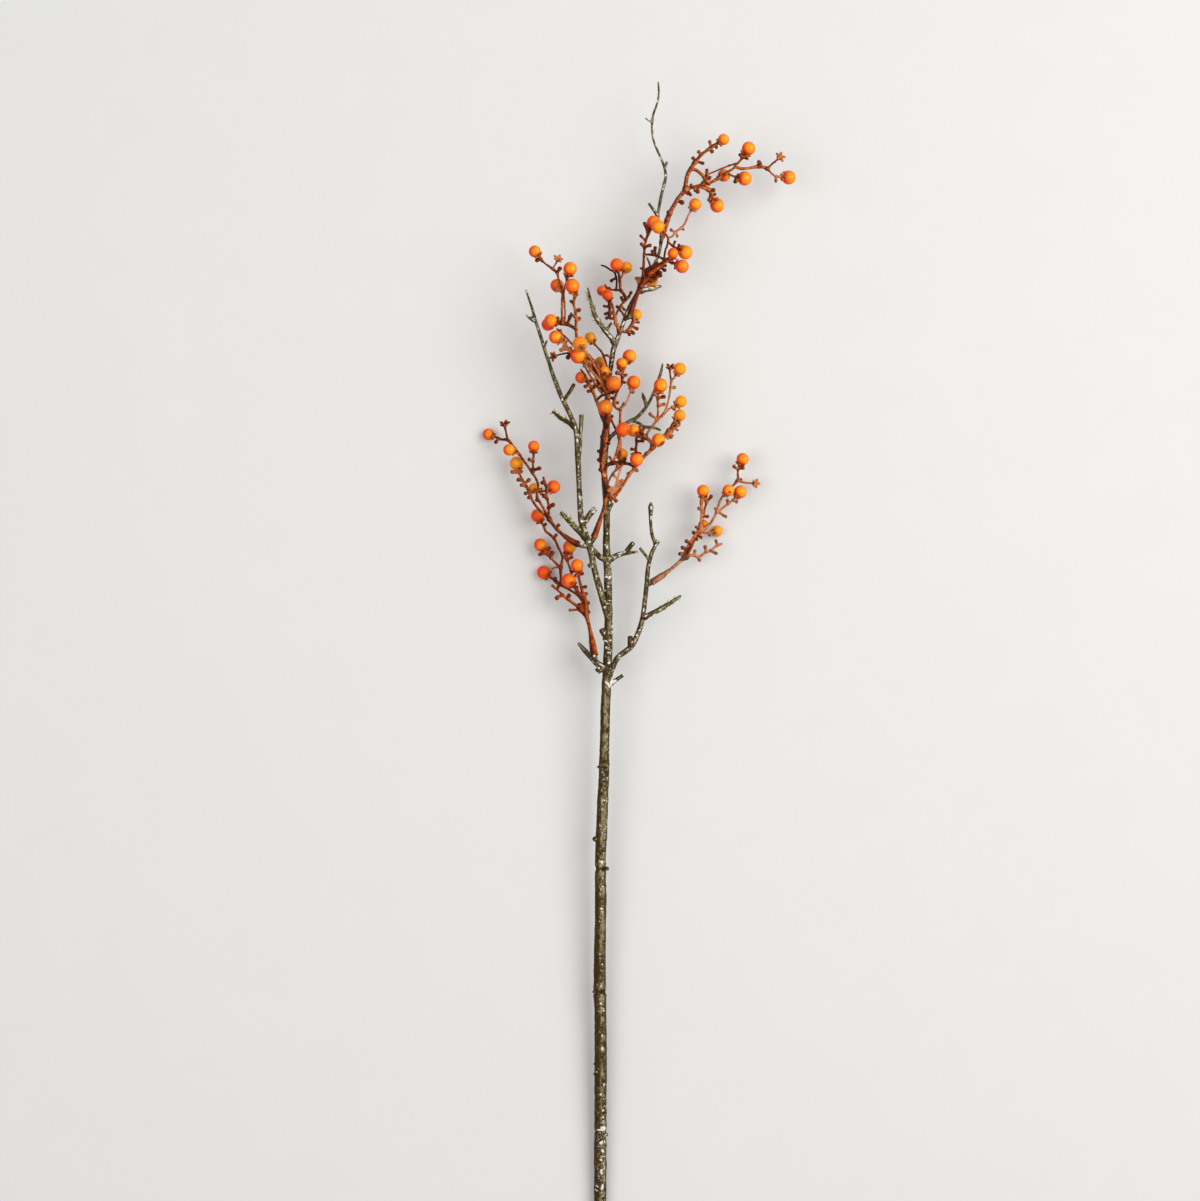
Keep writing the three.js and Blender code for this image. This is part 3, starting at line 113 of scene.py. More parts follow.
        "t3": ((0.38, 0.1), [(42.2, 420.0, 53.6, 1.52), (47.7, 421.1, 53.3, 1.25), (53.1, 422.2, 53.0, 1.43), (58.4, 423.4, 52.7, 1.34), (64.7, 425.8, 52.5, 1.34), (71.0, 429.3, 52.3, 1.43), (76.3, 432.4, 52.3, 1.43), (81.3, 436.0, 52.3, 1.25), (86.2, 439.5, 52.5, 1.16), (89.3, 443.5, 52.8, 1.07), (92.9, 448.0, 53.3, 1.07), (94.7, 450.7, 53.6, 1.07)]),
        "t4": ((0.25, 0.2), [(58.6, 429.2, 54.5, 0.98), (59.7, 429.9, 54.5, 0.98), (62.4, 432.8, 54.3, 0.76), (68.2, 435.4, 54.0, 0.72), (74.5, 438.1, 53.6, 0.76), (81.2, 440.8, 53.2, 0.89), (86.6, 442.4, 52.9, 0.89), (88.9, 443.0, 52.8, 0.89)]),
        "t5": ((0.55, 0.1), [(86.4, 439.9, 52.5, 1.34), (90.7, 438.3, 51.7, 1.25), (97.9, 438.6, 50.3, 1.16), (104.2, 439.8, 49.0, 1.25), (108.3, 440.7, 48.2, 1.70), (112.3, 439.6, 47.4, 1.34), (115.5, 438.5, 46.8, 1.52)]),
        "t5a": ((0.45, 0.1), [(115.5, 438.5, 46.8, 1.17), (119.0, 442.3, 47.5, 0.90), (123.0, 445.5, 48.2, 0.90), (126.6, 448.8, 48.9, 1.25)]),
        "t5b": ((0.55, 0.3), [(115.5, 438.5, 46.8, 1.17), (118.7, 434.9, 44.8, 0.90), (122.8, 432.2, 42.7, 1.08), (128.7, 431.9, 40.3, 1.08)]),
        "t6": ((0.2, 0.0), [(71.0, 429.3, 52.3, 1.07), (74.6, 431.6, 46.9, 1.07)]),
        "t7": ((0.25, 0.1), [(79.2, 434.5, 52.3, 0.89), (84.0, 431.7, 50.5, 0.90), (88.7, 430.9, 48.9, 0.90)]),
        "t8": ((0.55, 0.1), [(54.2, 422.5, 52.9, 1.34), (58.9, 421.1, 50.8, 1.88), (62.1, 419.7, 49.2, 2.06), (64.4, 417.4, 47.7, 1.70), (64.9, 414.2, 46.2, 1.34), (67.0, 411.0, 44.5, 1.34)]),
    },
    "spray_small": {
        "s0": ((0.5, 0.15), [(-16.2, 293.9, 42.2, 1.53), (-13.5, 293.3, 37.1, 1.53), (-10.4, 293.5, 36.0, 1.53), (-7.2, 297.5, 34.3, 1.62), (-4.5, 303.0, 32.1, 1.62), (-3.1, 306.2, 30.9, 1.62)]),
    },
    "spray_upper_middle": {
        "f0": ((0.45, 0.1), [(-16.9, 292.2, 42.1, 1.79), (-17.8, 292.2, 46.5, 1.79), (-18.7, 296.3, 46.7, 1.70), (-20.3, 300.3, 46.9, 1.43), (-21.6, 305.7, 47.1, 1.25)]),
        "f1": ((0.3, 0.1), [(-21.6, 305.7, 47.1, 1.08), (-22.7, 312.2, 49.9, 0.99), (-24.1, 317.4, 52.2, 0.98), (-25.9, 320.6, 53.7, 0.98)]),
        "f1b": ((0.12, 0.1), [(-21.4, 304.5, 47.0, 0.99), (-22.1, 304.3, 47.0, 0.99), (-25.9, 304.7, 48.4, 1.16), (-25.9, 311.2, 50.7, 1.25), (-26.6, 317.8, 53.1, 1.25), (-27.1, 320.1, 54.0, 1.25)]),
        "f2": ((0.2, 0.1), [(-21.6, 305.7, 47.1, 1.08), (-18.5, 311.6, 45.2, 1.08), (-15.4, 316.6, 43.5, 1.08), (-11.3, 322.2, 41.6, 1.26)]),
        "f3": ((0.6, 0.1), [(-11.3, 322.2, 41.6, 1.08), (-9.1, 323.6, 40.9, 0.90), (-7.5, 326.3, 40.1, 0.90)]),
        "f4": ((0.2, 0.1), [(-11.3, 322.2, 41.6, 1.08), (-13.5, 326.6, 41.6, 1.17), (-16.2, 330.2, 41.6, 1.17), (-16.7, 336.1, 41.6, 1.08), (-17.6, 343.2, 41.7, 1.08), (-18.5, 346.9, 41.8, 1.08)]),
        "f5": ((-0.05, 0.0), [(-15.9, 329.8, 41.6, 0.99), (-20.3, 330.0, 42.7, 0.99), (-24.8, 330.3, 43.9, 0.90), (-27.5, 331.4, 44.7, 0.90), (-30.3, 330.2, 45.5, 0.90)]),
        "f6": ((-0.4, 0.0), [(-20.5, 330.0, 42.8, 0.90), (-19.7, 336.1, 40.7, 0.90), (-20.4, 342.6, 38.4, 0.90), (-22.1, 346.5, 36.9, 0.85), (-26.1, 349.1, 35.2, 0.85), (-30.1, 351.9, 33.5, 0.81), (-33.7, 353.2, 32.2, 0.81)]),
        "f7": ((0.55, 0.2), [(-17.0, 338.7, 41.7, 0.90), (-14.4, 344.0, 38.0, 0.90), (-13.0, 346.9, 35.9, 0.90)]),
    },
    "spray_upper_left": {
        "g0": ((0.55, 0.15), [(-28.1, 234.3, 40.6, 2.06), (-27.2, 234.0, 46.2, 2.06), (-29.7, 240.6, 48.6, 1.97), (-33.3, 248.5, 51.5, 2.06), (-37.3, 256.0, 54.2, 2.06), (-42.2, 263.5, 56.9, 1.97), (-47.1, 270.0, 59.1, 1.79), (-51.6, 275.8, 60.7, 1.70), (-54.7, 281.9, 62.0, 1.52), (-55.8, 289.0, 63.1, 1.34), (-56.0, 297.0, 64.3, 1.25), (-56.2, 304.9, 65.6, 1.16), (-56.9, 311.1, 66.8, 1.16), (-58.3, 316.3, 68.0, 1.16), (-57.4, 321.6, 69.4, 1.16), (-58.1, 325.4, 70.5, 1.16)]),
        "g1": ((0.0, 0.0), [(-55.9, 293.4, 63.8, 1.34), (-60.1, 296.3, 63.7, 1.52), (-65.0, 298.2, 63.7, 1.43), (-69.4, 298.8, 64.0, 1.34), (-72.5, 299.5, 64.3, 1.34)]),
        "g2": ((0.42, 0.15), [(-68.6, 298.6, 64.0, 1.34), (-68.7, 308.6, 63.5, 0.98), (-68.6, 318.5, 63.0, 0.98), (-68.1, 328.3, 62.5, 1.07), (-69.9, 333.7, 62.2, 0.98), (-71.9, 339.1, 61.9, 0.89), (-73.0, 344.0, 61.6, 1.16), (-75.7, 346.7, 61.4, 1.25), (-78.8, 349.1, 61.2, 1.07), (-83.8, 352.5, 60.8, 0.76), (-87.3, 356.6, 60.5, 0.89), (-89.4, 359.1, 60.3, 0.89)]),
        "g3": ((0.5, 0.35), [(-77.1, 347.8, 61.3, 0.80), (-74.8, 351.3, 62.1, 0.80), (-72.7, 355.1, 62.9, 1.07)]),
        "g4": ((0.42, 0.15), [(-66.1, 298.3, 63.8, 0.80), (-65.9, 309.5, 63.6, 0.76), (-66.3, 318.4, 63.6, 0.76), (-66.9, 325.6, 63.8, 0.80), (-65.9, 331.3, 64.3, 0.98), (-64.1, 337.1, 65.1, 1.07), (-62.9, 341.4, 65.8, 1.07)]),
        "g3b": ((1.1, 0.5), [(-68.2, 325.6, 62.6, 0.80), (-70.4, 327.6, 59.6, 0.80), (-72.0, 331.1, 55.6, 0.80)]),
        "g6b": ((0.5, 0.2), [(-69.4, 298.8, 64.0, 0.98), (-70.3, 298.8, 64.0, 0.98), (-73.9, 298.1, 60.1, 0.89), (-78.9, 298.4, 55.5, 0.89)]),
        "g5": ((0.55, 0.3), [(-49.6, 273.2, 60.0, 1.07), (-55.6, 276.7, 59.8, 1.07), (-59.8, 280.7, 59.5, 0.98), (-64.1, 285.7, 59.1, 0.98), (-67.7, 288.8, 58.7, 0.98), (-70.8, 292.0, 58.1, 1.07), (-73.1, 294.2, 57.7, 0.89)]),
        "g6": ((1.15, 0.6), [(-47.9, 271.0, 59.3, 1.25), (-55.2, 272.4, 60.0, 1.16), (-61.0, 274.0, 60.5, 1.34), (-64.1, 277.5, 60.9, 1.16), (-66.3, 281.1, 61.3, 1.16), (-69.5, 283.3, 61.6, 1.16)]),
        "g7": ((0.3, 0.0), [(-60.0, 273.7, 60.4, 0.89), (-65.0, 272.5, 58.9, 0.80), (-70.4, 271.5, 57.3, 0.80), (-74.2, 270.2, 56.1, 0.89)]),
        "g8": ((0.75, 0.4), [(-32.9, 247.6, 51.1, 0.98), (-36.9, 256.0, 63.5, 0.98), (-41.0, 263.1, 72.5, 1.07), (-44.0, 267.7, 80.5, 1.07), (-46.6, 270.8, 85.0, 1.07), (-49.2, 273.7, 87.4, 1.15), (-51.0, 277.1, 79.9, 1.15)]),
        "g9": ((1.1, 0.7), [(-42.2, 263.5, 56.9, 1.16), (-47.1, 266.0, 59.8, 1.16), (-51.1, 268.2, 62.2, 1.16)]),
        "g11": ((1.2, 0.6), [(-32.9, 247.6, 51.1, 0.98), (-31.9, 250.4, 49.8, 0.99), (-31.8, 254.2, 48.1, 0.99)]),
        "g12": ((1.1, 0.5), [(-35.6, 252.9, 53.0, 0.98), (-35.1, 259.7, 44.3, 0.99), (-34.7, 264.5, 38.1, 0.99)]),
        "g13": ((0.3, 0.0), [(-30.1, 241.5, 48.9, 0.99), (-28.8, 251.3, 49.0, 0.90), (-28.6, 261.2, 48.9, 0.90), (-31.1, 269.3, 48.8, 0.99), (-33.3, 274.2, 48.7, 0.99), (-37.3, 278.7, 48.4, 0.85), (-40.0, 281.8, 48.1, 0.90), (-40.7, 282.8, 48.0, 0.90)]),
        "g13b": ((0.4, 0.1), [(-31.6, 270.6, 48.8, 1.07), (-27.9, 271.2, 48.9, 1.07), (-26.1, 269.3, 49.0, 0.99)]),
        "g15": ((0.0, 0.0), [(-33.8, 249.4, 51.8, 1.07), (-37.8, 248.7, 48.2, 0.90), (-40.9, 249.7, 45.3, 0.81)]),
    },
    "spray_centre": {
        "sleeve": ((0.45, 0.05), [(-40.2, 108.1, 46.9, 2.78), (-38.2, 113.4, 47.6, 2.78), (-36.2, 119.2, 48.3, 2.42), (-34.2, 125.1, 48.9, 1.97), (-32.1, 131.3, 49.6, 1.70), (-30.6, 137.6, 50.2, 1.61), (-29.4, 143.8, 50.8, 1.79), (-28.4, 149.2, 51.3, 1.97)]),
        "e1": ((0.24, 0.05), [(-28.4, 149.2, 51.3, 1.97), (-29.7, 155.4, 51.5, 2.06), (-31.1, 162.6, 51.7, 1.97), (-31.9, 169.7, 52.0, 2.33), (-32.4, 177.8, 52.5, 2.51), (-32.0, 185.8, 53.2, 2.51), (-31.2, 193.8, 54.2, 2.50), (-30.3, 201.8, 55.4, 2.33), (-29.3, 208.9, 56.8, 2.23), (-28.4, 213.8, 58.1, 1.97), (-29.0, 217.4, 59.3, 1.97)]),
        "e2": ((0.3, 0.2), [(-28.9, 151.7, 51.4, 1.34), (-27.0, 158.1, 50.8, 0.98), (-24.3, 163.5, 50.3, 0.98), (-21.2, 167.6, 49.8, 0.99), (-17.6, 170.3, 49.4, 0.99), (-14.5, 173.4, 49.0, 1.16)]),
        "e3": ((0.02, 0.0), [(-31.9, 169.6, 52.0, 1.61), (-28.4, 172.5, 51.1, 1.34), (-24.8, 174.3, 50.1, 1.25), (-20.3, 174.9, 49.2, 1.25), (-15.8, 174.8, 48.3, 1.34), (-11.3, 174.4, 47.5, 1.08), (-6.9, 173.2, 46.7, 1.17), (-3.7, 170.8, 46.1, 1.08)]),
        "e4": ((0.55, 0.2), [(-28.9, 146.3, 51.1, 1.70), (-27.5, 146.0, 51.1, 1.70), (-23.0, 144.7, 50.9, 1.70), (-18.5, 148.3, 50.7, 1.43), (-14.9, 153.7, 50.4, 1.34), (-11.4, 159.5, 50.1, 1.34), (-8.2, 164.9, 49.9, 1.52), (-3.7, 169.8, 49.6, 1.52), (0.7, 176.1, 49.2, 1.52), (5.7, 181.5, 48.8, 1.52), (10.2, 186.0, 48.3, 1.61), (14.6, 190.5, 47.4, 1.61), (19.1, 195.5, 46.1, 1.43), (24.6, 200.5, 44.3, 1.43), (28.2, 205.9, 42.6, 1.26), (31.8, 211.8, 40.6, 1.17), (33.3, 213.6, 39.9, 1.17)]),
        "e4b": ((0.5, 0.1), [(21.7, 197.9, 45.2, 0.90), (27.3, 201.8, 43.3, 0.90), (31.8, 207.8, 41.3, 0.90), (34.3, 212.8, 39.8, 0.90)]),
        "e40": ((0.2, 0.0), [(14.2, 190.0, 47.5, 1.16), (15.7, 192.2, 51.5, 1.16)]),
        "e5": ((0.9, 1.0), [(-24.9, 145.3, 51.0, 1.25), (-21.2, 151.9, 50.5, 1.07), (-19.4, 157.3, 50.1, 0.90), (-18.1, 163.5, 49.7, 0.90), (-16.3, 169.4, 49.3, 0.99), (-14.5, 173.4, 49.0, 1.07)]),
        "e6": ((0.38, 0.1), [(12.6, 188.5, 47.8, 1.34), (10.6, 193.6, 48.1, 1.43), (7.5, 196.5, 48.1, 1.25), (3.0, 197.6, 47.7, 1.16), (-0.1, 199.0, 46.9, 1.08), (-1.1, 200.0, 46.4, 1.08)]),
        "e7": ((0.6, 0.3), [(6.1, 196.8, 48.0, 1.16), (7.9, 201.7, 47.4, 1.08), (10.6, 205.7, 46.9, 1.17), (13.8, 209.8, 46.3, 1.17), (16.9, 213.9, 45.7, 1.26), (20.5, 217.0, 45.2, 1.26), (24.5, 221.1, 44.4, 1.17), (28.1, 223.8, 43.8, 0.90), (32.2, 226.3, 43.1, 0.90), (33.4, 227.1, 42.9, 0.90)]),
        "e8": ((0.66, 0.0), [(16.7, 213.6, 45.8, 1.08), (17.2, 219.2, 46.7, 0.99), (17.3, 225.4, 47.7, 0.99), (17.1, 230.8, 48.6, 1.16), (16.9, 235.7, 49.4, 1.25), (17.6, 238.1, 49.8, 1.25)]),
        "e9": ((0.4, 1.35), [(22.2, 218.7, 44.8, 0.99), (25.0, 224.7, 44.8, 0.99), (26.8, 231.4, 44.7, 0.99), (28.1, 238.6, 44.6, 0.99), (28.9, 245.3, 44.5, 1.08), (29.5, 248.9, 44.5, 1.17), (31.7, 251.1, 44.6, 0.99), (33.7, 254.2, 44.6, 0.99)]),
        "e9b": ((0.3, 0.05), [(29.3, 247.9, 44.5, 0.90), (28.2, 254.3, 43.0, 0.90), (28.0, 258.4, 42.1, 0.99)]),
        "e10": ((0.0, 0.0), [(-0.1, 199.0, 46.9, 1.08), (-1.9, 197.9, 46.9, 1.08), (-2.1, 192.2, 49.6, 1.07), (-2.6, 186.7, 52.3, 1.07), (-2.4, 183.2, 54.1, 1.07)]),
        "e11": ((0.62, 0.1), [(-23.4, 174.5, 49.8, 1.16), (-21.2, 180.1, 49.0, 1.07), (-19.0, 186.9, 48.0, 1.16), (-17.6, 194.1, 47.0, 1.08), (-18.1, 198.6, 46.5, 1.08), (-17.2, 205.8, 45.8, 1.08), (-16.7, 213.0, 45.3, 1.17), (-16.5, 219.3, 44.9, 1.17), (-16.3, 223.3, 44.6, 1.35)]),
        "e11b": ((0.5, 0.1), [(-16.3, 174.8, 48.4, 0.99), (-16.4, 186.9, 47.5, 0.99), (-16.9, 196.8, 46.7, 0.99), (-17.9, 196.7, 46.7, 0.99)]),
        "e11c": ((-0.05, 0.0), [(-18.1, 198.6, 46.5, 0.99), (-20.3, 203.8, 50.1, 0.98), (-23.0, 209.5, 54.1, 0.98), (-26.1, 214.7, 58.1, 1.16), (-28.4, 213.8, 58.1, 1.16)]),
        "e2p": ((0.65, 0.0), [(-18.0, 198.1, 46.5, 0.99), (-17.2, 198.1, 46.5, 0.99), (-16.3, 199.8, 49.3, 0.99), (-15.7, 201.1, 51.4, 0.99)]),
        "e4p": ((1.1, 0.0), [(-15.8, 174.8, 48.3, 1.08), (-15.5, 177.1, 46.0, 1.08), (-15.4, 180.0, 43.2, 1.08)]),
        "e12": ((0.5, 1.6), [(-16.3, 223.3, 44.6, 1.26), (-13.6, 226.6, 44.9, 1.17), (-10.9, 229.6, 45.1, 0.90), (-8.6, 234.9, 45.4, 0.85), (-7.0, 239.2, 45.7, 0.99), (-6.5, 241.0, 45.8, 0.99)]),
        "e13": ((0.5, 0.1), [(-16.3, 222.4, 44.7, 1.17), (-19.8, 223.8, 45.0, 1.08), (-22.1, 226.9, 45.3, 1.17), (-21.4, 232.7, 45.9, 1.34), (-19.4, 238.5, 46.5, 1.17), (-16.3, 244.3, 47.1, 1.16), (-14.9, 247.8, 47.5, 1.16), (-15.1, 252.3, 48.1, 1.16), (-16.0, 256.7, 48.7, 1.34), (-15.6, 260.9, 49.3, 1.34)]),
        "e14": ((0.5, 0.1), [(-15.1, 252.3, 48.1, 0.99), (-12.7, 259.2, 44.9, 0.90), (-10.9, 263.8, 42.8, 0.90), (-10.4, 265.1, 42.2, 0.90)]),
        "e16": ((0.55, 0.0), [(-29.0, 210.4, 57.2, 1.43), (-30.6, 210.7, 57.2, 1.43), (-34.4, 218.8, 55.4, 1.25), (-36.6, 226.5, 54.0, 1.34), (-39.1, 233.7, 52.7, 1.43), (-41.8, 240.0, 51.4, 1.43), (-44.9, 245.5, 50.2, 1.34), (-47.4, 249.5, 49.2, 1.16), (-49.7, 255.4, 48.0, 0.99), (-52.1, 258.6, 47.2, 0.81)]),
        "e10p": ((1.2, 0.0), [(-46.5, 248.1, 49.6, 1.16), (-49.5, 250.1, 47.0, 1.16)]),
        "e17": ((0.1, 0.0), [(-38.0, 230.5, 53.3, 1.25), (-33.3, 234.7, 55.2, 1.16), (-27.9, 236.2, 56.9, 1.07), (-23.0, 237.6, 58.5, 1.16), (-22.9, 238.9, 58.9, 1.16)]),
    },
    "spray_left": {
        "sleeve": ((0.4, 0.05), [(-53.9, 101.8, 43.4, 2.69), (-59.3, 104.5, 42.6, 2.69), (-64.7, 108.1, 41.7, 2.33), (-69.2, 111.7, 41.0, 1.71), (-73.2, 115.3, 40.2, 1.53), (-77.3, 120.3, 39.4, 1.53), (-80.4, 124.8, 38.6, 1.71)]),
        "c1": ((0.45, 0.1), [(-80.4, 124.8, 38.6, 1.35), (-84.5, 132.5, 37.3, 1.08), (-88.1, 138.8, 36.2, 1.08), (-91.3, 144.2, 35.2, 1.17), (-90.6, 150.5, 34.2, 1.08), (-90.4, 155.9, 33.2, 0.99), (-92.7, 161.8, 31.9, 0.99), (-95.8, 166.8, 30.5, 1.08), (-99.9, 172.7, 28.4, 0.99), (-104.5, 179.1, 25.9, 0.99), (-109.0, 185.5, 23.0, 0.99), (-113.6, 191.5, 19.7, 0.99), (-118.2, 196.6, 16.4, 1.26), (-123.7, 197.1, 13.3, 0.99), (-128.2, 199.0, 10.3, 0.99), (-131.2, 200.2, 8.2, 0.99)]),
        "c1b": ((0.0, 0.1), [(-118.2, 196.6, 16.4, 0.99), (-119.5, 203.3, 17.8, 0.90), (-120.6, 208.2, 18.9, 1.08)]),
        "c2p": ((0.8, 0.3), [(-107.4, 183.2, 24.0, 0.90), (-109.4, 183.9, 25.3, 0.99), (-112.3, 185.2, 27.3, 0.99)]),
        "c2": ((0.52, 0.2), [(-81.1, 126.0, 38.4, 1.26), (-86.9, 130.7, 35.6, 1.26), (-91.9, 136.1, 32.8, 1.17), (-95.8, 142.1, 30.1, 1.26), (-98.6, 149.3, 27.2, 1.44), (-100.9, 154.3, 25.0, 1.26), (-104.1, 159.4, 22.7, 1.17), (-106.4, 163.9, 20.6, 1.08), (-107.7, 167.1, 19.2, 1.26), (-108.5, 169.7, 18.1, 1.26)]),
        "c5p": ((0.45, 0.1), [(-98.4, 148.9, 27.3, 1.17), (-96.0, 150.9, 25.6, 1.17)]),
        "c3": ((0.38, 0.1), [(-80.7, 125.3, 38.5, 1.17), (-80.7, 132.4, 38.8, 1.08), (-81.1, 138.7, 39.1, 1.17), (-82.4, 145.0, 39.4, 1.17), (-82.8, 151.3, 39.6, 1.17), (-84.0, 156.6, 39.8, 1.08), (-85.4, 162.0, 39.9, 1.08)]),
        "c6p": ((0.45, 0.1), [(-82.8, 149.9, 39.6, 0.99), (-81.3, 150.8, 38.8, 0.99)]),
        "clink": ((0.65, 0.1), [(-82.8, 149.9, 39.6, 0.90), (-87.6, 149.7, 36.4, 0.90), (-90.7, 149.2, 34.4, 0.90)]),
        "c4": ((0.28, 0.1), [(-95.0, 165.4, 30.9, 1.17), (-94.9, 169.9, 31.3, 1.17), (-94.9, 175.8, 31.7, 1.08), (-94.5, 180.7, 32.1, 1.08), (-94.4, 184.7, 32.5, 1.08)]),
    },
    "spray_lower_left": {
        "sleeve": ((0.58, -0.15), [(-39.8, 2.2, 36.4, 2.79), (-40.7, 7.6, 34.5, 2.97), (-41.7, 13.8, 32.2, 2.70), (-42.6, 19.2, 30.3, 2.07), (-43.6, 24.6, 28.4, 1.62), (-45.0, 30.9, 26.1, 1.53), (-46.5, 36.3, 24.1, 1.71), (-47.9, 40.8, 22.4, 2.16)]),
        "b1": ((0.45, -0.5), [(-47.9, 40.8, 22.4, 1.98), (-47.3, 47.5, 24.0, 1.80), (-48.6, 53.4, 25.5, 1.71), (-50.4, 58.8, 27.3, 1.53), (-51.9, 64.7, 29.5, 1.26), (-53.3, 70.5, 31.9, 1.17), (-54.1, 75.9, 34.2, 1.17), (-54.4, 77.6, 35.0, 1.17)]),
        "b2": ((0.4, -0.4), [(-47.6, 44.3, 23.3, 1.62), (-50.9, 51.6, 20.9, 1.44), (-54.5, 56.1, 19.2, 1.35), (-59.0, 59.3, 17.5, 1.17), (-63.5, 62.0, 15.7, 1.08), (-67.6, 64.0, 14.1, 1.08), (-70.8, 66.1, 12.8, 1.36), (-74.4, 68.3, 11.2, 1.45), (-77.6, 71.1, 9.7, 1.18), (-81.0, 73.5, 8.1, 1.18)]),
        "b3": ((0.35, -0.4), [(-70.3, 65.7, 13.0, 1.27), (-70.1, 72.4, 13.8, 1.17), (-70.3, 78.7, 14.4, 1.45), (-69.4, 85.0, 15.1, 1.36), (-68.7, 90.4, 15.6, 1.26), (-70.3, 95.4, 15.9, 1.17), (-72.6, 99.9, 16.1, 1.17), (-74.4, 104.4, 16.1, 1.17), (-77.1, 108.5, 16.1, 1.26), (-80.7, 111.7, 15.8, 1.26), (-83.9, 114.4, 15.6, 1.26), (-85.4, 118.5, 15.2, 1.08), (-87.9, 122.8, 14.7, 1.08)]),
        "b3a": ((0.45, -0.5), [(-70.0, 80.9, 14.7, 1.36), (-73.9, 84.6, 14.1, 1.17), (-77.6, 88.2, 13.6, 1.08), (-80.7, 91.8, 13.0, 1.17), (-83.4, 94.5, 12.7, 1.36), (-85.0, 96.8, 12.4, 1.36)]),
        "b3b": ((0.45, -0.5), [(-70.6, 81.3, 14.6, 0.99), (-74.8, 81.4, 14.8, 0.90), (-77.7, 80.5, 15.0, 1.08)]),
        "b4": ((0.5, -0.5), [(-47.8, 41.6, 22.6, 1.98), (-49.1, 41.7, 22.6, 1.98), (-52.2, 43.9, 22.4, 2.16), (-55.4, 46.6, 22.3, 1.53), (-59.4, 49.4, 22.1, 1.35), (-63.5, 52.5, 21.9, 1.35), (-67.6, 55.7, 21.8, 1.35), (-70.7, 58.8, 21.7, 1.08), (-74.3, 62.0, 21.6, 1.08), (-77.7, 65.1, 21.6, 1.26)]),
        "b4s": ((0.38, -0.4), [(-52.3, 44.0, 22.4, 1.17), (-57.2, 43.2, 23.2, 0.90), (-61.9, 42.9, 23.9, 1.17)]),
        "b5": ((0.05, -0.6), [(-48.9, 54.4, 25.9, 1.35), (-50.6, 53.9, 25.9, 1.35), (-54.4, 58.8, 27.7, 1.35), (-56.7, 62.0, 29.1, 1.35), (-59.0, 64.8, 30.6, 1.35)]),
        "b6": ((0.45, -0.5), [(-55.7, 60.6, 28.6, 1.08), (-59.0, 69.6, 26.3, 1.08), (-60.3, 75.5, 25.6, 1.17), (-61.7, 80.0, 25.3, 1.08), (-63.7, 85.8, 25.1, 1.08), (-65.1, 90.4, 25.1, 1.44), (-64.0, 93.9, 25.3, 1.44)]),
    },
    "spray_right": {
        "sleeve": ((0.22, 1.6), [(11.6, 67.8, 35.9, 2.70), (16.2, 70.7, 34.8, 2.97), (20.7, 73.6, 33.6, 2.88), (24.7, 76.5, 32.5, 1.98), (29.2, 79.9, 31.3, 1.53), (34.2, 84.0, 29.9, 1.53), (38.7, 88.1, 28.6, 1.71), (42.4, 91.2, 27.5, 2.07)]),
        "d1": ((0.7, 0.2), [(42.4, 91.2, 27.5, 1.98), (44.6, 97.1, 26.7, 1.98), (47.4, 102.5, 25.8, 1.89), (50.5, 107.9, 24.9, 1.71), (53.7, 112.9, 24.1, 1.62), (56.0, 116.5, 23.6, 1.62)]),
        "d1a": ((0.75, 0.5), [(56.0, 116.5, 23.6, 1.62), (56.4, 122.8, 23.9, 1.26), (56.9, 129.1, 24.3, 1.17), (56.9, 135.4, 24.6, 1.26), (56.7, 139.9, 24.8, 1.71), (57.3, 144.5, 25.0, 1.71)]),
        "d1a2": ((0.5, 0.2), [(56.2, 119.2, 23.7, 1.08), (58.7, 129.1, 24.1, 0.99), (60.0, 135.4, 24.4, 0.99), (61.2, 140.4, 24.7, 1.44), (59.8, 144.7, 24.9, 1.44)]),
        "d1b": ((0.4, 1.5), [(54.6, 114.4, 23.9, 1.44), (55.5, 113.8, 23.9, 1.44), (60.0, 117.0, 24.3, 1.35), (64.0, 120.1, 24.7, 1.26), (67.6, 125.5, 25.3, 1.17), (70.6, 131.8, 26.1, 1.26), (72.4, 138.1, 27.1, 1.08), (74.3, 143.4, 28.3, 1.08), (77.1, 146.6, 29.3, 1.08)]),
        "d1c": ((0.55, 0.5), [(70.6, 131.8, 26.1, 1.08), (71.7, 131.3, 26.1, 1.08), (75.7, 134.9, 25.9, 0.99), (80.7, 138.6, 25.6, 0.99), (85.2, 142.2, 25.3, 0.99), (87.8, 145.0, 25.2, 0.99)]),
        "d1d": ((0.4, 0.15), [(73.0, 139.9, 27.5, 0.99), (75.7, 145.3, 25.6, 0.99), (80.8, 151.7, 23.2, 0.99), (85.3, 155.3, 21.7, 1.08), (88.5, 159.0, 20.7, 1.35), (89.9, 161.7, 20.3, 1.17), (89.6, 165.7, 20.1, 0.99), (90.1, 170.3, 20.0, 1.08), (91.6, 173.8, 20.0, 1.08)]),
        "d1e": ((0.5, 0.3), [(88.9, 159.8, 20.5, 1.17), (95.3, 158.1, 18.3, 0.90), (100.8, 157.6, 16.3, 0.90), (104.0, 157.3, 15.2, 1.26)]),
        "d5p": ((0.45, 0.1), [(56.0, 116.5, 23.6, 1.17), (57.6, 118.2, 19.9, 1.17)]),
        "d6p": ((0.5, 0.2), [(54.1, 113.5, 24.0, 1.26), (55.1, 112.9, 24.0, 1.26), (61.1, 112.7, 16.9, 0.99), (65.7, 113.1, 11.5, 1.18), (67.9, 113.6, 8.9, 1.18)]),
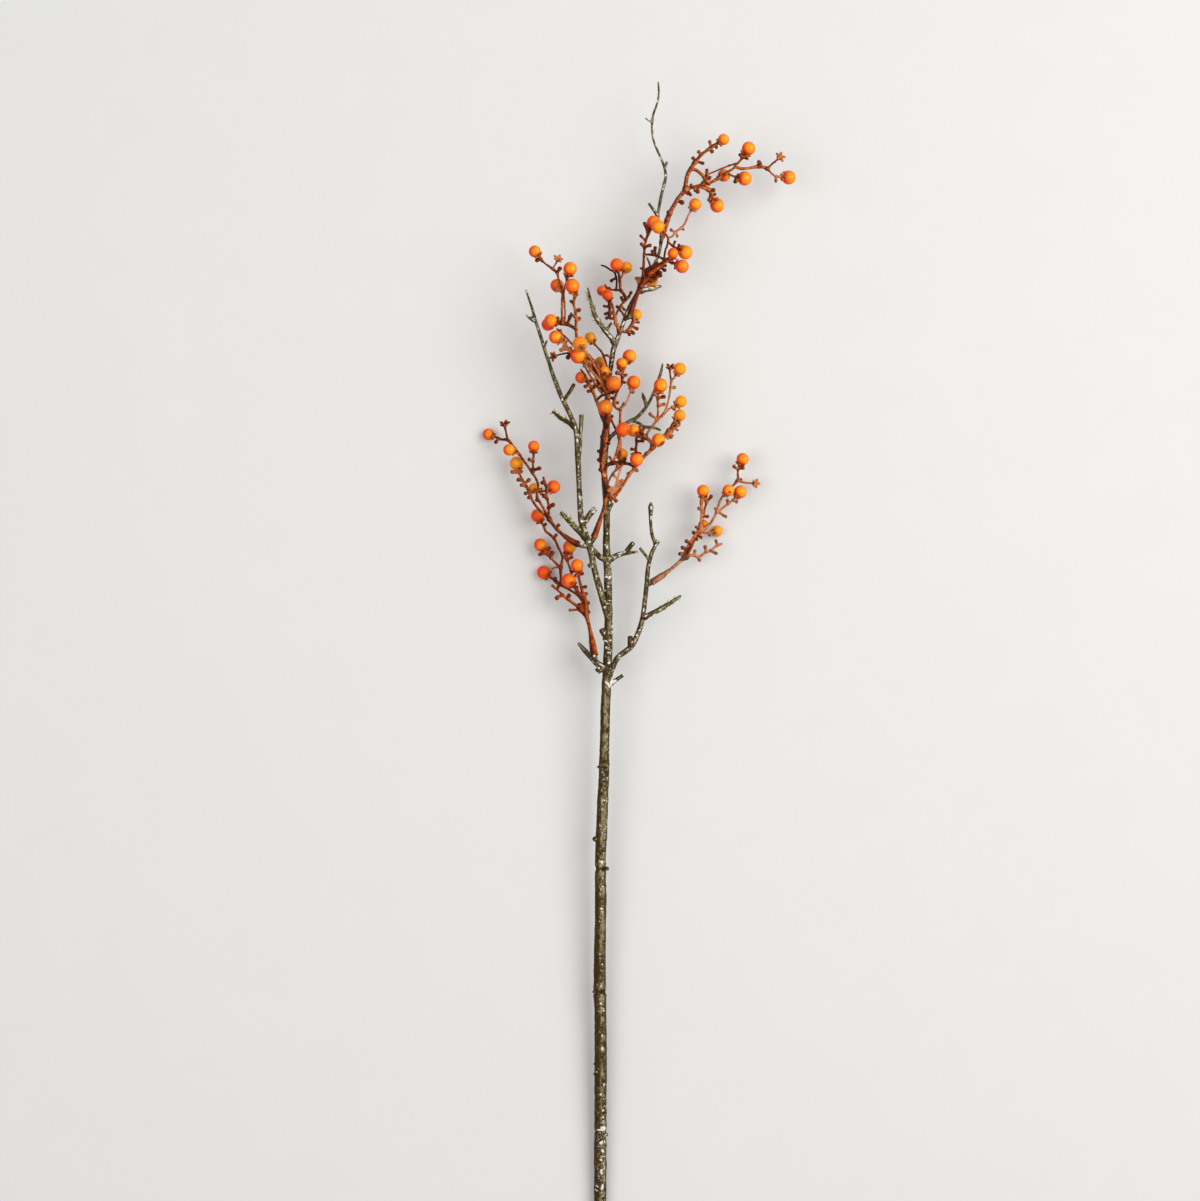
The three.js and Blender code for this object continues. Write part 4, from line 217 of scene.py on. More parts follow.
        "d2": ((0.4, 0.6), [(42.9, 92.3, 27.5, 1.26), (44.2, 91.9, 27.5, 1.26), (49.2, 92.2, 25.6, 1.08), (54.6, 91.0, 23.4, 1.08), (60.1, 94.6, 20.8, 0.99), (65.6, 96.9, 18.5, 1.08), (70.6, 100.8, 16.1, 1.08), (75.0, 102.8, 14.2, 0.99)]),
    },
}

# Side knobs along the stalks: root, tip, radius (mm).
KNOBS = {
    "spray_upper": [(8.3, 378.9, 55.4, 5.2, 388.4, 56.0, 0.98), (6.2, 373.1, 54.7, 1.7, 377.7, 55.6, 0.89), (5.1, 366.9, 53.9, 2.3, 370.6, 54.9, 0.98), (5.3, 367.9, 54.0, 10.1, 369.2, 55.4, 1.16), (14.9, 360.1, 54.0, 14.6, 367.0, 54.9, 0.98), (12.7, 360.5, 53.8, 11.9, 364.2, 55.2, 0.89), (19.0, 350.6, 53.1, 23.4, 347.4, 52.0, 1.07), (14.5, 347.1, 52.0, 19.5, 342.5, 52.1, 1.07), (11.6, 344.7, 51.3, 16.4, 340.6, 52.8, 0.98), (20.4, 351.7, 53.5, 24.0, 351.3, 54.2, 1.07), (32.3, 380.3, 61.4, 28.7, 382.5, 62.8, 0.89), (33.0, 381.0, 61.4, 34.1, 376.7, 60.5, 0.80), (37.8, 384.5, 61.0, 39.9, 382.9, 61.1, 0.89), (30.6, 368.1, 58.3, 32.2, 372.2, 57.8, 0.89), (35.0, 366.1, 56.3, 35.8, 369.6, 56.7, 0.89), (10.7, 344.0, 51.2, 8.3, 348.3, 51.6, 0.98), (4.1, 348.3, 51.4, 1.6, 348.9, 50.2, 0.81), (28.8, 354.2, 56.1, 29.7, 352.5, 55.5, 0.98), (7.4, 337.6, 51.5, 4.6, 341.2, 53.0, 1.00), (10.1, 341.1, 52.0, 7.4, 344.5, 54.0, 0.95), (12.8, 344.3, 52.0, 12.1, 348.4, 54.0, 1.05), (15.5, 346.9, 52.5, 19.3, 344.4, 55.0, 1.00), (11.0, 341.6, 52.0, 15.1, 339.5, 54.0, 1.00), (18.2, 350.5, 53.0, 16.0, 353.7, 55.0, 0.95), (8.3, 338.9, 51.5, 11.7, 336.5, 53.0, 0.95)],
    "spray_top_right": [(50.2, 443.1, 58.3, 48.7, 447.2, 57.9, 1.07), (51.2, 444.2, 58.6, 57.4, 442.2, 59.9, 1.07), (55.0, 448.8, 59.4, 53.3, 452.6, 60.4, 1.07), (62.2, 454.5, 60.6, 65.9, 452.7, 59.8, 1.16), (64.5, 456.1, 60.9, 63.2, 461.1, 62.0, 1.07), (67.1, 458.0, 61.3, 69.4, 456.2, 60.5, 0.98), (43.2, 419.9, 53.6, 46.3, 414.5, 54.1, 1.07), (47.2, 421.0, 53.3, 46.8, 423.6, 52.5, 1.07), (52.6, 422.1, 53.0, 52.6, 417.4, 51.8, 1.25), (54.8, 422.6, 52.9, 56.9, 425.5, 54.1, 1.07), (41.3, 418.8, 53.5, 44.1, 415.8, 52.9, 1.07), (60.1, 430.3, 54.5, 60.6, 436.5, 53.9, 1.16), (108.3, 440.7, 48.2, 107.5, 444.5, 49.8, 1.25), (123.3, 432.2, 42.5, 123.2, 427.7, 43.8, 0.99), (87.4, 430.1, 49.3, 86.6, 426.5, 48.9, 1.16), (62.3, 419.5, 49.0, 67.4, 419.3, 50.5, 1.16), (64.7, 415.0, 46.6, 62.9, 410.3, 46.9, 0.99), (64.8, 414.3, 46.2, 68.4, 415.7, 46.9, 1.08), (27.8, 398.2, 50.9, 25.8, 399.5, 50.3, 1.07), (34.3, 409.6, 52.3, 38.7, 407.4, 53.7, 1.34), (61.8, 425.3, 53.7, 63.8, 430.0, 54.4, 0.98), (92.5, 447.5, 53.2, 90.6, 450.2, 54.8, 1.07), (92.9, 448.0, 53.3, 97.1, 446.7, 54.6, 0.98), (49.4, 421.5, 53.2, 50.4, 418.2, 52.8, 0.98), (58.8, 423.6, 52.7, 57.5, 426.1, 52.5, 0.98), (106.0, 440.2, 48.8, 108.5, 443.3, 50.2, 1.25)],
    "spray_small": [(-5.0, 302.1, 32.5, 0, 301.7, 31.7, 0.99), (-6.7, 298.5, 33.9, -1.4, 295.9, 33.1, 1.08), (-8.6, 295.7, 35.0, -4.7, 291.7, 34.0, 1.08), (-10.3, 293.7, 36.0, -8.1, 290.7, 35.6, 0.99)],
    "spray_upper_middle": [(-26.2, 314.3, 51.9, -31.1, 315.0, 52.3, 0.98), (-25.9, 309.9, 50.3, -30.3, 308.4, 49.1, 1.07), (-25.9, 305.6, 48.7, -29.0, 304.4, 49.4, 1.07), (-25.9, 308.6, 49.8, -23.6, 309.5, 49.5, 0.99), (-17.1, 313.9, 44.4, -19.4, 315.3, 44.1, 0.99), (-13.4, 319.3, 42.6, -15.5, 323.4, 43.7, 1.08), (-17.5, 313.2, 44.7, -13.4, 307.1, 44.8, 0.85), (-20.2, 341.2, 38.9, -24.8, 338.7, 38.6, 0.90), (-19.9, 299.4, 46.8, -21.8, 299.7, 47.0, 0.99), (-8.8, 324.1, 40.8, -6.8, 328.0, 41.5, 0.99), (-15.7, 316.1, 43.7, -12.7, 312.7, 42.6, 0.90)],
    "spray_upper_left": [(-57.4, 321.2, 69.3, -54.9, 324.3, 70.8, 1.07), (-58.3, 316.3, 68.0, -60.8, 318.5, 66.9, 1.07), (-56.6, 308.4, 66.3, -53.1, 310.8, 67.2, 1.16), (-56.2, 303.6, 65.4, -60.2, 307.3, 66.6, 0.98), (-56.1, 300.9, 65.0, -53.1, 303.2, 63.8, 1.16), (-71.0, 298.7, 63.3, -72.7, 303.5, 64.3, 1.07), (-64.0, 297.8, 63.7, -61.9, 304.8, 63.6, 1.16), (-73.1, 344.1, 61.6, -70.3, 348.0, 62.0, 1.16), (-87.3, 356.6, 60.5, -91.5, 355.5, 59.3, 1.07), (-87.1, 356.3, 60.5, -86.4, 354.4, 59.4, 0.80), (-64.1, 337.1, 65.1, -65.6, 342.2, 64.4, 0.98), (-63.0, 276.3, 60.8, -69.4, 274.8, 62.3, 1.16), (-60.2, 273.8, 60.5, -63.2, 268.4, 59.8, 1.34), (-60.6, 273.9, 60.5, -61.0, 277.1, 61.4, 1.07), (-65.0, 278.9, 61.1, -67.2, 277.9, 62.5, 0.98), (-65.9, 280.4, 61.2, -64.5, 282.8, 62.7, 0.89), (-69.3, 290.4, 58.4, -69.8, 293.1, 58.2, 0.98), (-66.0, 287.4, 58.9, -67.1, 284.1, 58.7, 0.80), (-45.3, 267.6, 58.2, -45.4, 266.1, 58.5, 0.98), (-41.4, 262.2, 56.4, -40.4, 266.1, 57.4, 0.98), (-37.5, 256.3, 54.3, -38.2, 260.5, 53.4, 0.98), (-34.2, 250.3, 52.1, -31.5, 252.9, 53.0, 0.98), (-43.6, 265.2, 57.4, -48.5, 262.9, 58.5, 0.98), (-38.9, 258.3, 55.0, -42.7, 257.2, 56.2, 0.98), (-30.5, 242.4, 49.2, -27.2, 245.6, 48.1, 0.99), (-31.7, 245.1, 50.2, -36.0, 242.3, 51.7, 1.07), (-46.0, 268.6, 58.6, -43.6, 269.7, 57.6, 0.89), (-32.8, 244.4, 53.0, -36.1, 243.3, 55.0, 0.90), (-37.3, 250.7, 58.0, -40.4, 249.0, 59.0, 0.95), (-42.4, 257.1, 62.0, -45.2, 255.3, 63.0, 0.90), (-38.7, 245.0, 51.0, -41.6, 243.0, 51.0, 0.95), (-32.7, 252.8, 60.0, -30.0, 254.8, 61.0, 0.90), (-36.4, 259.7, 64.0, -33.6, 261.3, 64.0, 0.90), (-46.9, 263.0, 65.0, -49.1, 260.3, 66.0, 0.90)],
    "spray_centre": [(-32.0, 184.9, 53.1, -36.2, 185.4, 52.9, 1.16), (-32.4, 177.8, 52.5, -36.0, 177.1, 53.0, 1.16), (-31.4, 192.2, 54.0, -26.9, 192.0, 55.3, 1.16), (-31.0, 196.4, 54.5, -33.9, 197.9, 54.3, 0.98), (-31.9, 169.0, 52.0, -34.9, 168.4, 53.4, 0.98), (-23.2, 175.3, 49.8, -26.1, 179.9, 50.1, 0.99), (-13.2, 174.5, 47.8, -12.1, 178.6, 47.5, 0.99), (-22.9, 144.8, 50.9, -20.6, 140.2, 50.6, 1.25), (-25.6, 145.5, 51.0, -24.8, 141.1, 50.3, 1.16), (-8.6, 164.2, 49.9, -9.7, 165.8, 48.9, 0.90), (-4.0, 169.6, 49.6, -1.5, 167.8, 48.8, 1.25), (7.0, 182.8, 48.6, 6.3, 183.4, 49.4, 0.99), (12.4, 188.2, 47.8, 11.0, 190.0, 49.4, 0.99), (24.8, 200.9, 44.2, 28.9, 198.1, 43.5, 1.08), (27.1, 204.2, 43.1, 30.2, 203.7, 42.1, 0.99), (32.4, 208.8, 41.0, 36.1, 209.5, 42.6, 0.99), (-19.3, 157.8, 50.1, -14.9, 159.0, 50.4, 1.07), (-20.5, 153.9, 50.4, -15.4, 153.2, 50.3, 0.98), (-23.6, 164.5, 50.2, -22.1, 164.2, 49.6, 0.81), (-20.6, 168.0, 49.8, -19.1, 173.1, 50.2, 0.81), (4.7, 197.2, 47.9, 3.6, 200.9, 49.0, 1.08), (1.8, 198.2, 47.4, 1.2, 202.1, 47.5, 0.99), (7.2, 196.5, 48.1, 6.8, 199.9, 48.1, 0.99), (29.9, 224.9, 43.5, 32.0, 223.2, 42.5, 1.08), (16.9, 213.9, 45.7, 10.4, 218.9, 47.1, 0.99), (17.3, 225.9, 47.8, 22.7, 227.3, 46.7, 1.16), (17.0, 232.5, 48.9, 22.7, 233.9, 49.0, 1.16), (17.0, 233.9, 49.1, 13.1, 237.6, 50.2, 0.99), (28.6, 242.6, 44.6, 32.4, 242.6, 43.7, 1.17), (-2.1, 194.0, 48.7, 3.7, 194.6, 49.6, 1.07), (-2.6, 186.7, 52.3, -6.6, 187.3, 53.8, 1.07), (-7.1, 239.0, 45.7, -4.8, 238.3, 46.2, 1.17), (-15.6, 254.6, 48.4, -20.0, 255.5, 49.4, 1.16), (-15.0, 250.9, 47.9, -11.5, 253.9, 47.0, 0.90), (-15.4, 246.7, 47.4, -12.2, 246.9, 47.4, 0.90), (-21.4, 232.2, 45.8, -24.3, 233.2, 45.1, 1.17), (-22.0, 227.3, 45.4, -24.8, 227.3, 46.5, 1.08), (-21.7, 230.0, 45.6, -18.8, 228.7, 45.3, 1.08), (-41.4, 239.1, 51.6, -45.4, 238.9, 51.6, 1.07), (-41.8, 239.9, 51.4, -39.1, 243.1, 53.0, 1.07), (-44.5, 244.8, 50.3, -48.1, 243.2, 51.5, 1.07), (-23.0, 237.6, 58.5, -19.6, 238.9, 60.0, 0.98), (-45.1, 245.8, 50.1, -42.9, 248.1, 50.2, 0.98), (-36.7, 226.8, 54.0, -33.7, 227.8, 54.1, 0.89), (-14.2, 225.8, 44.8, -13.1, 228.2, 45.7, 1.17), (-28.4, 213.8, 58.1, -23.9, 216.5, 58.2, 1.16), (-28.5, 213.2, 57.9, -32.0, 214.7, 57.6, 1.07), (-28.5, 149.9, 51.4, -26.6, 152.8, 51.3, 1.25), (-24.3, 146.5, 50.9, -23.4, 149.2, 50.1, 1.16), (-30.3, 201.9, 55.4, -27.7, 201.8, 55.2, 0.89), (2.1, 197.8, 47.5, 2.8, 203.3, 46.0, 0.95), (2.7, 202.6, 46.0, 0.7, 207.1, 45.0, 1.00), (2.7, 202.6, 46.0, 4.8, 206.2, 45.5, 1.05), (23.2, 200.0, 45.0, 25.9, 204.7, 47.0, 0.90), (26.8, 203.2, 44.0, 29.5, 206.8, 46.0, 0.90), (31.3, 205.4, 43.0, 34.6, 208.7, 45.0, 0.90), (24.6, 198.7, 44.0, 26.5, 196.9, 44.0, 0.90), (27.7, 201.4, 44.0, 30.2, 199.3, 44.0, 0.85), (32.2, 205.9, 42.0, 35.0, 204.5, 42.0, 0.85), (30.4, 209.5, 42.0, 32.6, 212.6, 43.0, 0.90), (-24.3, 148.2, 53.0, -26.9, 150.1, 56.0, 1.15), (-22.6, 150.9, 53.0, -25.0, 153.0, 55.0, 0.95), (-19.4, 157.6, 53.0, -16.0, 156.0, 54.0, 0.95), (-19.2, 160.8, 53.0, -21.8, 162.7, 54.0, 0.85)],
    "spray_left": [(-126.0, 198.1, 11.7, -128.7, 194.4, 12.3, 1.08), (-104.1, 159.5, 22.6, -108.7, 160.7, 22.8, 1.08), (-100.7, 154.0, 25.2, -105.6, 155.5, 24.9, 0.99), (-102.6, 157.1, 23.7, -98.8, 160.4, 22.8, 1.08), (-98.4, 148.9, 27.3, -101.9, 148.0, 26.9, 1.08), (-97.0, 145.1, 28.9, -99.2, 144.0, 29.9, 1.08), (-107.7, 167.1, 19.2, -114.0, 168.0, 20.4, 1.17), (-107.7, 167.1, 19.2, -105.2, 167.8, 19.0, 0.99), (-80.9, 134.6, 38.9, -76.6, 137.5, 39.9, 1.44), (-82.1, 143.2, 39.3, -85.1, 145.6, 40.3, 1.35), (-83.9, 156.2, 39.8, -86.9, 157.3, 40.5, 1.08), (-94.9, 168.6, 31.1, -88.9, 170.1, 31.8, 1.26), (-94.8, 176.6, 31.8, -98.5, 178.4, 32.7, 1.17), (-90.9, 143.6, 35.3, -91.7, 141.5, 35.1, 0.99), (-73.6, 115.8, 40.1, -71.9, 119.4, 40.9, 0.90), (-94.9, 167.2, 31.0, -96.5, 169.5, 30.6, 0.99), (-88.6, 149.5, 35.7, -87.2, 147.3, 35.9, 0.90), (-86.7, 149.8, 37.0, -87.6, 152.2, 38.0, 0.90)],
    "spray_lower_left": [(-51.6, 63.3, 29.0, -47.7, 63.9, 29.8, 1.08), (-49.9, 57.5, 26.9, -46.8, 57.5, 26.5, 1.08), (-53.7, 73.2, 33.1, -56.5, 74.3, 34.6, 0.99), (-53.9, 74.1, 33.5, -50.5, 75.9, 34.1, 0.99), (-73.6, 67.8, 11.6, -75.0, 71.8, 12.0, 1.09), (-70.9, 66.1, 12.7, -73.8, 62.2, 11.6, 1.18), (-76.4, 107.5, 16.1, -74.2, 110.9, 16.4, 1.17), (-79.0, 89.8, 13.3, -77.4, 94.7, 12.8, 1.27), (-82.3, 93.4, 12.8, -81.0, 99.2, 13.5, 1.08), (-83.4, 94.5, 12.7, -89.1, 93.2, 12.8, 1.18), (-63.9, 52.8, 21.9, -62.4, 56.3, 23.0, 1.35), (-68.4, 56.5, 21.8, -73.6, 53.4, 22.4, 1.26), (-52.4, 44.1, 22.4, -53.1, 48.0, 23.5, 1.26), (-64.2, 87.6, 25.1, -60.1, 90.4, 24.9, 1.08), (-65.0, 90.0, 25.1, -67.8, 91.0, 25.7, 1.08), (-64.6, 92.6, 25.2, -66.8, 94.8, 26.1, 1.08), (-47.8, 41.7, 22.7, -44.6, 41.2, 23.8, 1.17), (-47.4, 46.1, 23.7, -50.9, 47.5, 23.5, 1.08), (-85.2, 118.0, 15.2, -83.6, 120.7, 16.4, 0.90), (-55.0, 59.6, 28.1, -55.3, 63.8, 29.3, 0.99), (-47.6, 48.9, 24.3, -45.0, 49.4, 25.1, 0.99), (-61.0, 77.7, 25.5, -58.1, 77.7, 27.0, 0.90)],
    "spray_right": [(43.1, 92.9, 27.4, 37.4, 93.6, 28.9, 1.17), (44.8, 97.5, 26.7, 39.5, 99.2, 26.9, 1.17), (47.1, 102.0, 25.9, 43.1, 104.9, 26.2, 1.17), (53.0, 111.8, 24.3, 49.5, 112.6, 23.5, 1.17), (52.4, 110.9, 24.4, 56.6, 108.4, 25.6, 0.99), (56.9, 133.2, 24.5, 54.4, 134.5, 25.9, 1.17), (58.3, 127.4, 24.1, 62.4, 127.3, 24.2, 1.08), (61.2, 140.4, 24.7, 65.4, 145.6, 25.4, 1.17), (80.4, 138.3, 25.6, 80.0, 141.7, 26.4, 0.99), (71.9, 131.6, 26.1, 78.7, 127.5, 27.0, 0.99), (85.0, 142.0, 25.3, 88.6, 140.2, 24.6, 1.08), (90.0, 169.8, 20.0, 86.0, 172.7, 21.0, 1.08), (90.1, 170.3, 20.0, 94.6, 171.1, 20.5, 0.90), (64.8, 113.0, 12.6, 64.3, 110.4, 13.3, 0.90), (50.0, 92.0, 25.2, 50.5, 96.4, 25.2, 1.08), (52.8, 91.4, 24.1, 54.9, 87.7, 24.6, 1.08), (61.0, 95.0, 20.4, 59.8, 100.0, 21.4, 1.08), (65.0, 96.7, 18.8, 70.3, 94.3, 19.3, 1.08), (71.4, 101.2, 15.7, 70.1, 105.5, 16.5, 0.99), (89.8, 159.5, 20.4, 92.6, 160.8, 19.3, 0.99), (70.6, 131.8, 26.1, 69.0, 134.5, 25.4, 0.90), (43.0, 92.5, 27.5, 41.0, 89.0, 27.5, 0.99), (55.8, 116.3, 23.6, 51.9, 117.9, 24.2, 0.99), (45.5, 98.9, 26.4, 46.9, 98.5, 25.9, 0.90), (50.7, 108.1, 24.9, 52.8, 106.6, 25.6, 0.90)],
}

# Finer strands beside the stalks: tone, pink, then (x, y, z, radius) rows (mm).
STRANDS = {
    "spray_upper_left": [(0.62, 0.35, [(-29.3, 237.1, 47.0, 1.20), (-32.8, 244.4, 53.0, 1.15), (-37.3, 250.7, 58.0, 1.15), (-42.4, 257.1, 62.0, 1.10), (-46.9, 263.0, 65.0, 1.10), (-50.4, 267.4, 66.0, 1.20)]), (0.45, 0.15, [(-27.5, 238.8, 49.0, 1.20), (-29.3, 245.7, 55.0, 1.15), (-32.7, 252.8, 60.0, 1.10), (-36.4, 259.7, 64.0, 1.10), (-40.9, 265.9, 69.0, 1.10), (-44.4, 270.3, 71.0, 1.10)]), (0.7, 0.5, [(-32.8, 237.2, 46.0, 1.10), (-38.7, 245.0, 51.0, 1.10), (-43.3, 251.9, 55.0, 1.05), (-46.9, 258.5, 58.0, 1.05), (-49.8, 263.7, 60.0, 1.10)]), (0.3, 0.4, [(-28.8, 240.5, 50.0, 1.10), (-31.4, 247.2, 52.0, 1.10), (-33.0, 252.5, 52.0, 1.10), (-34.2, 258.0, 50.0, 1.00)])],
    "spray_centre": [(0.85, 0.6, [(21.4, 196.2, 44.0, 0.90), (25.5, 199.8, 44.0, 0.95), (29.8, 203.6, 43.0, 0.95), (33.6, 207.2, 42.0, 0.95), (37.0, 211.2, 41.0, 1.00)]), (0.9, 1.0, [(-25.7, 146.0, 52.0, 1.00), (-23.0, 150.5, 53.0, 1.00), (-20.8, 155.0, 53.0, 0.95), (-19.4, 159.9, 53.0, 0.90)]), (0.75, 0.8, [(-24.3, 144.7, 50.0, 1.00), (-20.3, 149.2, 50.0, 0.95), (-16.7, 153.7, 50.0, 0.90), (-14.5, 158.6, 49.0, 0.85)])],
}

# Open calyxes whose berry is gone: centre, direction, radius (mm), tone and pink.
BARE = {
    "spray_top_right": [(127.3, 449.3, 49.2, 0.81, 0.48, 0.34, 2.87, 0.5, 0.25)],
    "spray_upper_left": [(-71.5, 357.5, 63.2, 0.46, 0.88, 0.11, 2.77, 0.55, 0.45), (-77.3, 269.9, 56.4, -0.99, -0.09, 0.10, 2.77, 0.35, 0.1)],
    "spray_centre": [(28.4, 261.7, 42.4, 0.13, 0.99, 0.09, 2.60, 0.2, 0.0)],
    "spray_left": [(-121.1, 211.8, 19.2, -0.15, 0.99, 0.08, 2.80, 0.2, 0.0)],
    "spray_right": [(106.9, 157.3, 15.5, 0.99, 0, 0.10, 2.89, 0.6, 0.5)],
}

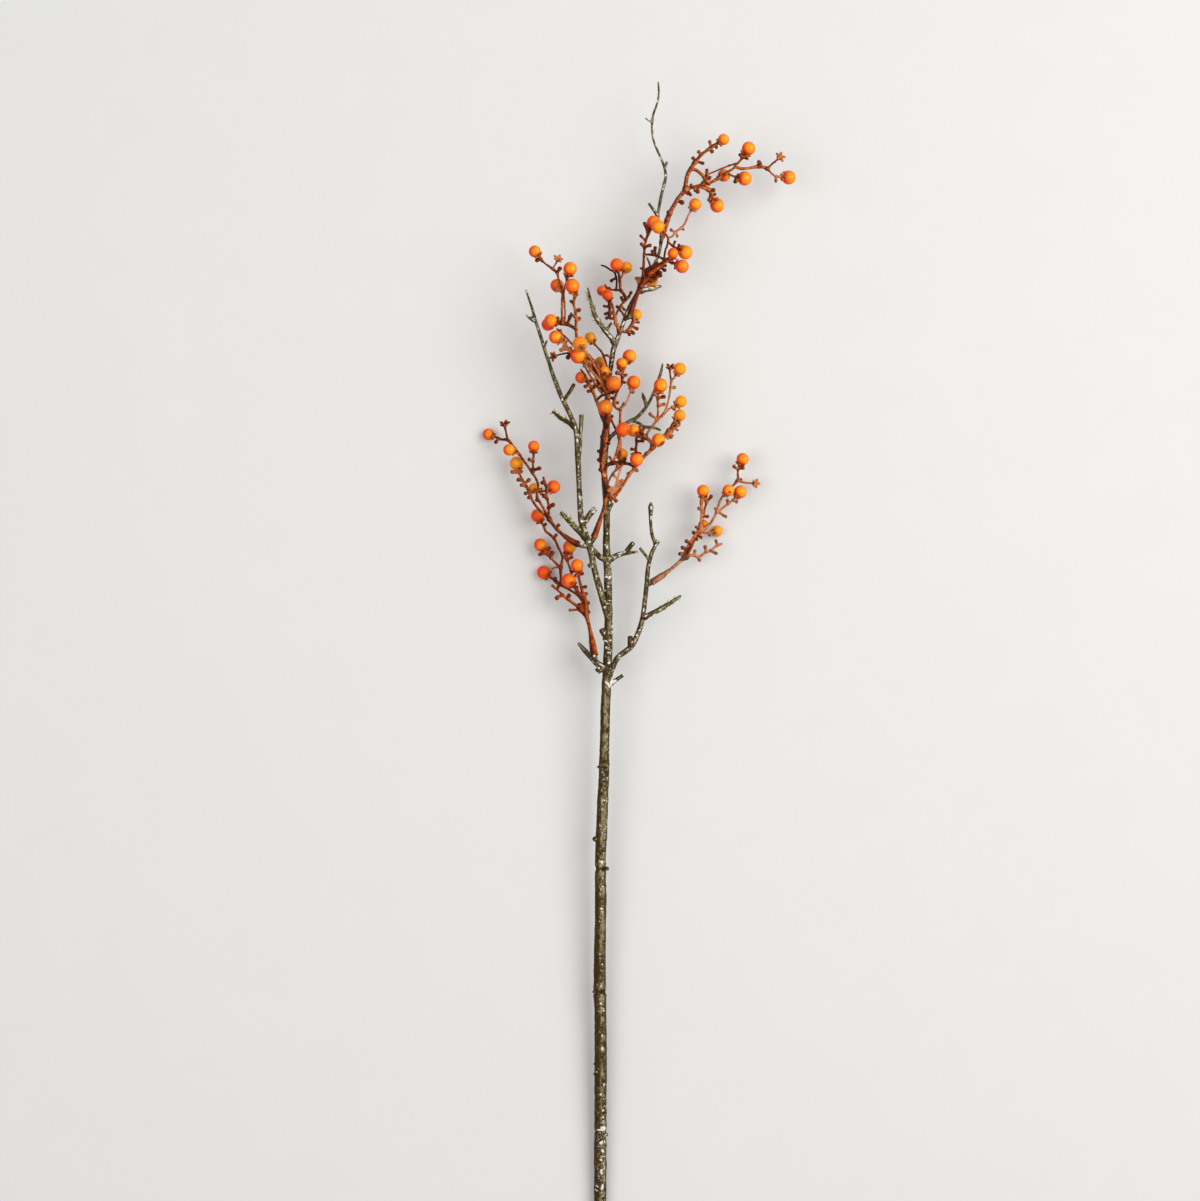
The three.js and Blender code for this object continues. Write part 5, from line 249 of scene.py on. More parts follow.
# Berries: name, CAD node it stands for, spray, centre and radius (mm), direction to its stalk,
# hue (-1 yellow, 0 orange, 1 red), blush at the calyx, dullness.
BERRIES = [
    ("fruit_upper_1", "berry_upper_1", "spray_upper", (13.19, 389.51, 56.80), 5.99, (-0.42, -0.90, -0.12), 0.3, 0.5, 0),
    ("fruit_upper_2", "berry_upper_2", "spray_upper", (17.06, 384.69, 68.24), 5.97, (0.67, -0.60, -0.43), -0.35, 0.35, 0),
    ("fruit_upper_3", "berry_upper_3", "spray_upper", (50.23, 405.34, 59.61), 5.36, (-0.54, -0.84, 0.05), -0.25, 0.3, 0),
    ("fruit_upper_4", "berry_upper_4", "spray_upper", (41.68, 362.96, 53.41), 6.26, (-0.84, 0.39, 0.37), -0.35, 0.3, 0),
    ("fruit_upper_hidden_A5", None, "spray_upper", (30.49, 361.79, 59.16), 4.73, (-0.19, -0.91, -0.37), 0.4, 0.4, 0),
    ("fruit_upper_5", "berry_upper_5", "spray_upper", (38.61, 349.95, 59.79), 5.90, (-0.87, 0.37, -0.33), 0.36, 0.5, 0),
    ("fruit_upper_hidden_A7", None, "spray_upper", (11.52, 338.59, 31.60), 5.67, (0.44, 0.31, 0.84), -0.8, 0.4, 0),
    ("fruit_upper_hidden_A8", None, "spray_upper", (2.76, 338.57, 25.68), 4.41, (-0.42, 0.13, 0.90), -0.15, 0.4, 0),
    ("fruit_top_right_1", "berry_top_right_1", "spray_top_right", (75.61, 463.12, 62.36), 5.00, (-0.87, -0.49, -0.11), -0.25, 0.5, 0),
    ("fruit_top_right_2", "berry_top_right_2", "spray_top_right", (98.20, 455.92, 54.18), 5.99, (-0.55, -0.83, -0.09), -0.05, 0.45, 0),
    ("fruit_top_right_3", "berry_top_right_3", "spray_top_right", (134.68, 431.55, 37.87), 6.20, (-0.93, 0.05, 0.38), -0.1, 0.35, 0),
    ("fruit_top_right_hidden_T4", None, "spray_top_right", (76.38, 432.73, 44.26), 5.56, (-0.53, -0.34, 0.78), 0.1, 0.4, 0),
    ("fruit_top_right_4", "berry_top_right_4", "spray_top_right", (94.87, 429.80, 46.78), 6.27, (-0.93, 0.16, 0.32), -0.1, 0.4, 0),
    ("fruit_top_right_5", "berry_top_right_5", "spray_top_right", (70.35, 406.05, 41.76), 6.28, (-0.51, 0.76, 0.41), 0.0, 0.4, 0),
    ("fruit_small_hidden_S1", None, "spray_small", (-1.96, 308.74, 29.98), 4.95, (-0.38, -0.86, 0.32), -0.85, 0.3, 0),
    ("fruit_upper_middle_1", "berry_upper_middle_1", "spray_upper_middle", (-28.20, 324.77, 55.73), 4.83, (0.33, -0.87, -0.37), 0.75, 0.5, 0),
    ("fruit_upper_middle_2", "berry_upper_middle_2", "spray_upper_middle", (-19.83, 352.83, 41.83), 5.74, (0.23, -0.97, -0.01), 0.7, 0.5, 0),
    ("fruit_upper_middle_hidden_F3", None, "spray_upper_middle", (-32.84, 329.20, 46.21), 4.66, (0.90, 0.36, -0.26), 0.65, 0.6, 0.2),
    ("fruit_upper_middle_3", "berry_upper_middle_3", "spray_upper_middle", (-10.98, 351.08, 32.95), 5.22, (-0.37, -0.76, 0.54), -0.8, 0.5, 0),
    ("fruit_upper_left_1", "berry_upper_left_1", "spray_upper_left", (-92.96, 363.33, 59.94), 5.27, (0.64, -0.77, 0.06), -0.1, 0.4, 0),
    ("fruit_upper_left_2", "berry_upper_left_2", "spray_upper_left", (-61.38, 347.36, 66.78), 5.97, (-0.25, -0.96, -0.16), 0.15, 0.4, 0),
    ("fruit_upper_left_hidden_G3", None, "spray_upper_left", (-73.11, 333.37, 53.00), 5.91, (0.30, -0.63, 0.72), 0.0, 0.4, 0),
    ("fruit_upper_left_3", "berry_upper_left_3", "spray_upper_left", (-59.39, 331.63, 72.33), 6.32, (0.19, -0.94, -0.27), 0.42, 0.5, 0),
    ("fruit_upper_left_4", "berry_upper_left_4", "spray_upper_left", (-78.53, 301.04, 64.74), 5.89, (0.97, -0.24, -0.08), 0.2, 0.5, 0),
    ("fruit_upper_left_hidden_G6", None, "spray_upper_left", (-81.34, 298.55, 53.16), 5.64, (0.73, -0.04, 0.68), 0.68, 0.4, 0),
    ("fruit_upper_left_5", "berry_upper_left_5", "spray_upper_left", (-74.45, 286.65, 62.11), 5.71, (0.82, -0.56, -0.08), 0.0, 0.6, 0),
    ("fruit_upper_left_6", "berry_upper_left_6", "spray_upper_left", (-52.44, 279.82, 73.63), 6.68, (0.21, -0.40, 0.89), -0.6, 0.3, 0),
    ("fruit_upper_left_hidden_G9", None, "spray_upper_left", (-54.27, 269.94, 64.08), 6.87, (0.77, -0.43, -0.47), 0.05, 0.3, 0),
    ("fruit_upper_left_hidden_G11", None, "spray_upper_left", (-31.77, 257.28, 46.77), 5.56, (-0.02, -0.91, 0.41), 0.2, 0.4, 0),
    ("fruit_upper_left_hidden_G12", None, "spray_upper_left", (-34.63, 266.11, 35.98), 4.49, (-0.04, -0.61, 0.79), -0.2, 0.3, 0.55),
    ("fruit_upper_left_7", "berry_upper_left_7", "spray_upper_left", (-43.60, 286.98, 47.62), 4.84, (0.57, -0.82, 0.07), -0.6, 0.4, 0.6),
    ("fruit_centre_1", "berry_centre_1", "spray_centre", (-30.17, 223.93, 61.38), 6.70, (0.17, -0.94, -0.30), 0.45, 0.7, 0.5),
    ("fruit_centre_2", "berry_centre_2", "spray_centre", (-14.07, 204.46, 56.78), 6.26, (-0.24, -0.51, -0.82), 0.7, 0.5, 0),
    ("fruit_centre_3", "berry_centre_3", "spray_centre", (-4.77, 204.05, 44.29), 5.56, (0.64, -0.69, 0.35), -0.45, 0.8, 0),
    ("fruit_centre_hidden_E4", None, "spray_centre", (-15.25, 182.46, 40.92), 5.56, (-0.04, -0.72, 0.69), -0.45, 0.3, 0),
    ("fruit_centre_4", "berry_centre_4", "spray_centre", (-2.01, 177.65, 56.80), 5.90, (-0.06, 0.90, -0.44), 0.4, 0.6, 0),
    ("fruit_centre_5", "berry_centre_5", "spray_centre", (17.57, 194.99, 56.72), 5.90, (-0.31, -0.45, -0.84), -0.2, 0.6, 0),
    ("fruit_centre_6", "berry_centre_6", "spray_centre", (36.76, 217.75, 38.33), 5.39, (-0.53, -0.80, 0.27), -0.5, 0.5, 0),
    ("fruit_centre_7", "berry_centre_7", "spray_centre", (38.04, 230.16, 42.13), 5.29, (-0.82, -0.55, 0.14), -0.75, 0.35, 0),
    ("fruit_centre_8", "berry_centre_8", "spray_centre", (19.53, 244.09, 50.83), 6.09, (-0.30, -0.94, -0.16), -0.1, 0.4, 0),
    ("fruit_centre_9", "berry_centre_9", "spray_centre", (36.83, 259.18, 44.75), 5.56, (-0.54, -0.84, -0.02), -0.5, 0.3, 0),
    ("fruit_centre_10", "berry_centre_10", "spray_centre", (-4.61, 247.01, 46.10), 6.01, (-0.30, -0.95, -0.05), 0.4, 0.4, 0),
    ("fruit_centre_hidden_E13", None, "spray_centre", (-15.38, 263.85, 49.68), 4.93, (-0.09, -0.99, -0.14), 0.05, 0.9, 0),
    ("fruit_centre_11", "berry_centre_11", "spray_centre", (-8.33, 270.67, 39.69), 6.11, (-0.32, -0.86, 0.39), -0.25, 0.4, 0),
    ("fruit_centre_hidden_E10", None, "spray_centre", (-51.67, 251.54, 45.14), 5.29, (0.68, -0.45, 0.58), 0.4, 0.5, 0.0),
    ("fruit_centre_12", "berry_centre_12", "spray_centre", (-22.58, 245.38, 60.87), 6.52, (-0.05, -0.95, -0.30), 0.5, 0.4, 0.35),
    ("fruit_left_1", "berry_left_1", "spray_left", (-135.61, 201.94, 5.25), 5.25, (0.79, -0.31, 0.53), 0.1, 0.4, 0),
    ("fruit_left_2", "berry_left_2", "spray_left", (-116.53, 187.14, 30.15), 5.22, (0.77, -0.36, -0.52), -0.1, 0.4, 0),
    ("fruit_left_3", "berry_left_3", "spray_left", (-110.06, 175.35, 15.70), 6.05, (0.25, -0.89, 0.38), -0.7, 0.5, 0.2),
    ("fruit_left_4", "berry_left_4", "spray_left", (-94.26, 190.10, 32.94), 5.13, (-0.02, -1.00, -0.08), 0.5, 0.45, 0),
    ("fruit_left_hidden_C5", None, "spray_left", (-94.12, 152.55, 24.16), 4.78, (-0.67, -0.56, 0.49), -0.6, 0.8, 0.1),
    ("fruit_left_5", "berry_left_5", "spray_left", (-76.42, 153.60, 36.10), 5.93, (-0.78, -0.46, 0.43), 0.65, 0.4, 0),
    ("fruit_lower_left_1", "berry_lower_left_1", "spray_lower_left", (-55.30, 83.05, 37.37), 5.66, (0.15, -0.91, -0.40), 0.42, 0.5, 0),
    ("fruit_lower_left_2", "berry_lower_left_2", "spray_lower_left", (-85.79, 76.96, 5.98), 5.98, (0.76, -0.55, 0.34), 0.85, 0.3, 0),
    ("fruit_lower_left_3", "berry_lower_left_3", "spray_lower_left", (-91.11, 128.14, 14.14), 5.96, (0.51, -0.86, 0.09), 0.75, 0.5, 0.05),
    ("fruit_lower_left_4", "berry_lower_left_4", "spray_lower_left", (-88.43, 101.79, 11.80), 5.79, (0.56, -0.82, 0.10), 0.2, 0.5, 0),
    ("fruit_lower_left_5", "berry_lower_left_5", "spray_lower_left", (-62.78, 69.59, 33.11), 6.30, (0.58, -0.72, -0.38), 0.55, 0.7, 0),
    ("fruit_lower_left_6", "berry_lower_left_6", "spray_lower_left", (-62.11, 99.81, 25.70), 5.86, (-0.30, -0.95, -0.06), -0.1, 0.5, 0),
    ("fruit_right_1", "berry_right_1", "spray_right", (58.18, 150.28, 25.18), 5.50, (0.07, -1.00, -0.05), 0.2, 0.4, 0),
    ("fruit_right_2", "berry_right_2", "spray_right", (80.82, 150.59, 30.57), 5.31, (-0.66, -0.72, -0.23), -0.1, 0.5, 0),
    ("fruit_right_3", "berry_right_3", "spray_right", (91.80, 149.38, 24.91), 5.68, (-0.67, -0.74, 0.04), -0.15, 0.4, 0),
    ("fruit_right_4", "berry_right_4", "spray_right", (93.94, 179.09, 20.08), 5.50, (-0.40, -0.92, 0), 0.0, 0.4, 0),
    ("fruit_right_hidden_D5", None, "spray_right", (58.72, 119.32, 17.43), 4.97, (-0.38, -0.38, 0.84), 0.1, 0.5, 0),
    ("fruit_right_5", "berry_right_5", "spray_right", (71.33, 114.46, 4.98), 4.98, (-0.64, -0.16, 0.75), -0.7, 0.4, 0),
]

# Small dark dimples on some berries: direction from the centre, radius (mm).
NICKS = {
    "fruit_upper_left_2": [(0, 0.49, 0.87, 0.7)],
    "fruit_upper_left_5": [(0.05, -0.59, 0.80, 1.0)],
    "fruit_centre_3": [(0.35, -0.40, 0.84, 1.3)],
    "fruit_left_hidden_C5": [(0.09, -0.47, 0.88, 1.5)],
    "fruit_right_2": [(0.20, -0.34, 0.92, 1.1)],
    "fruit_upper_left_3": [(0.11, 0.92, 0.39, 0.6)],
    "fruit_lower_left_5": [(0.33, -0.43, 0.84, 0.9)],
}

# Darker patches on some berries: direction from the centre, radius (mm), strength.
PATCHES = {
    "fruit_centre_5": [(0.61, -0.65, 0.46, 4.2, 1.0)],
    "fruit_centre_3": [(0.60, -0.56, 0.57, 2.6, 0.6)],
    "fruit_lower_left_5": [(0.54, -0.43, 0.72, 3.6, 0.75)],
    "fruit_centre_2": [(0.57, -0.29, 0.77, 2.6, 0.35)],
    "fruit_centre_hidden_E13": [(-0.55, -0.45, 0.70, 2.4, 0.8)],
    "fruit_upper_middle_3": [(0.21, -0.52, 0.83, 3.0, 0.5)],
    "fruit_upper_middle_hidden_F3": [(-0.38, -0.42, 0.82, 2.5, 0.6)],
    "fruit_upper_middle_1": [(-0.59, 0.09, 0.80, 6.5, 0.4)],
    "fruit_centre_hidden_E10": [(0.51, -0.34, 0.79, 2.4, 0.7)],
    "fruit_right_2": [(0.22, -0.32, 0.92, 1.3, 0.9)],
    "fruit_left_4": [(-0.12, -0.70, 0.70, 2.4, 0.5)],
    "fruit_centre_1": [(-0.07, -0.87, 0.49, 3.4, 0.8), (-0.87, -0.27, 0.42, 2.2, 0.4)],
    "fruit_left_hidden_C5": [(0.15, -0.28, 0.95, 2.2, 0.7)],
}

# Stalks that are bundles: strands, first and last share of the length, how far apart.
BUNDLES = {("spray_upper", "a2"): (3, 0.06, 0.97, 0.95), ("spray_upper_left", "g0"): (3, 0.02, 0.6, 0.95), ("spray_right", "d1"): (3, -0.06, 0.95, 0.7), ("spray_centre", "e1"): (3, 0.12, 0.9, 0.42)}

# Limbs a little stouter than their plain shape, and limbs whose tip is still green.
GIRTH = {("main_stem", "stem"): 1.03, ("main_stem", "right_low_stub"): 1.12, ("main_stem", "left_low_twig"): 1.5, ("main_stem", "left_low_nub"): 1.8, ("main_stem", "mid_right_twig"): 1.3, ("main_stem", "mid_right_stub"): 1.3, ("main_stem", "left_fork"): 1.1, ("main_stem", "left_fork_twig"): 1.15, ("main_stem", "right_bough"): 1.08, ("main_stem", "right_bough_side"): 1.2, ("left_branch", "bough"): 1.12, ("left_branch", "bud_b"): 1.35, ("left_branch", "cut_stub"): 1.3, ("left_branch", "needle_stub"): 1.15, ("left_branch", "tall_stub"): 1.15, ("left_branch", "spur_stub"): 1.12, ("left_branch", "link"): 1.15, ("right_branch", "bough"): 1.05, ("right_branch", "needle_twig"): 1.25, ("right_branch", "cut_stub"): 1.1, ("right_branch", "knob"): 1.2, ("spray_centre", "e1"): 1.2, ("spray_centre", "e3"): 1.3, ("spray_centre", "e6"): 1.1, ("spray_top_right", "t1"): 1.1, ("spray_top_right", "t2"): 1.25, ("spray_top_right", "t5"): 1.08, ("spray_upper_left", "g2"): 1.12, ("spray_left", "c1"): 1.12, ("spray_right", "d2"): 1.1, ("spray_upper", "a2"): 1.1, ("spray_upper", "sleeve"): 0.86, ("main_stem", "leader_stub"): 1.55, ("main_stem", "leader_twig"): 1.2, ("spray_lower_left", "b4s"): 1.2, ("spray_lower_left", "sleeve"): 1.1, ("spray_centre", "e11b"): 1.15, ("spray_centre", "e10"): 1.1, ("spray_upper_middle", "f4"): 1.2, ("spray_upper_middle", "f1"): 1.0, ("spray_upper_middle", "f1b"): 1.1}
GREEN_TIPS = {("left_branch", "bough"): 0.4, ("main_stem", "left_low_twig"): 0.9, ("right_branch", "needle_twig"): 0.5, ("main_stem", "right_bough_twig"): 0.7, ("main_stem", "left_fork"): 0.35, ("left_branch", "needle_twig"): 0.3}

# How far some calyxes reach up their berry (degrees).
REACH = {"fruit_centre_3": 20, "fruit_upper_middle_3": 22, "fruit_upper_left_6": 18, "fruit_centre_hidden_E4": 22, "fruit_upper_hidden_A7": 22, "fruit_upper_left_hidden_G11": 26, "fruit_upper_left_hidden_G12": 22, "fruit_left_hidden_C5": 24, "fruit_centre_hidden_E10": 24, "fruit_right_hidden_D5": 26, "fruit_upper_left_hidden_G3": 26, "fruit_top_right_4": 30, "fruit_centre_10": 30, "fruit_left_3": 34, "fruit_lower_left_4": 34}

# Joints and scars round the stem: distance along Y (mm), change of radius (mm), half width (mm).
RINGS = {
    "stem": [(-301.7, -1.25, 1.5), (-298.5, 0.35, 2.6), (-304.8, 0.3, 2.2), (-428.1, -1.1, 1.4), (-425.4, 0.3, 2.4), (-190.0, -0.7, 1.6), (-186.4, 0.3, 2.5), (-193.6, 0.35, 2.2), (-162.6, 0.35, 1.8), (-99.1, -0.4, 1.3), (-96.4, 0.3, 1.8), (-82.5, 0.25, 1.6), (-24.0, 0.35, 2.5), (-4.6, -0.35, 1.0), (0.3, 0.2, 1.5), (15.6, 0.25, 1.5), (39.0, 0.3, 2.5), (88.5, 0.4, 2.5), (111.9, -0.25, 1.0), (130.8, 0.3, 2.0), (-385.8, -0.3, 1.0), (-375.9, 0.25, 1.6), (-353.4, 0.2, 2.0), (-457.8, 0.25, 2.0), (-245.4, 0.2, 2.2), (-226.5, -0.2, 1.2), (-128.4, 0.2, 2.0), (-63.6, -0.22, 1.2), (-46.5, 0.2, 2.0), (193.8, 0.3, 2.0), (282.9, 0.5, 2.5), (350.4, 0.35, 1.5), (397.2, 0.35, 1.5), (442.2, 0.25, 1.2), (481.8, 0.25, 1.2)],
}

# Dabs of white on the bark: position seen from above (mm), half length and half width (mm), turn (degrees).
DABS = {
    "main_stem": [(-28.0, -23.2, 2.4, 0.9, -45), (-23.3, -21.9, 3.2, 1.7, 50), (-26.0, -25.2, 1.9, 1.3, 0), (-29.7, 15.2, 1.6, 0.7, -20), (-26.7, 4.7, 1.5, 0.5, 0), (-26.5, -4.4, 1.3, 0.9, -50), (-29.2, 9.3, 0.8, 0.6, 30), (-28.0, 38.8, 1.2, 0.8, 0), (-23.8, 28.2, 1.4, 0.7, 60), (-23.5, 23.3, 0.8, 0.7, 0), (-33.3, -6.4, 2.0, 0.8, -45), (-38.2, -8.9, 1.5, 0.5, 25), (-39.5, -10.9, 0.5, 1.3, 0), (-40.0, 1.9, 1.1, 0.8, -45), (-41.1, -3.4, 1.2, 0.7, -10), (-35.9, -9.1, 0.8, 0.8, 0), (-30.6, 22.4, 1.2, 0.4, 80), (-32.7, 18.8, 1.4, 0.4, 100), (-33.3, -226.2, 1.1, 0.8, 10), (-32.6, -353.0, 1.1, 1.0, 60), (-31.4, -425.5, 2.3, 2.0, 40), (-34.6, -426.7, 2.6, 0.7, 5), (-34.8, -426.9, 2.0, 0.6, 10), (-32.3, -446.0, 1.6, 0.9, -35), (-34.1, -453.9, 1.0, 0.8, 40), (-33.5, -438.4, 1.6, 1.3, 80), (-31.0, -385.6, 1.0, 0.8, 0), (-33.9, -394.3, 0.8, 0.6, 30), (-31.9, -409.0, 1.4, 0.6, 15), (-33.7, -464.5, 0.6, 2.0, 0), (-32.6, -478.9, 2.3, 1.0, 60), (-37.3, -478.0, 0.4, 1.3, 50), (-38.1, -481.6, 0.4, 1.2, 50), (-33.9, -312.2, 1.0, 0.7, -20), (-31.3, -318.6, 0.7, 0.7, 0), (-37.8, -374.2, 0.5, 0.4, 15), (-31.2, -386.1, 0.5, 0.5, 0), (-32.8, -276.6, 0.6, 0.6, 0), (-33.0, -341.3, 0.6, 0.9, 0), (-31.9, -415.0, 0.5, 1.0, 0), (-33.6, -296.3, 0.7, 0.5, 0), (-28.3, 166.7, 1.0, 0.7, 20), (-28.5, 99.3, 1.3, 0.5, 85), (-28.3, 111.8, 0.9, 0.5, 60), (-25.8, 72.3, 1.6, 1.0, 10), (-29.2, 72.7, 1.3, 0.6, 0), (-25.2, 83.1, 0.8, 0.7, 60), (-30.3, 101.5, 0.5, 0.5, 0), (-24.7, 67.8, 0.6, 0.4, 0), (-16.7, 93.9, 2.0, 0.5, 20), (-17.1, 91.6, 1.2, 0.4, 60), (-12.6, 95.2, 1.8, 0.6, 15), (-21.6, 90.1, 1.0, 0.4, 65), (-5.3, 102.5, 0.9, 0.6, 55), (-27.4, 64.2, 0.7, 0.5, 10), (-29.7, 60.6, 0.6, 0.5, 40), (-26.1, 51.6, 0.7, 0.4, 0), (12.4, 346.5, 1.0, 0.9, 0), (11.6, 352.8, 1.0, 0.9, 20), (7.6, 360.0, 0.8, 0.5, -60), (15.3, 358.2, 1.6, 0.5, 60), (16.4, 498.5, 1.4, 0.4, 70), (13.6, 467.0, 1.6, 0.4, -70), (19.6, 447.7, 1.6, 0.4, -65), (24.0, 432.4, 1.0, 0.7, 60), (8.5, 482.7, 1.6, 0.5, -40), (13.2, 475.1, 1.8, 0.4, -90), (16.0, 458.9, 1.5, 0.4, -65), (21.6, 420.2, 0.9, 0.4, 75), (6.3, 331.0, 2.4, 0.8, 5), (11.7, 332.3, 2.6, 0.7, 8), (16.6, 333.4, 1.8, 0.4, 12), (-25.2, 288.2, 2.4, 0.7, -45), (-28.8, 292.1, 1.6, 0.6, -45), (-19.1, 287.2, 1.5, 0.5, 65), (-13.5, 300.2, 2.2, 0.5, 65), (-10.4, 309.6, 1.8, 0.5, 70), (-22.8, 275.5, 1.6, 0.5, 80), (-23.4, 267.4, 1.2, 0.5, 80), (-2.3, 326.7, 1.5, 0.5, 55), (-36.4, 303.4, 1.2, 0.4, -50), (-23.4, 258.4, 1.0, 0.5, 80)],
    "left_branch": [(-55.1, 194.6, 1.0, 1.1, 0), (-41.8, 81.7, 0.8, 0.6, 0), (-41.4, 97.5, 1.6, 0.5, 65), (-43.8, 104.2, 1.4, 0.6, 30), (-47.2, 114.3, 1.2, 0.5, 60), (-50.8, 122.4, 1.8, 0.6, 5), (-47.7, 100.9, 1.3, 0.6, -40), (-51.3, 102.4, 1.3, 0.9, 20), (-60.4, 123.0, 1.4, 0.6, -25), (-52.6, 115.2, 0.9, 0.5, 60), (-39.5, 131.0, 1.1, 0.7, 50), (-41.8, 133.6, 0.8, 0.4, 40), (-46.3, 123.1, 0.9, 0.5, 30), (-52.3, 142.0, 0.8, 0.5, 90), (-53.5, 132.1, 0.9, 0.4, 20), (-53.1, 158.6, 0.7, 0.4, 90), (-54.1, 171.2, 0.9, 0.5, 90), (-52.0, 186.5, 0.8, 0.5, 90), (-68.6, 231.2, 1.0, 0.7, 60), (-98.5, 306.2, 1.8, 0.7, -30), (-85.2, 280.6, 0.9, 0.4, 60), (-90.0, 294.4, 1.1, 0.4, -70), (-37.9, 73.4, 0.7, 0.6, 10), (-34.4, 61.9, 1.3, 0.4, -70), (-30.3, 45.8, 0.9, 0.5, -60), (-56.7, 206.4, 0.9, 0.6, -30), (-51.9, 204.5, 1.2, 0.4, 90)],
    "right_branch": [(4.5, 43.1, 1.3, 0.6, 80), (6.5, 37.7, 1.2, 0.5, 30), (13.9, 38.7, 1.8, 0.6, 15), (19.3, 43.1, 1.2, 0.4, 30), (25.6, 44.1, 1.4, 0.5, 30), (1.0, 25.0, 1.1, 0.5, 20), (-1.5, 20.2, 1.2, 0.5, 20), (-5.7, 14.3, 0.9, 0.5, 60), (-16.7, -0.2, 1.0, 0.5, 20), (-17.3, 2.2, 0.8, 0.4, 0), (11.2, 134.8, 0.9, 1.3, 0), (15.4, 101.1, 1.0, 0.6, 50), (10.0, 83.1, 1.0, 0.4, 70), (16.9, 105.0, 0.6, 0.5, 0), (4.3, 67.8, 0.8, 0.4, 80), (11.2, 124.4, 0.8, 0.4, 90), (3.6, 54.8, 0.8, 0.3, 80)],
}

# Fine hairs on the tips of the bare twigs: limb, first and last share of its length, how many, length (mm).
HAIRS = [
    ("main_stem", "left_low_twig", 0.45, 0.98, 12, 2.2),
    ("main_stem", "mid_right_twig", 0.8, 0.98, 5, 1.8),
    ("main_stem", "left_fork", 0.25, 0.99, 26, 3.8),
    ("main_stem", "right_bough", 0.88, 0.98, 5, 1.8),
    ("left_branch", "needle_stub", 0.35, 0.99, 17, 4.8),
    ("left_branch", "needle_twig", 0.35, 0.99, 15, 3.4),
    ("left_branch", "bough", 0.95, 0.99, 4, 1.6),
    ("right_branch", "needle_twig", 0.4, 0.98, 16, 2.6),
]

# Small nubs on the stem: centre and radius (mm).
NUBS = {
    "main_stem": [(-39.4, -376.4, 14.0, 1.50, "stem"), (-39.6, -367.3, 13.5, 1.20, "stem"), (-40.1, -301.9, 16.7, 1.50, "stem"), (-39.2, -163.4, 25.2, 2.40, "stem"), (-36.1, -98.4, 27.0, 1.30, "stem"), (-28.3, -190.1, 23.4, 1.90, "stem"), (-30.6, -191.4, 24.8, 1.50, "stem"), (-28.9, -431.4, 10.8, 1.50, "stem"), (-32.4, -428.7, 14.1, 1.60, "stem"), (-35.5, -430.1, 13.8, 1.20, "stem")],
}

# Brightness and frosting along the stem: place along Y (mm), brightness, frosting.
STEM_TONE = [(-488.8, 0.05, 0.55), (-451.9, 0.05, 0.6), (-433.9, 0.1, 0.75), (-415.9, 0.05, 0.45), (-389.0, -0.05, 0.35), (-362.0, -0.05, 0.2), (-308.0, 0.0, 0.3), (-272.1, 0.1, 0.15), (-245.1, 0.2, 0.2), (-218.1, 0.3, 0.35), (-200.1, 0.35, 0.5), (-182.2, 0.25, 0.4), (-164.2, 0.25, 0.35), (-141.7, 0.35, 0.4), (-119.2, 0.45, 0.35), (-101.2, 0.62, 0.25), (-69.8, 0.7, 0.25), (-42.8, 0.5, 0.25), (-27.5, 0.4, 0.5), (-2.3, 0.3, 0.55), (33.6, 0.3, 0.4), (60.6, 0.35, 0.6), (74.1, 0.45, 0.75), (96.6, 0.5, 0.5), (141.5, 0.5, 0.35), (195.5, 0.45, 0.45), (258.4, 0.45, 0.5), (294.4, 0.45, 0.7), (330.3, 0.5, 0.85), (355.5, 0.9, 0.9), (370.8, 0.85, 0.7), (379.8, 0.75, 0.5), (411.2, 0.5, 0.4), (456.2, 0.7, 0.45), (514.6, 0.65, 0.2)]

RED_BERRIES = ["lower_left_2", "centre_2", "centre_10", "left_5", "lower_left_3"]
OCHRE_BERRIES = ["left_3", "upper_left_7"]


# ---------------------------------------------------------------- small tools


def unit(v):
    v = np.asarray(v, float)
    n = np.linalg.norm(v)
    return v / n if n > 1e-12 else np.array([0.0, 0.0, 1.0])


def lattice(i, seed):
    i = (i & 0xFFFFFFFF).astype(np.uint32)
    h = i[..., 0] * np.uint32(374761393) + i[..., 1] * np.uint32(668265263)
    h = h + i[..., 2] * np.uint32(2246822519) + np.uint32((seed * 3266489917) & 0xFFFFFFFF)
    h = (h ^ (h >> np.uint32(15))) * np.uint32(2246822519)
    h = (h ^ (h >> np.uint32(13))) * np.uint32(3266489917)
    h = h ^ (h >> np.uint32(16))
    return h.astype(np.float64) / 2147483648.0 - 1.0


def noise(p, seed=0):
    """Smooth value noise, -1 to 1, at the points p (N, 3)."""
    p = np.asarray(p, float)
    i = np.floor(p).astype(np.int64)
    f = p - i
    f = f * f * f * (f * (f * 6 - 15) + 10)
    out = np.zeros(p.shape[:-1])
    for dx in (0, 1):
        for dy in (0, 1):
            for dz in (0, 1):
                w = (f[..., 0] if dx else 1 - f[..., 0]) * (f[..., 1] if dy else 1 - f[..., 1])
                w = w * (f[..., 2] if dz else 1 - f[..., 2])
                out += w * lattice(i + np.array([dx, dy, dz]), seed)
    return out


def fbm(p, octaves=3, seed=0):
    out, a, total = 0.0, 1.0, 0.0
    p = np.asarray(p, float)
    for k in range(octaves):
        out = out + a * noise(p * (2.03 ** k) + 17.3 * k, seed + k)
        total += a
        a *= 0.55
    return out / total


def smooth(a, b, x):
    t = np.clip((np.asarray(x, float) - a) / (b - a), 0, 1)
    return t * t * (3 - 2 * t)


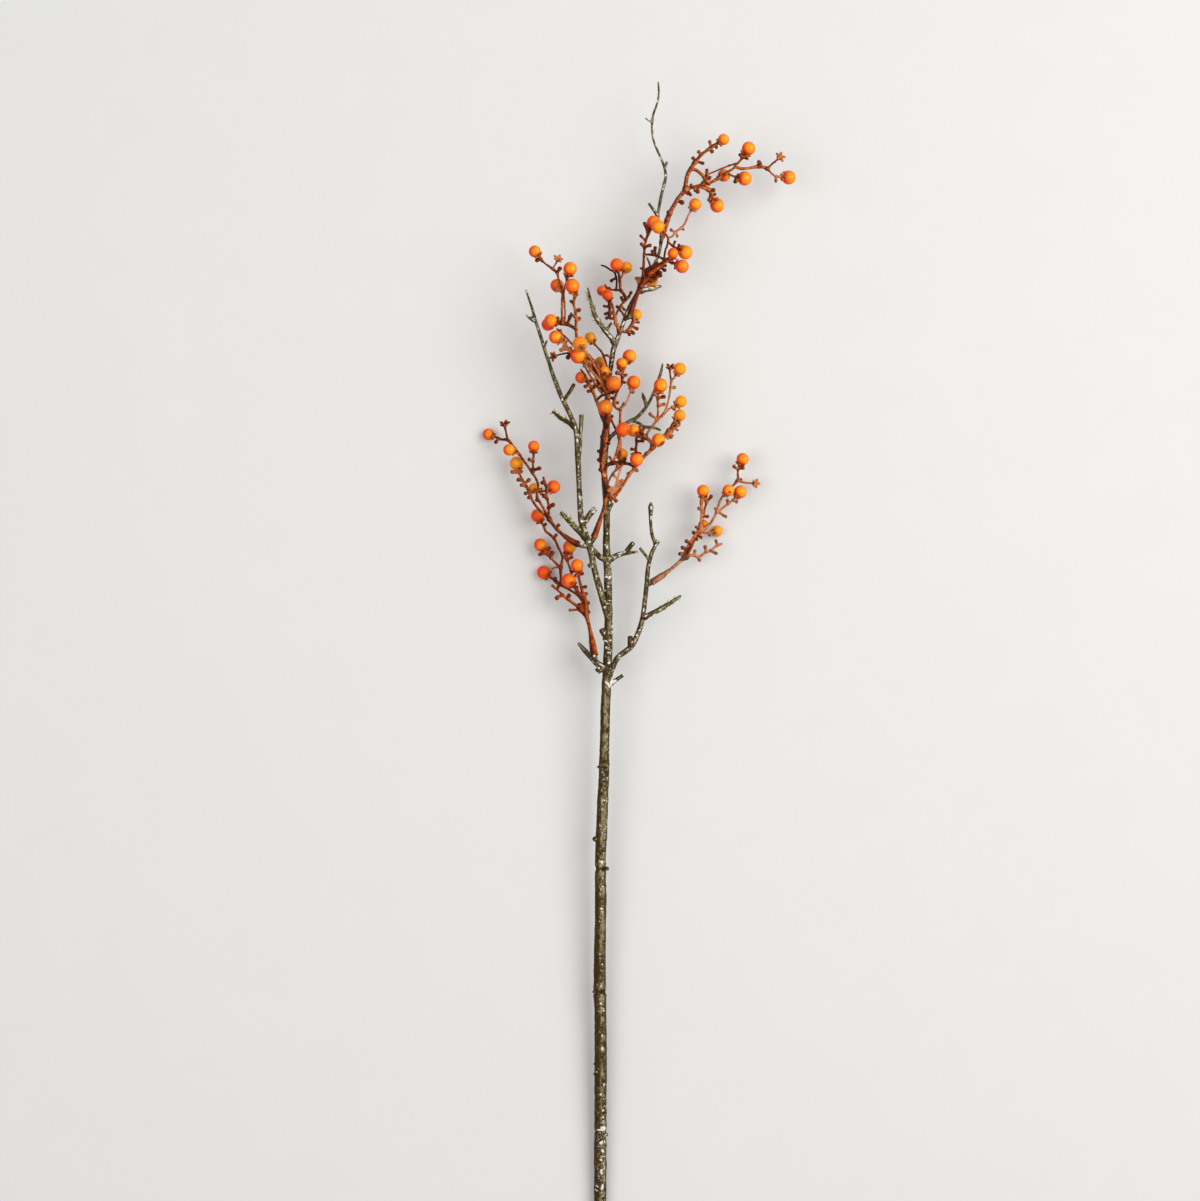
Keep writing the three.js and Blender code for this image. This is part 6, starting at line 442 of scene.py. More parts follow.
def route(rows, step):
    """A centripetal Catmull-Rom curve through (x, y, z, r) rows: points, radii and length along it."""
    rows = np.array(rows, float)
    keep = [0]
    for i in range(1, len(rows)):
        if np.linalg.norm(rows[i, :3] - rows[keep[-1], :3]) > 0.12:
            keep.append(i)
    rows = rows[keep]
    if len(rows) == 1:
        rows = np.vstack([rows, rows + np.array([0, 0, 0.2, 0])])
    q = np.vstack([2 * rows[0] - rows[1], rows, 2 * rows[-1] - rows[-2]])
    out = []
    for i in range(1, len(q) - 2):
        p0, p1, p2, p3 = q[i - 1], q[i], q[i + 1], q[i + 2]
        t = [0.0]
        for a, b in ((p0, p1), (p1, p2), (p2, p3)):
            t.append(t[-1] + max(np.linalg.norm(b[:3] - a[:3]), 1e-3) ** 0.5)
        n = max(1, int(round(np.linalg.norm(p2[:3] - p1[:3]) / step)))
        for k in range(n):
            x = t[1] + (t[2] - t[1]) * k / n
            a1 = p0 + (p1 - p0) * ((x - t[0]) / (t[1] - t[0]))
            a2 = p1 + (p2 - p1) * ((x - t[1]) / (t[2] - t[1]))
            a3 = p2 + (p3 - p2) * ((x - t[2]) / (t[3] - t[2]))
            b1 = a1 + (a2 - a1) * ((x - t[0]) / (t[2] - t[0]))
            b2 = a2 + (a3 - a2) * ((x - t[1]) / (t[3] - t[1]))
            c = b1 + (b2 - b1) * ((x - t[1]) / (t[2] - t[1]))
            c[3] = p1[3] + (p2[3] - p1[3]) * smooth(0, 1, k / n)
            out.append(c)
    out.append(q[-2])
    out = np.array(out)
    s = np.concatenate([[0], np.cumsum(np.linalg.norm(np.diff(out[:, :3], axis=0), axis=1))])
    return out[:, :3], out[:, 3], s


def frames(c):
    """Tangents and two side directions along the points, without twist."""
    t = np.gradient(c, axis=0)
    t /= np.maximum(np.linalg.norm(t, axis=1, keepdims=True), 1e-9)
    up = np.array([0.0, 0.0, 1.0]) if abs(t[0][2]) < 0.9 else np.array([1.0, 0.0, 0.0])
    n = unit(up - t[0] * float(up @ t[0]))
    ns = [n]
    for i in range(1, len(c)):
        n = ns[-1] - t[i] * float(ns[-1] @ t[i])
        ns.append(unit(n))
    ns = np.array(ns)
    return t, ns, np.cross(t, ns)


def tube(c, r, s, sides, start="flat", end="round", relief=None):
    """A closed tube of rings. start and end are flat (a cut face), round or point."""
    t, n, b = frames(c)
    ang = np.arange(sides) * 2 * math.pi / sides
    rr = np.repeat(r[:, None], sides, 1)
    if relief is not None:
        rr = np.maximum(rr + relief(s[:, None] + 0 * ang[None], ang[None] + 0 * s[:, None], rr), 0.25)
    side = n[:, None, :] * np.cos(ang)[None, :, None] + b[:, None, :] * np.sin(ang)[None, :, None]
    rings = [c[i] + side[i] * rr[i][:, None] for i in range(len(c))]

    def cap(i, sign, kind):
        base, radius, axis = rr[i], float(r[i]), t[i] * sign
        if kind == "flat":
            prof = [(0.22, 0.9), (0.26, 0.72), (0.14, 0.4)]
            tip = 0.02
        elif kind == "point":
            prof = [(0.9 * k, math.cos(k * math.pi / 2) ** 0.9) for k in (0.3, 0.55, 0.8, 0.93)]
            prof = [(h * radius * 1.6, w) for h, w in prof]
            tip = radius * 1.55
        else:
            prof = [(math.sin(k * math.pi / 2) * radius * 0.85, math.cos(k * math.pi / 2)) for k in (0.25, 0.5, 0.72, 0.9)]
            tip = radius * 0.86
        made = [c[i] + axis * h + side[i] * (base * w)[:, None] for h, w in prof]
        return made, c[i] + axis * tip

    head, head_tip = cap(0, -1, start)
    tail, tail_tip = cap(len(c) - 1, 1, end)
    rings = list(reversed(head)) + rings + tail
    v = np.vstack(rings + [head_tip[None], tail_tip[None]])
    m, k = len(rings), sides
    faces = []
    for i in range(m - 1):
        for j in range(k):
            j2 = (j + 1) % k
            faces.append((i * k + j, (i + 1) * k + j, (i + 1) * k + j2, i * k + j2))
    for j in range(k):
        j2 = (j + 1) % k
        faces.append((m * k, j, j2))
        faces.append((m * k + 1, (m - 1) * k + j2, (m - 1) * k + j))
    return v, [tuple(reversed(f)) for f in faces]


def ball(centre, radius, seg=10, ring=7, squash=None):
    """A closed ball; squash=(axis, factor) flattens it."""
    v, faces = [np.array([0, 0, 1.0])], []
    for i in range(1, ring):
        a = math.pi * i / ring
        for j in range(seg):
            b = 2 * math.pi * j / seg
            v.append(np.array([math.sin(a) * math.cos(b), math.sin(a) * math.sin(b), math.cos(a)]))
    v.append(np.array([0, 0, -1.0]))
    v = np.array(v)
    last = len(v) - 1
    for j in range(seg):
        j2 = (j + 1) % seg
        faces.append((0, 1 + j, 1 + j2))
        faces.append((last, 1 + (ring - 2) * seg + j2, 1 + (ring - 2) * seg + j))
        for i in range(ring - 2):
            a, b2 = 1 + i * seg, 1 + (i + 1) * seg
            faces.append((a + j, b2 + j, b2 + j2, a + j2))
    if squash is not None:
        axis, f = unit(squash[0]), squash[1]
        v = v + np.outer(v @ axis, axis) * (f - 1)
    return v * radius + np.asarray(centre), faces


def mesh_object(name, v, faces):
    me = bpy.data.meshes.new(name)
    me.from_pydata([tuple(p) for p in np.asarray(v) * MM], [], faces)
    me.validate()
    me.update()
    ob = bpy.data.objects.new(name, me)
    bpy.context.scene.collection.objects.link(ob)
    return ob


def joined(parts):
    vs, fs, n = [], [], 0
    for v, f in parts:
        vs.append(v)
        fs += [tuple(i + n for i in face) for face in f]
        n += len(v)
    return np.vstack(vs), fs


def coords(me):
    a = np.zeros(len(me.vertices) * 3, np.float64)
    me.vertices.foreach_get("co", a)
    return a.reshape(-1, 3) / MM


def set_coords(me, v):
    me.vertices.foreach_set("co", (np.asarray(v) * MM).astype(np.float32).ravel())
    me.update()


def normals(me):
    a = np.zeros(len(me.vertices) * 3, np.float32)
    me.vertex_normals.foreach_get("vector", a)
    return a.reshape(-1, 3).astype(float)


def evaluated(ob):
    """Replaces the object's mesh with what its modifiers give, and removes them."""
    dg = bpy.context.evaluated_depsgraph_get()
    dg.update()
    me = bpy.data.meshes.new_from_object(ob.evaluated_get(dg))
    ob.modifiers.clear()
    old = ob.data
    ob.data = me
    bpy.data.meshes.remove(old)
    return ob


def volume(me):
    bm = bmesh.new()
    bm.from_mesh(me)
    v = bm.calc_volume(signed=True)
    open_edges = sum(1 for e in bm.edges if not e.is_manifold)
    bm.free()
    return v, open_edges


def attribute(me, name, values):
    a = me.attributes.new(name, "FLOAT", "POINT")
    a.data.foreach_set("value", np.asarray(values, np.float32))


def shade_smooth(me):
    me.polygons.foreach_set("use_smooth", np.ones(len(me.polygons), bool))
    me.update()


def edges_of(me):
    e = np.zeros(len(me.edges) * 2, np.int64)
    me.edges.foreach_get("vertices", e)
    return e.reshape(-1, 2)


def relax(me, times, lam=0.5, mu=-0.52, weight=None):
    """Taubin smoothing: evens the skin without thinning it."""
    v, e = coords(me), edges_of(me)
    n = len(v)
    deg = np.bincount(e.ravel(), minlength=n).astype(float)[:, None]
    w = np.ones((n, 1)) if weight is None else np.asarray(weight, float)[:, None]
    for k in range(times):
        for f in (lam, mu):
            s = np.zeros_like(v)
            for ax in range(3):
                s[:, ax] = np.bincount(e[:, 0], v[e[:, 1], ax], n) + np.bincount(e[:, 1], v[e[:, 0], ax], n)
            v = v + (s / np.maximum(deg, 1) - v) * f * w
    set_coords(me, v)


class Lines:
    """Nearest centreline sample of a piece's limbs, for colours and relief."""

    def __init__(self, samples):
        # samples: rows of x, y, z, radius, then any values
        self.a = np.array(samples, float)
        self.cell = 4.0
        self.grid = {}
        for i, p in enumerate(np.floor(self.a[:, :3] / self.cell).astype(int)):
            self.grid.setdefault(tuple(p), []).append(i)

    def nearest(self, v):
        """Index of the sample whose surface is nearest each point, and the distance from its axis less its radius."""
        keys = np.floor(v / self.cell).astype(int)
        order = np.lexsort((keys[:, 2], keys[:, 1], keys[:, 0]))
        ks = keys[order]
        cut = np.concatenate([[0], np.nonzero(np.any(np.diff(ks, axis=0) != 0, axis=1))[0] + 1, [len(ks)]])
        idx = np.zeros(len(v), int)
        gap = np.zeros(len(v))
        for a, b in zip(cut[:-1], cut[1:]):
            rows = order[a:b]
            k = ks[a]
            cand = []
            for reach in (1, 2, 4):
                for dx in range(-reach, reach + 1):
                    for dy in range(-reach, reach + 1):
                        for dz in range(-reach, reach + 1):
                            cand += self.grid.get((k[0] + dx, k[1] + dy, k[2] + dz), [])
                if cand:
                    break
            cand = np.array(cand)
            d = np.linalg.norm(v[rows][:, None] - self.a[cand][None, :, :3], axis=2) - self.a[cand][None, :, 3]
            j = d.argmin(1)
            idx[rows] = cand[j]
            gap[rows] = d[np.arange(len(rows)), j]
        return idx, gap


# ---------------------------------------------------------------- materials


class Mat:
    """A node material, written as short calls."""

    def __init__(self, name):
        self.m = bpy.data.materials.new(name)
        self.m.use_nodes = True
        self.t = self.m.node_tree
        self.t.nodes.clear()
        self.out = self.t.nodes.new("ShaderNodeOutputMaterial")
        self.b = self.t.nodes.new("ShaderNodeBsdfPrincipled")
        self.t.links.new(self.b.outputs[0], self.out.inputs[0])

    def node(self, kind, **kw):
        n = self.t.nodes.new(kind)
        for k, v in kw.items():
            setattr(n, k, v)
        return n

    def link(self, a, b):
        self.t.links.new(a, b)

    def coords(self, scale=(1, 1, 1)):
        """Position in millimetres, stretched."""
        g = self.node("ShaderNodeTexCoord")
        m = self.node("ShaderNodeMapping")
        m.inputs["Scale"].default_value = tuple(1000.0 * v for v in scale)
        self.link(g.outputs["Object"], m.inputs["Vector"])
        return m.outputs[0]

    def noise(self, scale, detail=3.0, rough=0.55, stretch=(1, 1, 1), distortion=0.0):
        n = self.node("ShaderNodeTexNoise")
        n.inputs["Scale"].default_value = scale
        n.inputs["Detail"].default_value = detail
        n.inputs["Roughness"].default_value = rough
        n.inputs["Distortion"].default_value = distortion
        self.link(self.coords(stretch), n.inputs["Vector"])
        return n.outputs["Fac"]

    def cells(self, scale, stretch=(1, 1, 1), feature="F1"):
        n = self.node("ShaderNodeTexVoronoi", feature=feature)
        n.inputs["Scale"].default_value = scale
        self.link(self.coords(stretch), n.inputs["Vector"])
        return n.outputs["Distance"]

    def attr(self, name):
        n = self.node("ShaderNodeAttribute", attribute_name=name)
        return n.outputs["Fac"]

    def band(self, x, a, b, lo=0.0, hi=1.0, smooth=True):
        n = self.node("ShaderNodeMapRange", interpolation_type="SMOOTHSTEP" if smooth else "LINEAR")
        n.inputs["From Min"].default_value = a
        n.inputs["From Max"].default_value = b
        n.inputs["To Min"].default_value = lo
        n.inputs["To Max"].default_value = hi
        self.link(x, n.inputs["Value"])
        return n.outputs["Result"]

    def math(self, op, a, b=None):
        n = self.node("ShaderNodeMath", operation=op)
        for i, x in enumerate((a, b)):
            if x is None:
                continue
            if isinstance(x, (int, float)):
                n.inputs[i].default_value = x
            else:
                self.link(x, n.inputs[i])
        return n.outputs[0]

    def mix(self, fac, a, b, blend="MIX"):
        n = self.node("ShaderNodeMix", data_type="RGBA", blend_type=blend)
        for key, x in (("Factor", fac), ("A", a), ("B", b)):
            sock = [s for s in n.inputs if s.name == key and (s.type == "RGBA" or key == "Factor") and s.enabled][0]
            if isinstance(x, (int, float)):
                sock.default_value = x
            elif isinstance(x, tuple):
                sock.default_value = x if len(x) == 4 else x + (1.0,)
            else:
                self.link(x, sock)
        return [s for s in n.outputs if s.type == "RGBA"][0]

    def bump(self, height, strength, distance):
        n = self.node("ShaderNodeBump")
        n.inputs["Strength"].default_value = strength
        n.inputs["Distance"].default_value = distance
        self.link(height, n.inputs["Height"])
        self.link(n.outputs[0], self.b.inputs["Normal"])

    def set(self, **kw):
        for k, v in kw.items():
            self.b.inputs[k.replace("_", " ")].default_value = v

    def colour(self, sock):
        self.link(sock, self.b.inputs["Base Color"])

    def rough(self, sock):
        self.link(sock, self.b.inputs["Roughness"])


def bark_material():
    m = Mat("bark")
    tone, high, twig, frost = m.attr("tone"), m.attr("high"), m.attr("twig"), m.attr("frost")
    side, up, key_facing = m.attr("side"), m.attr("up"), m.attr("key_facing")
    broad = m.noise(0.10, 3, 0.6, (1, 0.45, 1))
    fine = m.noise(0.85, 4, 0.7)

    def wrap(length, turn, detail, rough):
        # a noise laid along and round the limb
        t = m.node("ShaderNodeTexNoise")
        t.inputs["Scale"].default_value = 1.0
        t.inputs["Detail"].default_value = detail
        t.inputs["Roughness"].default_value = rough
        xy = m.node("ShaderNodeCombineXYZ")
        m.link(m.math("MULTIPLY", m.attr("along"), length), xy.inputs[0])
        m.link(m.math("MULTIPLY", m.attr("round"), turn), xy.inputs[1])
        m.link(xy.outputs[0], t.inputs["Vector"])
        return t.outputs["Fac"]

    bands = wrap(0.55, 1.3, 2.5, 0.65)
    streaks = wrap(0.13, 4.2, 3.0, 0.65)
    col = m.mix(m.band(broad, 0.36, 0.64), (0.076, 0.046, 0.007), (0.132, 0.093, 0.022))
    # the tone of each limb
    col = m.mix(m.band(tone, 0.5, 0.0, 0.0, 0.85), col, (0.034, 0.019, 0.002))
    col = m.mix(m.band(tone, 0.5, 1.0, 0.0, 0.75), col, (0.30, 0.25, 0.10))
    # twigs are greener
    col = m.mix(m.math("MULTIPLY", twig, 0.30), col, (0.168, 0.124, 0.018))
    col = m.mix(m.band(bands, 0.48, 0.34, 0.0, 0.75), col, (0.032, 0.018, 0.002))
    col = m.mix(m.band(streaks, 0.50, 0.38, 0.0, 0.80), col, (0.030, 0.017, 0.002))
    col = m.mix(m.band(fine, 0.51, 0.38, 0.0, 0.85), col, (0.026, 0.015, 0.002))
    mottle = m.noise(0.32, 2, 0.6, (1, 0.5, 1), 0.3)
    speck = m.noise(0.52, 2, 0.6, (1, 0.6, 1), 0.4)
    # pale worn streaks and mottling, laid only where the limb faces the lamp, so they also act as a painted highlight
    lit_side_wear = m.band(key_facing, 0.45, 0.95, 0.25, 1.0)
    col = m.mix(m.math("MULTIPLY", m.band(streaks, 0.51, 0.64, 0.0, 0.8), lit_side_wear), col, (0.30, 0.245, 0.112))
    col = m.mix(m.math("MULTIPLY", m.band(bands, 0.53, 0.68, 0.0, 0.6), lit_side_wear), col, (0.30, 0.245, 0.112))
    col = m.mix(m.math("MULTIPLY", m.band(fine, 0.53, 0.66, 0.0, 0.75), lit_side_wear), col, (0.45, 0.385, 0.19))
    col = m.mix(m.math("MULTIPLY", m.band(mottle, 0.54, 0.64, 0.0, 0.6), lit_side_wear), col, (0.49, 0.43, 0.23))
    col = m.mix(m.band(mottle, 0.50, 0.42, 0.0, 0.70), col, (0.028, 0.016, 0.002))
    grain = m.noise(1.05, 2, 0.6, (1, 0.7, 1), 0.3)
    col = m.mix(m.band(grain, 0.52, 0.40, 0.0, 0.50), col, (0.070, 0.040, 0.008))
    col = m.mix(m.band(speck, 0.45, 0.39, 0.0, 0.72), col, (0.022, 0.012, 0.001))
    # painted highlight on the raised relief and painted shade in its furrows
    col = m.mix(m.band(high, 0.10, 0.60, 0.0, 0.5), col, (0.34, 0.28, 0.14))
    col = m.mix(m.band(high, -0.10, -0.60, 0.0, 0.85), col, (0.022, 0.012, 0.001))
    # painted shade: darker on the side away from the lamp (more so on dark limbs), along the far right edge and on the
    # flanks
    lean = m.math("ADD", side, m.band(tone, 0.20, 0.60, -0.44, 0.04))
    col = m.mix(m.band(lean, -0.26, -0.66, 0.0, 0.90), col, (0.050, 0.023, 0.002))
    col = m.mix(m.band(side, 0.55, 0.88, 0.0, 0.88), col, (0.050, 0.030, 0.004))
    col = m.mix(m.band(up, 0.50, 0.10, 0.0, 0.75), col, (0.030, 0.015, 0.001))
    # cream paint flecks, thick where the frosting is, gathered where the limb faces the lamp so they also serve as
    # painted glints
    spread = m.math("ADD", frost, m.math("ADD", m.band(m.noise(0.16, 2, 0.5), 0.35, 0.65, -0.3, 0.3), m.band(bands, 0.4, 0.65, -0.08, 0.15)))
    chip = m.noise(0.50, 2, 0.55, (1, 0.8, 1), 0.6)
    grit = m.noise(1.25, 2, 0.6, (1, 0.9, 1), 0.4)
    place = m.band(key_facing, 0.55, 0.93, 0.12, 1.0)
    col = m.mix(m.math("MULTIPLY", m.math("MULTIPLY", m.band(grit, 0.59, 0.67), m.band(spread, 0.05, 0.70, 0.0, 0.9)), place), col, (0.62, 0.56, 0.38))
    col = m.mix(m.math("MULTIPLY", m.math("MULTIPLY", m.band(chip, 0.58, 0.64), m.band(spread, 0.20, 0.80, 0.0, 1.0)), place), col, (0.84, 0.80, 0.68))
    # whitened stubs
    col = m.mix(m.math("MULTIPLY", m.band(frost, 0.80, 1.05, 0.0, 0.9), m.band(fine, 0.46, 0.55)), col, (0.88, 0.86, 0.80))
    m.colour(col)
    m.rough(m.band(fine, 0.3, 0.7, 0.6, 0.4))
    h = m.math("ADD", m.math("MULTIPLY", fine, 0.7), m.math("MULTIPLY", bands, 0.5))
    h = m.math("ADD", h, m.math("MULTIPLY", streaks, 0.5))
    m.bump(h, 0.9, 0.0009)
    m.set(Specular_IOR_Level=0.08)
    return m.m


def stalk_material():
    m = Mat("stalk")
    tone, pink, knob, high = m.attr("tone"), m.attr("pink"), m.attr("knob"), m.attr("high")
    side, up, key_facing = m.attr("side"), m.attr("up"), m.attr("key_facing")
    broad = m.noise(0.16, 3, 0.6)
    thick = m.attr("thick")
    fine = m.mix(m.math("MULTIPLY", thick, 0.75), m.noise(0.7, 3, 0.65), (0.5, 0.5, 0.5))
    x = m.math("ADD", tone, m.band(broad, 0.3, 0.7, -0.24, 0.16))
    x = m.math("ADD", x, m.band(fine, 0.3, 0.7, -0.22, 0.22))
    # painted highlight on rises and painted shade in hollows, painted shade on the side away from the lamp, painted
    # light on the side facing it
    x = m.math("ADD", x, m.band(high, -0.6, 0.6, -0.24, 0.20))
    x = m.math("ADD", x, m.band(side, -0.9, 0.9, -0.30, 0.24))
    x = m.math("ADD", x, m.band(key_facing, 0.2, 0.95, -0.22, 0.18))
    col = m.mix(m.band(x, 0.0, 0.5), (0.036, 0.0045, 0.0003), (0.205, 0.028, 0.0008))
    col = m.mix(m.band(x, 0.46, 0.98), col, (0.52, 0.125, 0.006))
    col = m.mix(m.math("MULTIPLY", m.band(pink, 0.0, 1.0), m.band(x, 0.1, 0.6, 0.4, 1.0)), col, (0.60, 0.205, 0.088))
    # weathered brown stalks
    brown = m.mix(m.band(x, 0.05, 0.75), (0.050, 0.020, 0.005), (0.44, 0.25, 0.115))
    col = m.mix(m.band(pink, 1.0, 2.0, 0.0, 0.9), col, brown)
    # moulded sprays that are a purer red
    col = m.mix(m.math("MULTIPLY", m.band(pink, 0.0, -1.0), m.band(x, 0.1, 0.6, 0.35, 1.0)), col, (0.44, 0.040, 0.001))
    # salmon wear in streaks, shown most where the painted light above makes the stalk lighter
    wear = m.mix(m.math("MULTIPLY", thick, 0.85), m.band(m.noise(0.5, 3, 0.6), 0.53, 0.64), (0.0, 0.0, 0.0))
    col = m.mix(m.math("MULTIPLY", wear, m.band(x, 0.45, 0.85, 0.05, 0.85)), col, (0.74, 0.34, 0.15))
    # a painted highlight along the top of the sleeves, where they face the lamp
    col = m.mix(m.math("MULTIPLY", m.math("MULTIPLY", thick, m.band(tone, 0.25, 0.6)), m.band(key_facing, 0.93, 0.995, 0.0, 0.5)), col, (0.62, 0.22, 0.06))
    # painted shade on the flanks and undersides
    col = m.mix(m.band(up, 0.40, 0.0, 0.0, 0.55), col, (0.050, 0.007, 0.0005))
    col = m.mix(m.band(knob, 0.3, 1.0, 0.0, 0.25), col, (0.14, 0.018, 0.001))
    m.colour(col)
    m.rough(m.band(fine, 0.3, 0.7, 0.26, 0.42))
    m.bump(fine, 0.5, 0.0006)
    m.set(Specular_IOR_Level=0.12)
    return m.m


def berry_material(name, deep, body, pale, blush):
    """deep at the calyx and as painted shade on the side away from the lamp, body over most of it, pale as painted
    light on the side facing the lamp.
    """
    m = Mat(name)
    base, hue, red, dull, spot, patch = m.attr("base"), m.attr("hue"), m.attr("red"), m.attr("dull"), m.attr("spot"), m.attr("patch")
    cloud = m.noise(0.13, 3, 0.6)
    fine = m.noise(1.4, 3, 0.6)
    x = m.math("ADD", base, m.band(cloud, 0.3, 0.7, -0.10, 0.10))
    x = m.math("ADD", x, m.band(fine, 0.3, 0.7, -0.04, 0.04))
    col = m.mix(m.band(x, 0.02, 0.48), pale, body)
    # a paler painted highlight where the berry faces the lamp
    col = m.mix(m.band(x, 0.02, -0.32, 0.0, 0.75), col, (1.0, 0.46, 0.040))
    col = m.mix(m.band(x, 0.44, 0.98), col, deep)
    col = m.mix(m.math("MULTIPLY", m.band(m.attr("calyx"), 0.62, 1.0), red), col, (0.34, 0.018, 0.001))
    col = m.mix(m.band(hue, 0.0, 1.0, 0.0, 0.85), col, blush)
    col = m.mix(m.band(hue, 0.0, -1.0, 0.0, 0.7), col, (1.0, 0.40, 0.010))
    green = m.mix(m.band(cloud, 0.4, 0.62), (0.52, 0.17, 0.005), (0.28, 0.22, 0.010))
    col = m.mix(m.math("MULTIPLY", dull, m.band(m.noise(0.22, 2, 0.5), 0.36, 0.62, 0.35, 1.0)), col, green)
    # fine pores
    pore = m.cells(1.1)
    col = m.mix(m.math("MULTIPLY", m.band(pore, 0.16, 0.06), 0.22), col, (0.60, 0.09, 0.003))
    col = m.mix(patch, col, (0.30, 0.014, 0.003))
    col = m.mix(spot, col, (0.10, 0.022, 0.006))
    m.colour(col)
    m.rough(m.band(fine, 0.3, 0.7, 0.27, 0.36))
    m.bump(m.math("ADD", m.math("MULTIPLY", fine, 0.5), m.math("MULTIPLY", m.band(pore, 0.0, 0.25), 0.6)), 0.12, 0.0003)
    m.set(Specular_IOR_Level=0.24, Subsurface_Weight=0.18, Subsurface_Scale=0.0025)
    m.b.inputs["Subsurface Radius"].default_value = (1.0, 0.20, 0.05)
    return m.m


def hair_material():
    m = Mat("twig_hair")
    along = m.attr("along")
    f = m.noise(0.35, 2, 0.5)
    col = m.mix(m.band(along, 0.0, 0.8), (0.17, 0.135, 0.030), (0.46, 0.40, 0.12))
    col = m.mix(m.band(f, 0.45, 0.65, 0.0, 0.5), col, (0.16, 0.15, 0.05))
    m.colour(col)
    m.rough(m.band(f, 0.3, 0.7, 0.5, 0.65))
    m.bump(f, 0.1, 0.0002)
    return m.m


def dab_material():
    m = Mat("white_dabs")
    f = m.noise(0.9, 3, 0.6)
    col = m.mix(m.band(f, 0.35, 0.65), (0.62, 0.60, 0.52), (0.88, 0.87, 0.82))
    m.colour(col)
    m.rough(m.band(f, 0.3, 0.7, 0.35, 0.55))
    m.bump(f, 0.4, 0.0003)
    return m.m


BARK, STALK, HAIR, DAB = bark_material(), stalk_material(), hair_material(), dab_material()
ORANGE = berry_material("berry_orange", (0.68, 0.026, 0.0002), (0.93, 0.120, 0.0003), (1.0, 0.310, 0.003), (0.84, 0.045, 0.003))


def settle(ob, slot_name, material, *replaced):
    """Gives a piece its material and its place in the frame."""
    ob.data.materials.clear()
    ob.data.materials.append(material)
    shade_smooth(ob.data)
    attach(ob, "root")
    if replaced:
        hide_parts(*replaced)
    return ob


# ---------------------------------------------------------------- wood

CUT_ENDS = {"right_low_stub", "left_stub", "mid_right_stub", "upper_knob", "cut_stub", "fork_stub", "knob", "tall_stub", "low_nub", "left_low_nub",
            "peg_upper", "peg_top_right", "peg_centre", "peg_left", "peg_lower_left", "peg_right", "leader_bud", "bud_a"}
POINTED = {"mid_right_twig", "needle_twig", "left_low_twig", "left_fork", "right_bough", "bud_b", "leader_stub"}
BUTT_LOOK = "flat"


def bark_relief(seed, rings, thick):
    rng = np.random.default_rng(seed)
    pos, marks = 2.0, []
    while pos < 1200:
        marks.append((pos, rng.uniform(0.05, 0.22) * (1 if rng.random() < 0.7 else -0.9), rng.uniform(0.35, 0.8)))
        pos += rng.uniform(1.6, 7.5)
    marks = np.array(marks)

    def relief(s, ang, rr):
        k = np.clip(rr / 4.0, 0.28, 1.0)
        x, y = np.cos(ang) * rr, np.sin(ang) * rr
        out = 0.30 * fbm(np.stack([x / 5.0, y / 5.0, s / 9.0], -1), 2, seed)
        out += 0.16 * fbm(np.stack([x / 1.3, y / 1.3, s / 5.0], -1), 2, seed + 7)
        out += 0.13 * fbm(np.stack([x / 1.0, y / 1.0, s / 1.1], -1), 2, seed + 13)
        flat = out * 0
        line = s[:, 0]
        for p, h, w in marks[(marks[:, 0] > line[0] - 3) & (marks[:, 0] < line[-1] + 3)]:
            rows = np.nonzero(np.abs(line - p) < 3.5 * w + 0.8)[0]
            if not len(rows):
                continue
            wob = 0.5 * noise(np.stack([x[rows] / 2.5, y[rows] / 2.5, 0 * x[rows] + p * 3.1], -1), seed + 23)
            part = smooth(-0.35, 0.35, noise(np.stack([x[rows] / 3.2, y[rows] / 3.2, 0 * x[rows] + p * 1.7], -1), seed + 31))
            flat[rows] += h * part * np.exp(-(((s[rows] - p + wob) / w) ** 2))
        out = (out + flat * 1.5) * k
        for p, h, w in rings:
            rows = np.nonzero(np.abs(line - p) < 3.2 * w + 1.0)[0]
            if not len(rows):
                continue
            wob = 0.45 * noise(np.stack([x[rows] / 3.0, y[rows] / 3.0, 0 * x[rows] + p], -1), seed + 41)
            out[rows] += h * (0.8 + 0.35 * noise(np.stack([x[rows] / 2.0, y[rows] / 2.0, 0 * x[rows] + p], -1), seed + 43)) * np.exp(-(((s[rows] - p + wob) / w) ** 2))
        return out

    return relief


def solid_union(base, others):
    for other in others:
        before, _ = volume(base.data)
        done = False
        for solver in ("MANIFOLD", "EXACT"):
            mod = base.modifiers.new("join", "BOOLEAN")
            mod.operation = "UNION"
            mod.object = other
            try:
                mod.solver = solver
            except TypeError:
                base.modifiers.clear()
                continue
            dg = bpy.context.evaluated_depsgraph_get()
            dg.update()
            me = bpy.data.meshes.new_from_object(base.evaluated_get(dg))
            base.modifiers.clear()
            after, loose = volume(me)
            if after > before * 0.999 and loose == 0 and len(me.vertices) > 0:
                old = base.data
                base.data = me
                bpy.data.meshes.remove(old)
                done = True
                break
            bpy.data.meshes.remove(me)
        if not done:
            print("union left out:", base.name, other.name)
        gone = other.data
        bpy.data.objects.remove(other)
        bpy.data.meshes.remove(gone)
    return base


def host_radius(p, curves, skip):
    """Radius of the limb that the point p lies in, or 0."""
    best = 0.0
    for name, (c, r, s) in curves.items():
        if name == skip:
            continue
        d = np.linalg.norm(c - p, axis=1)
        i = int(d.argmin())
        if d[i] < r[i] * 1.05 and r[i] > best:
            best = float(r[i])
    return best


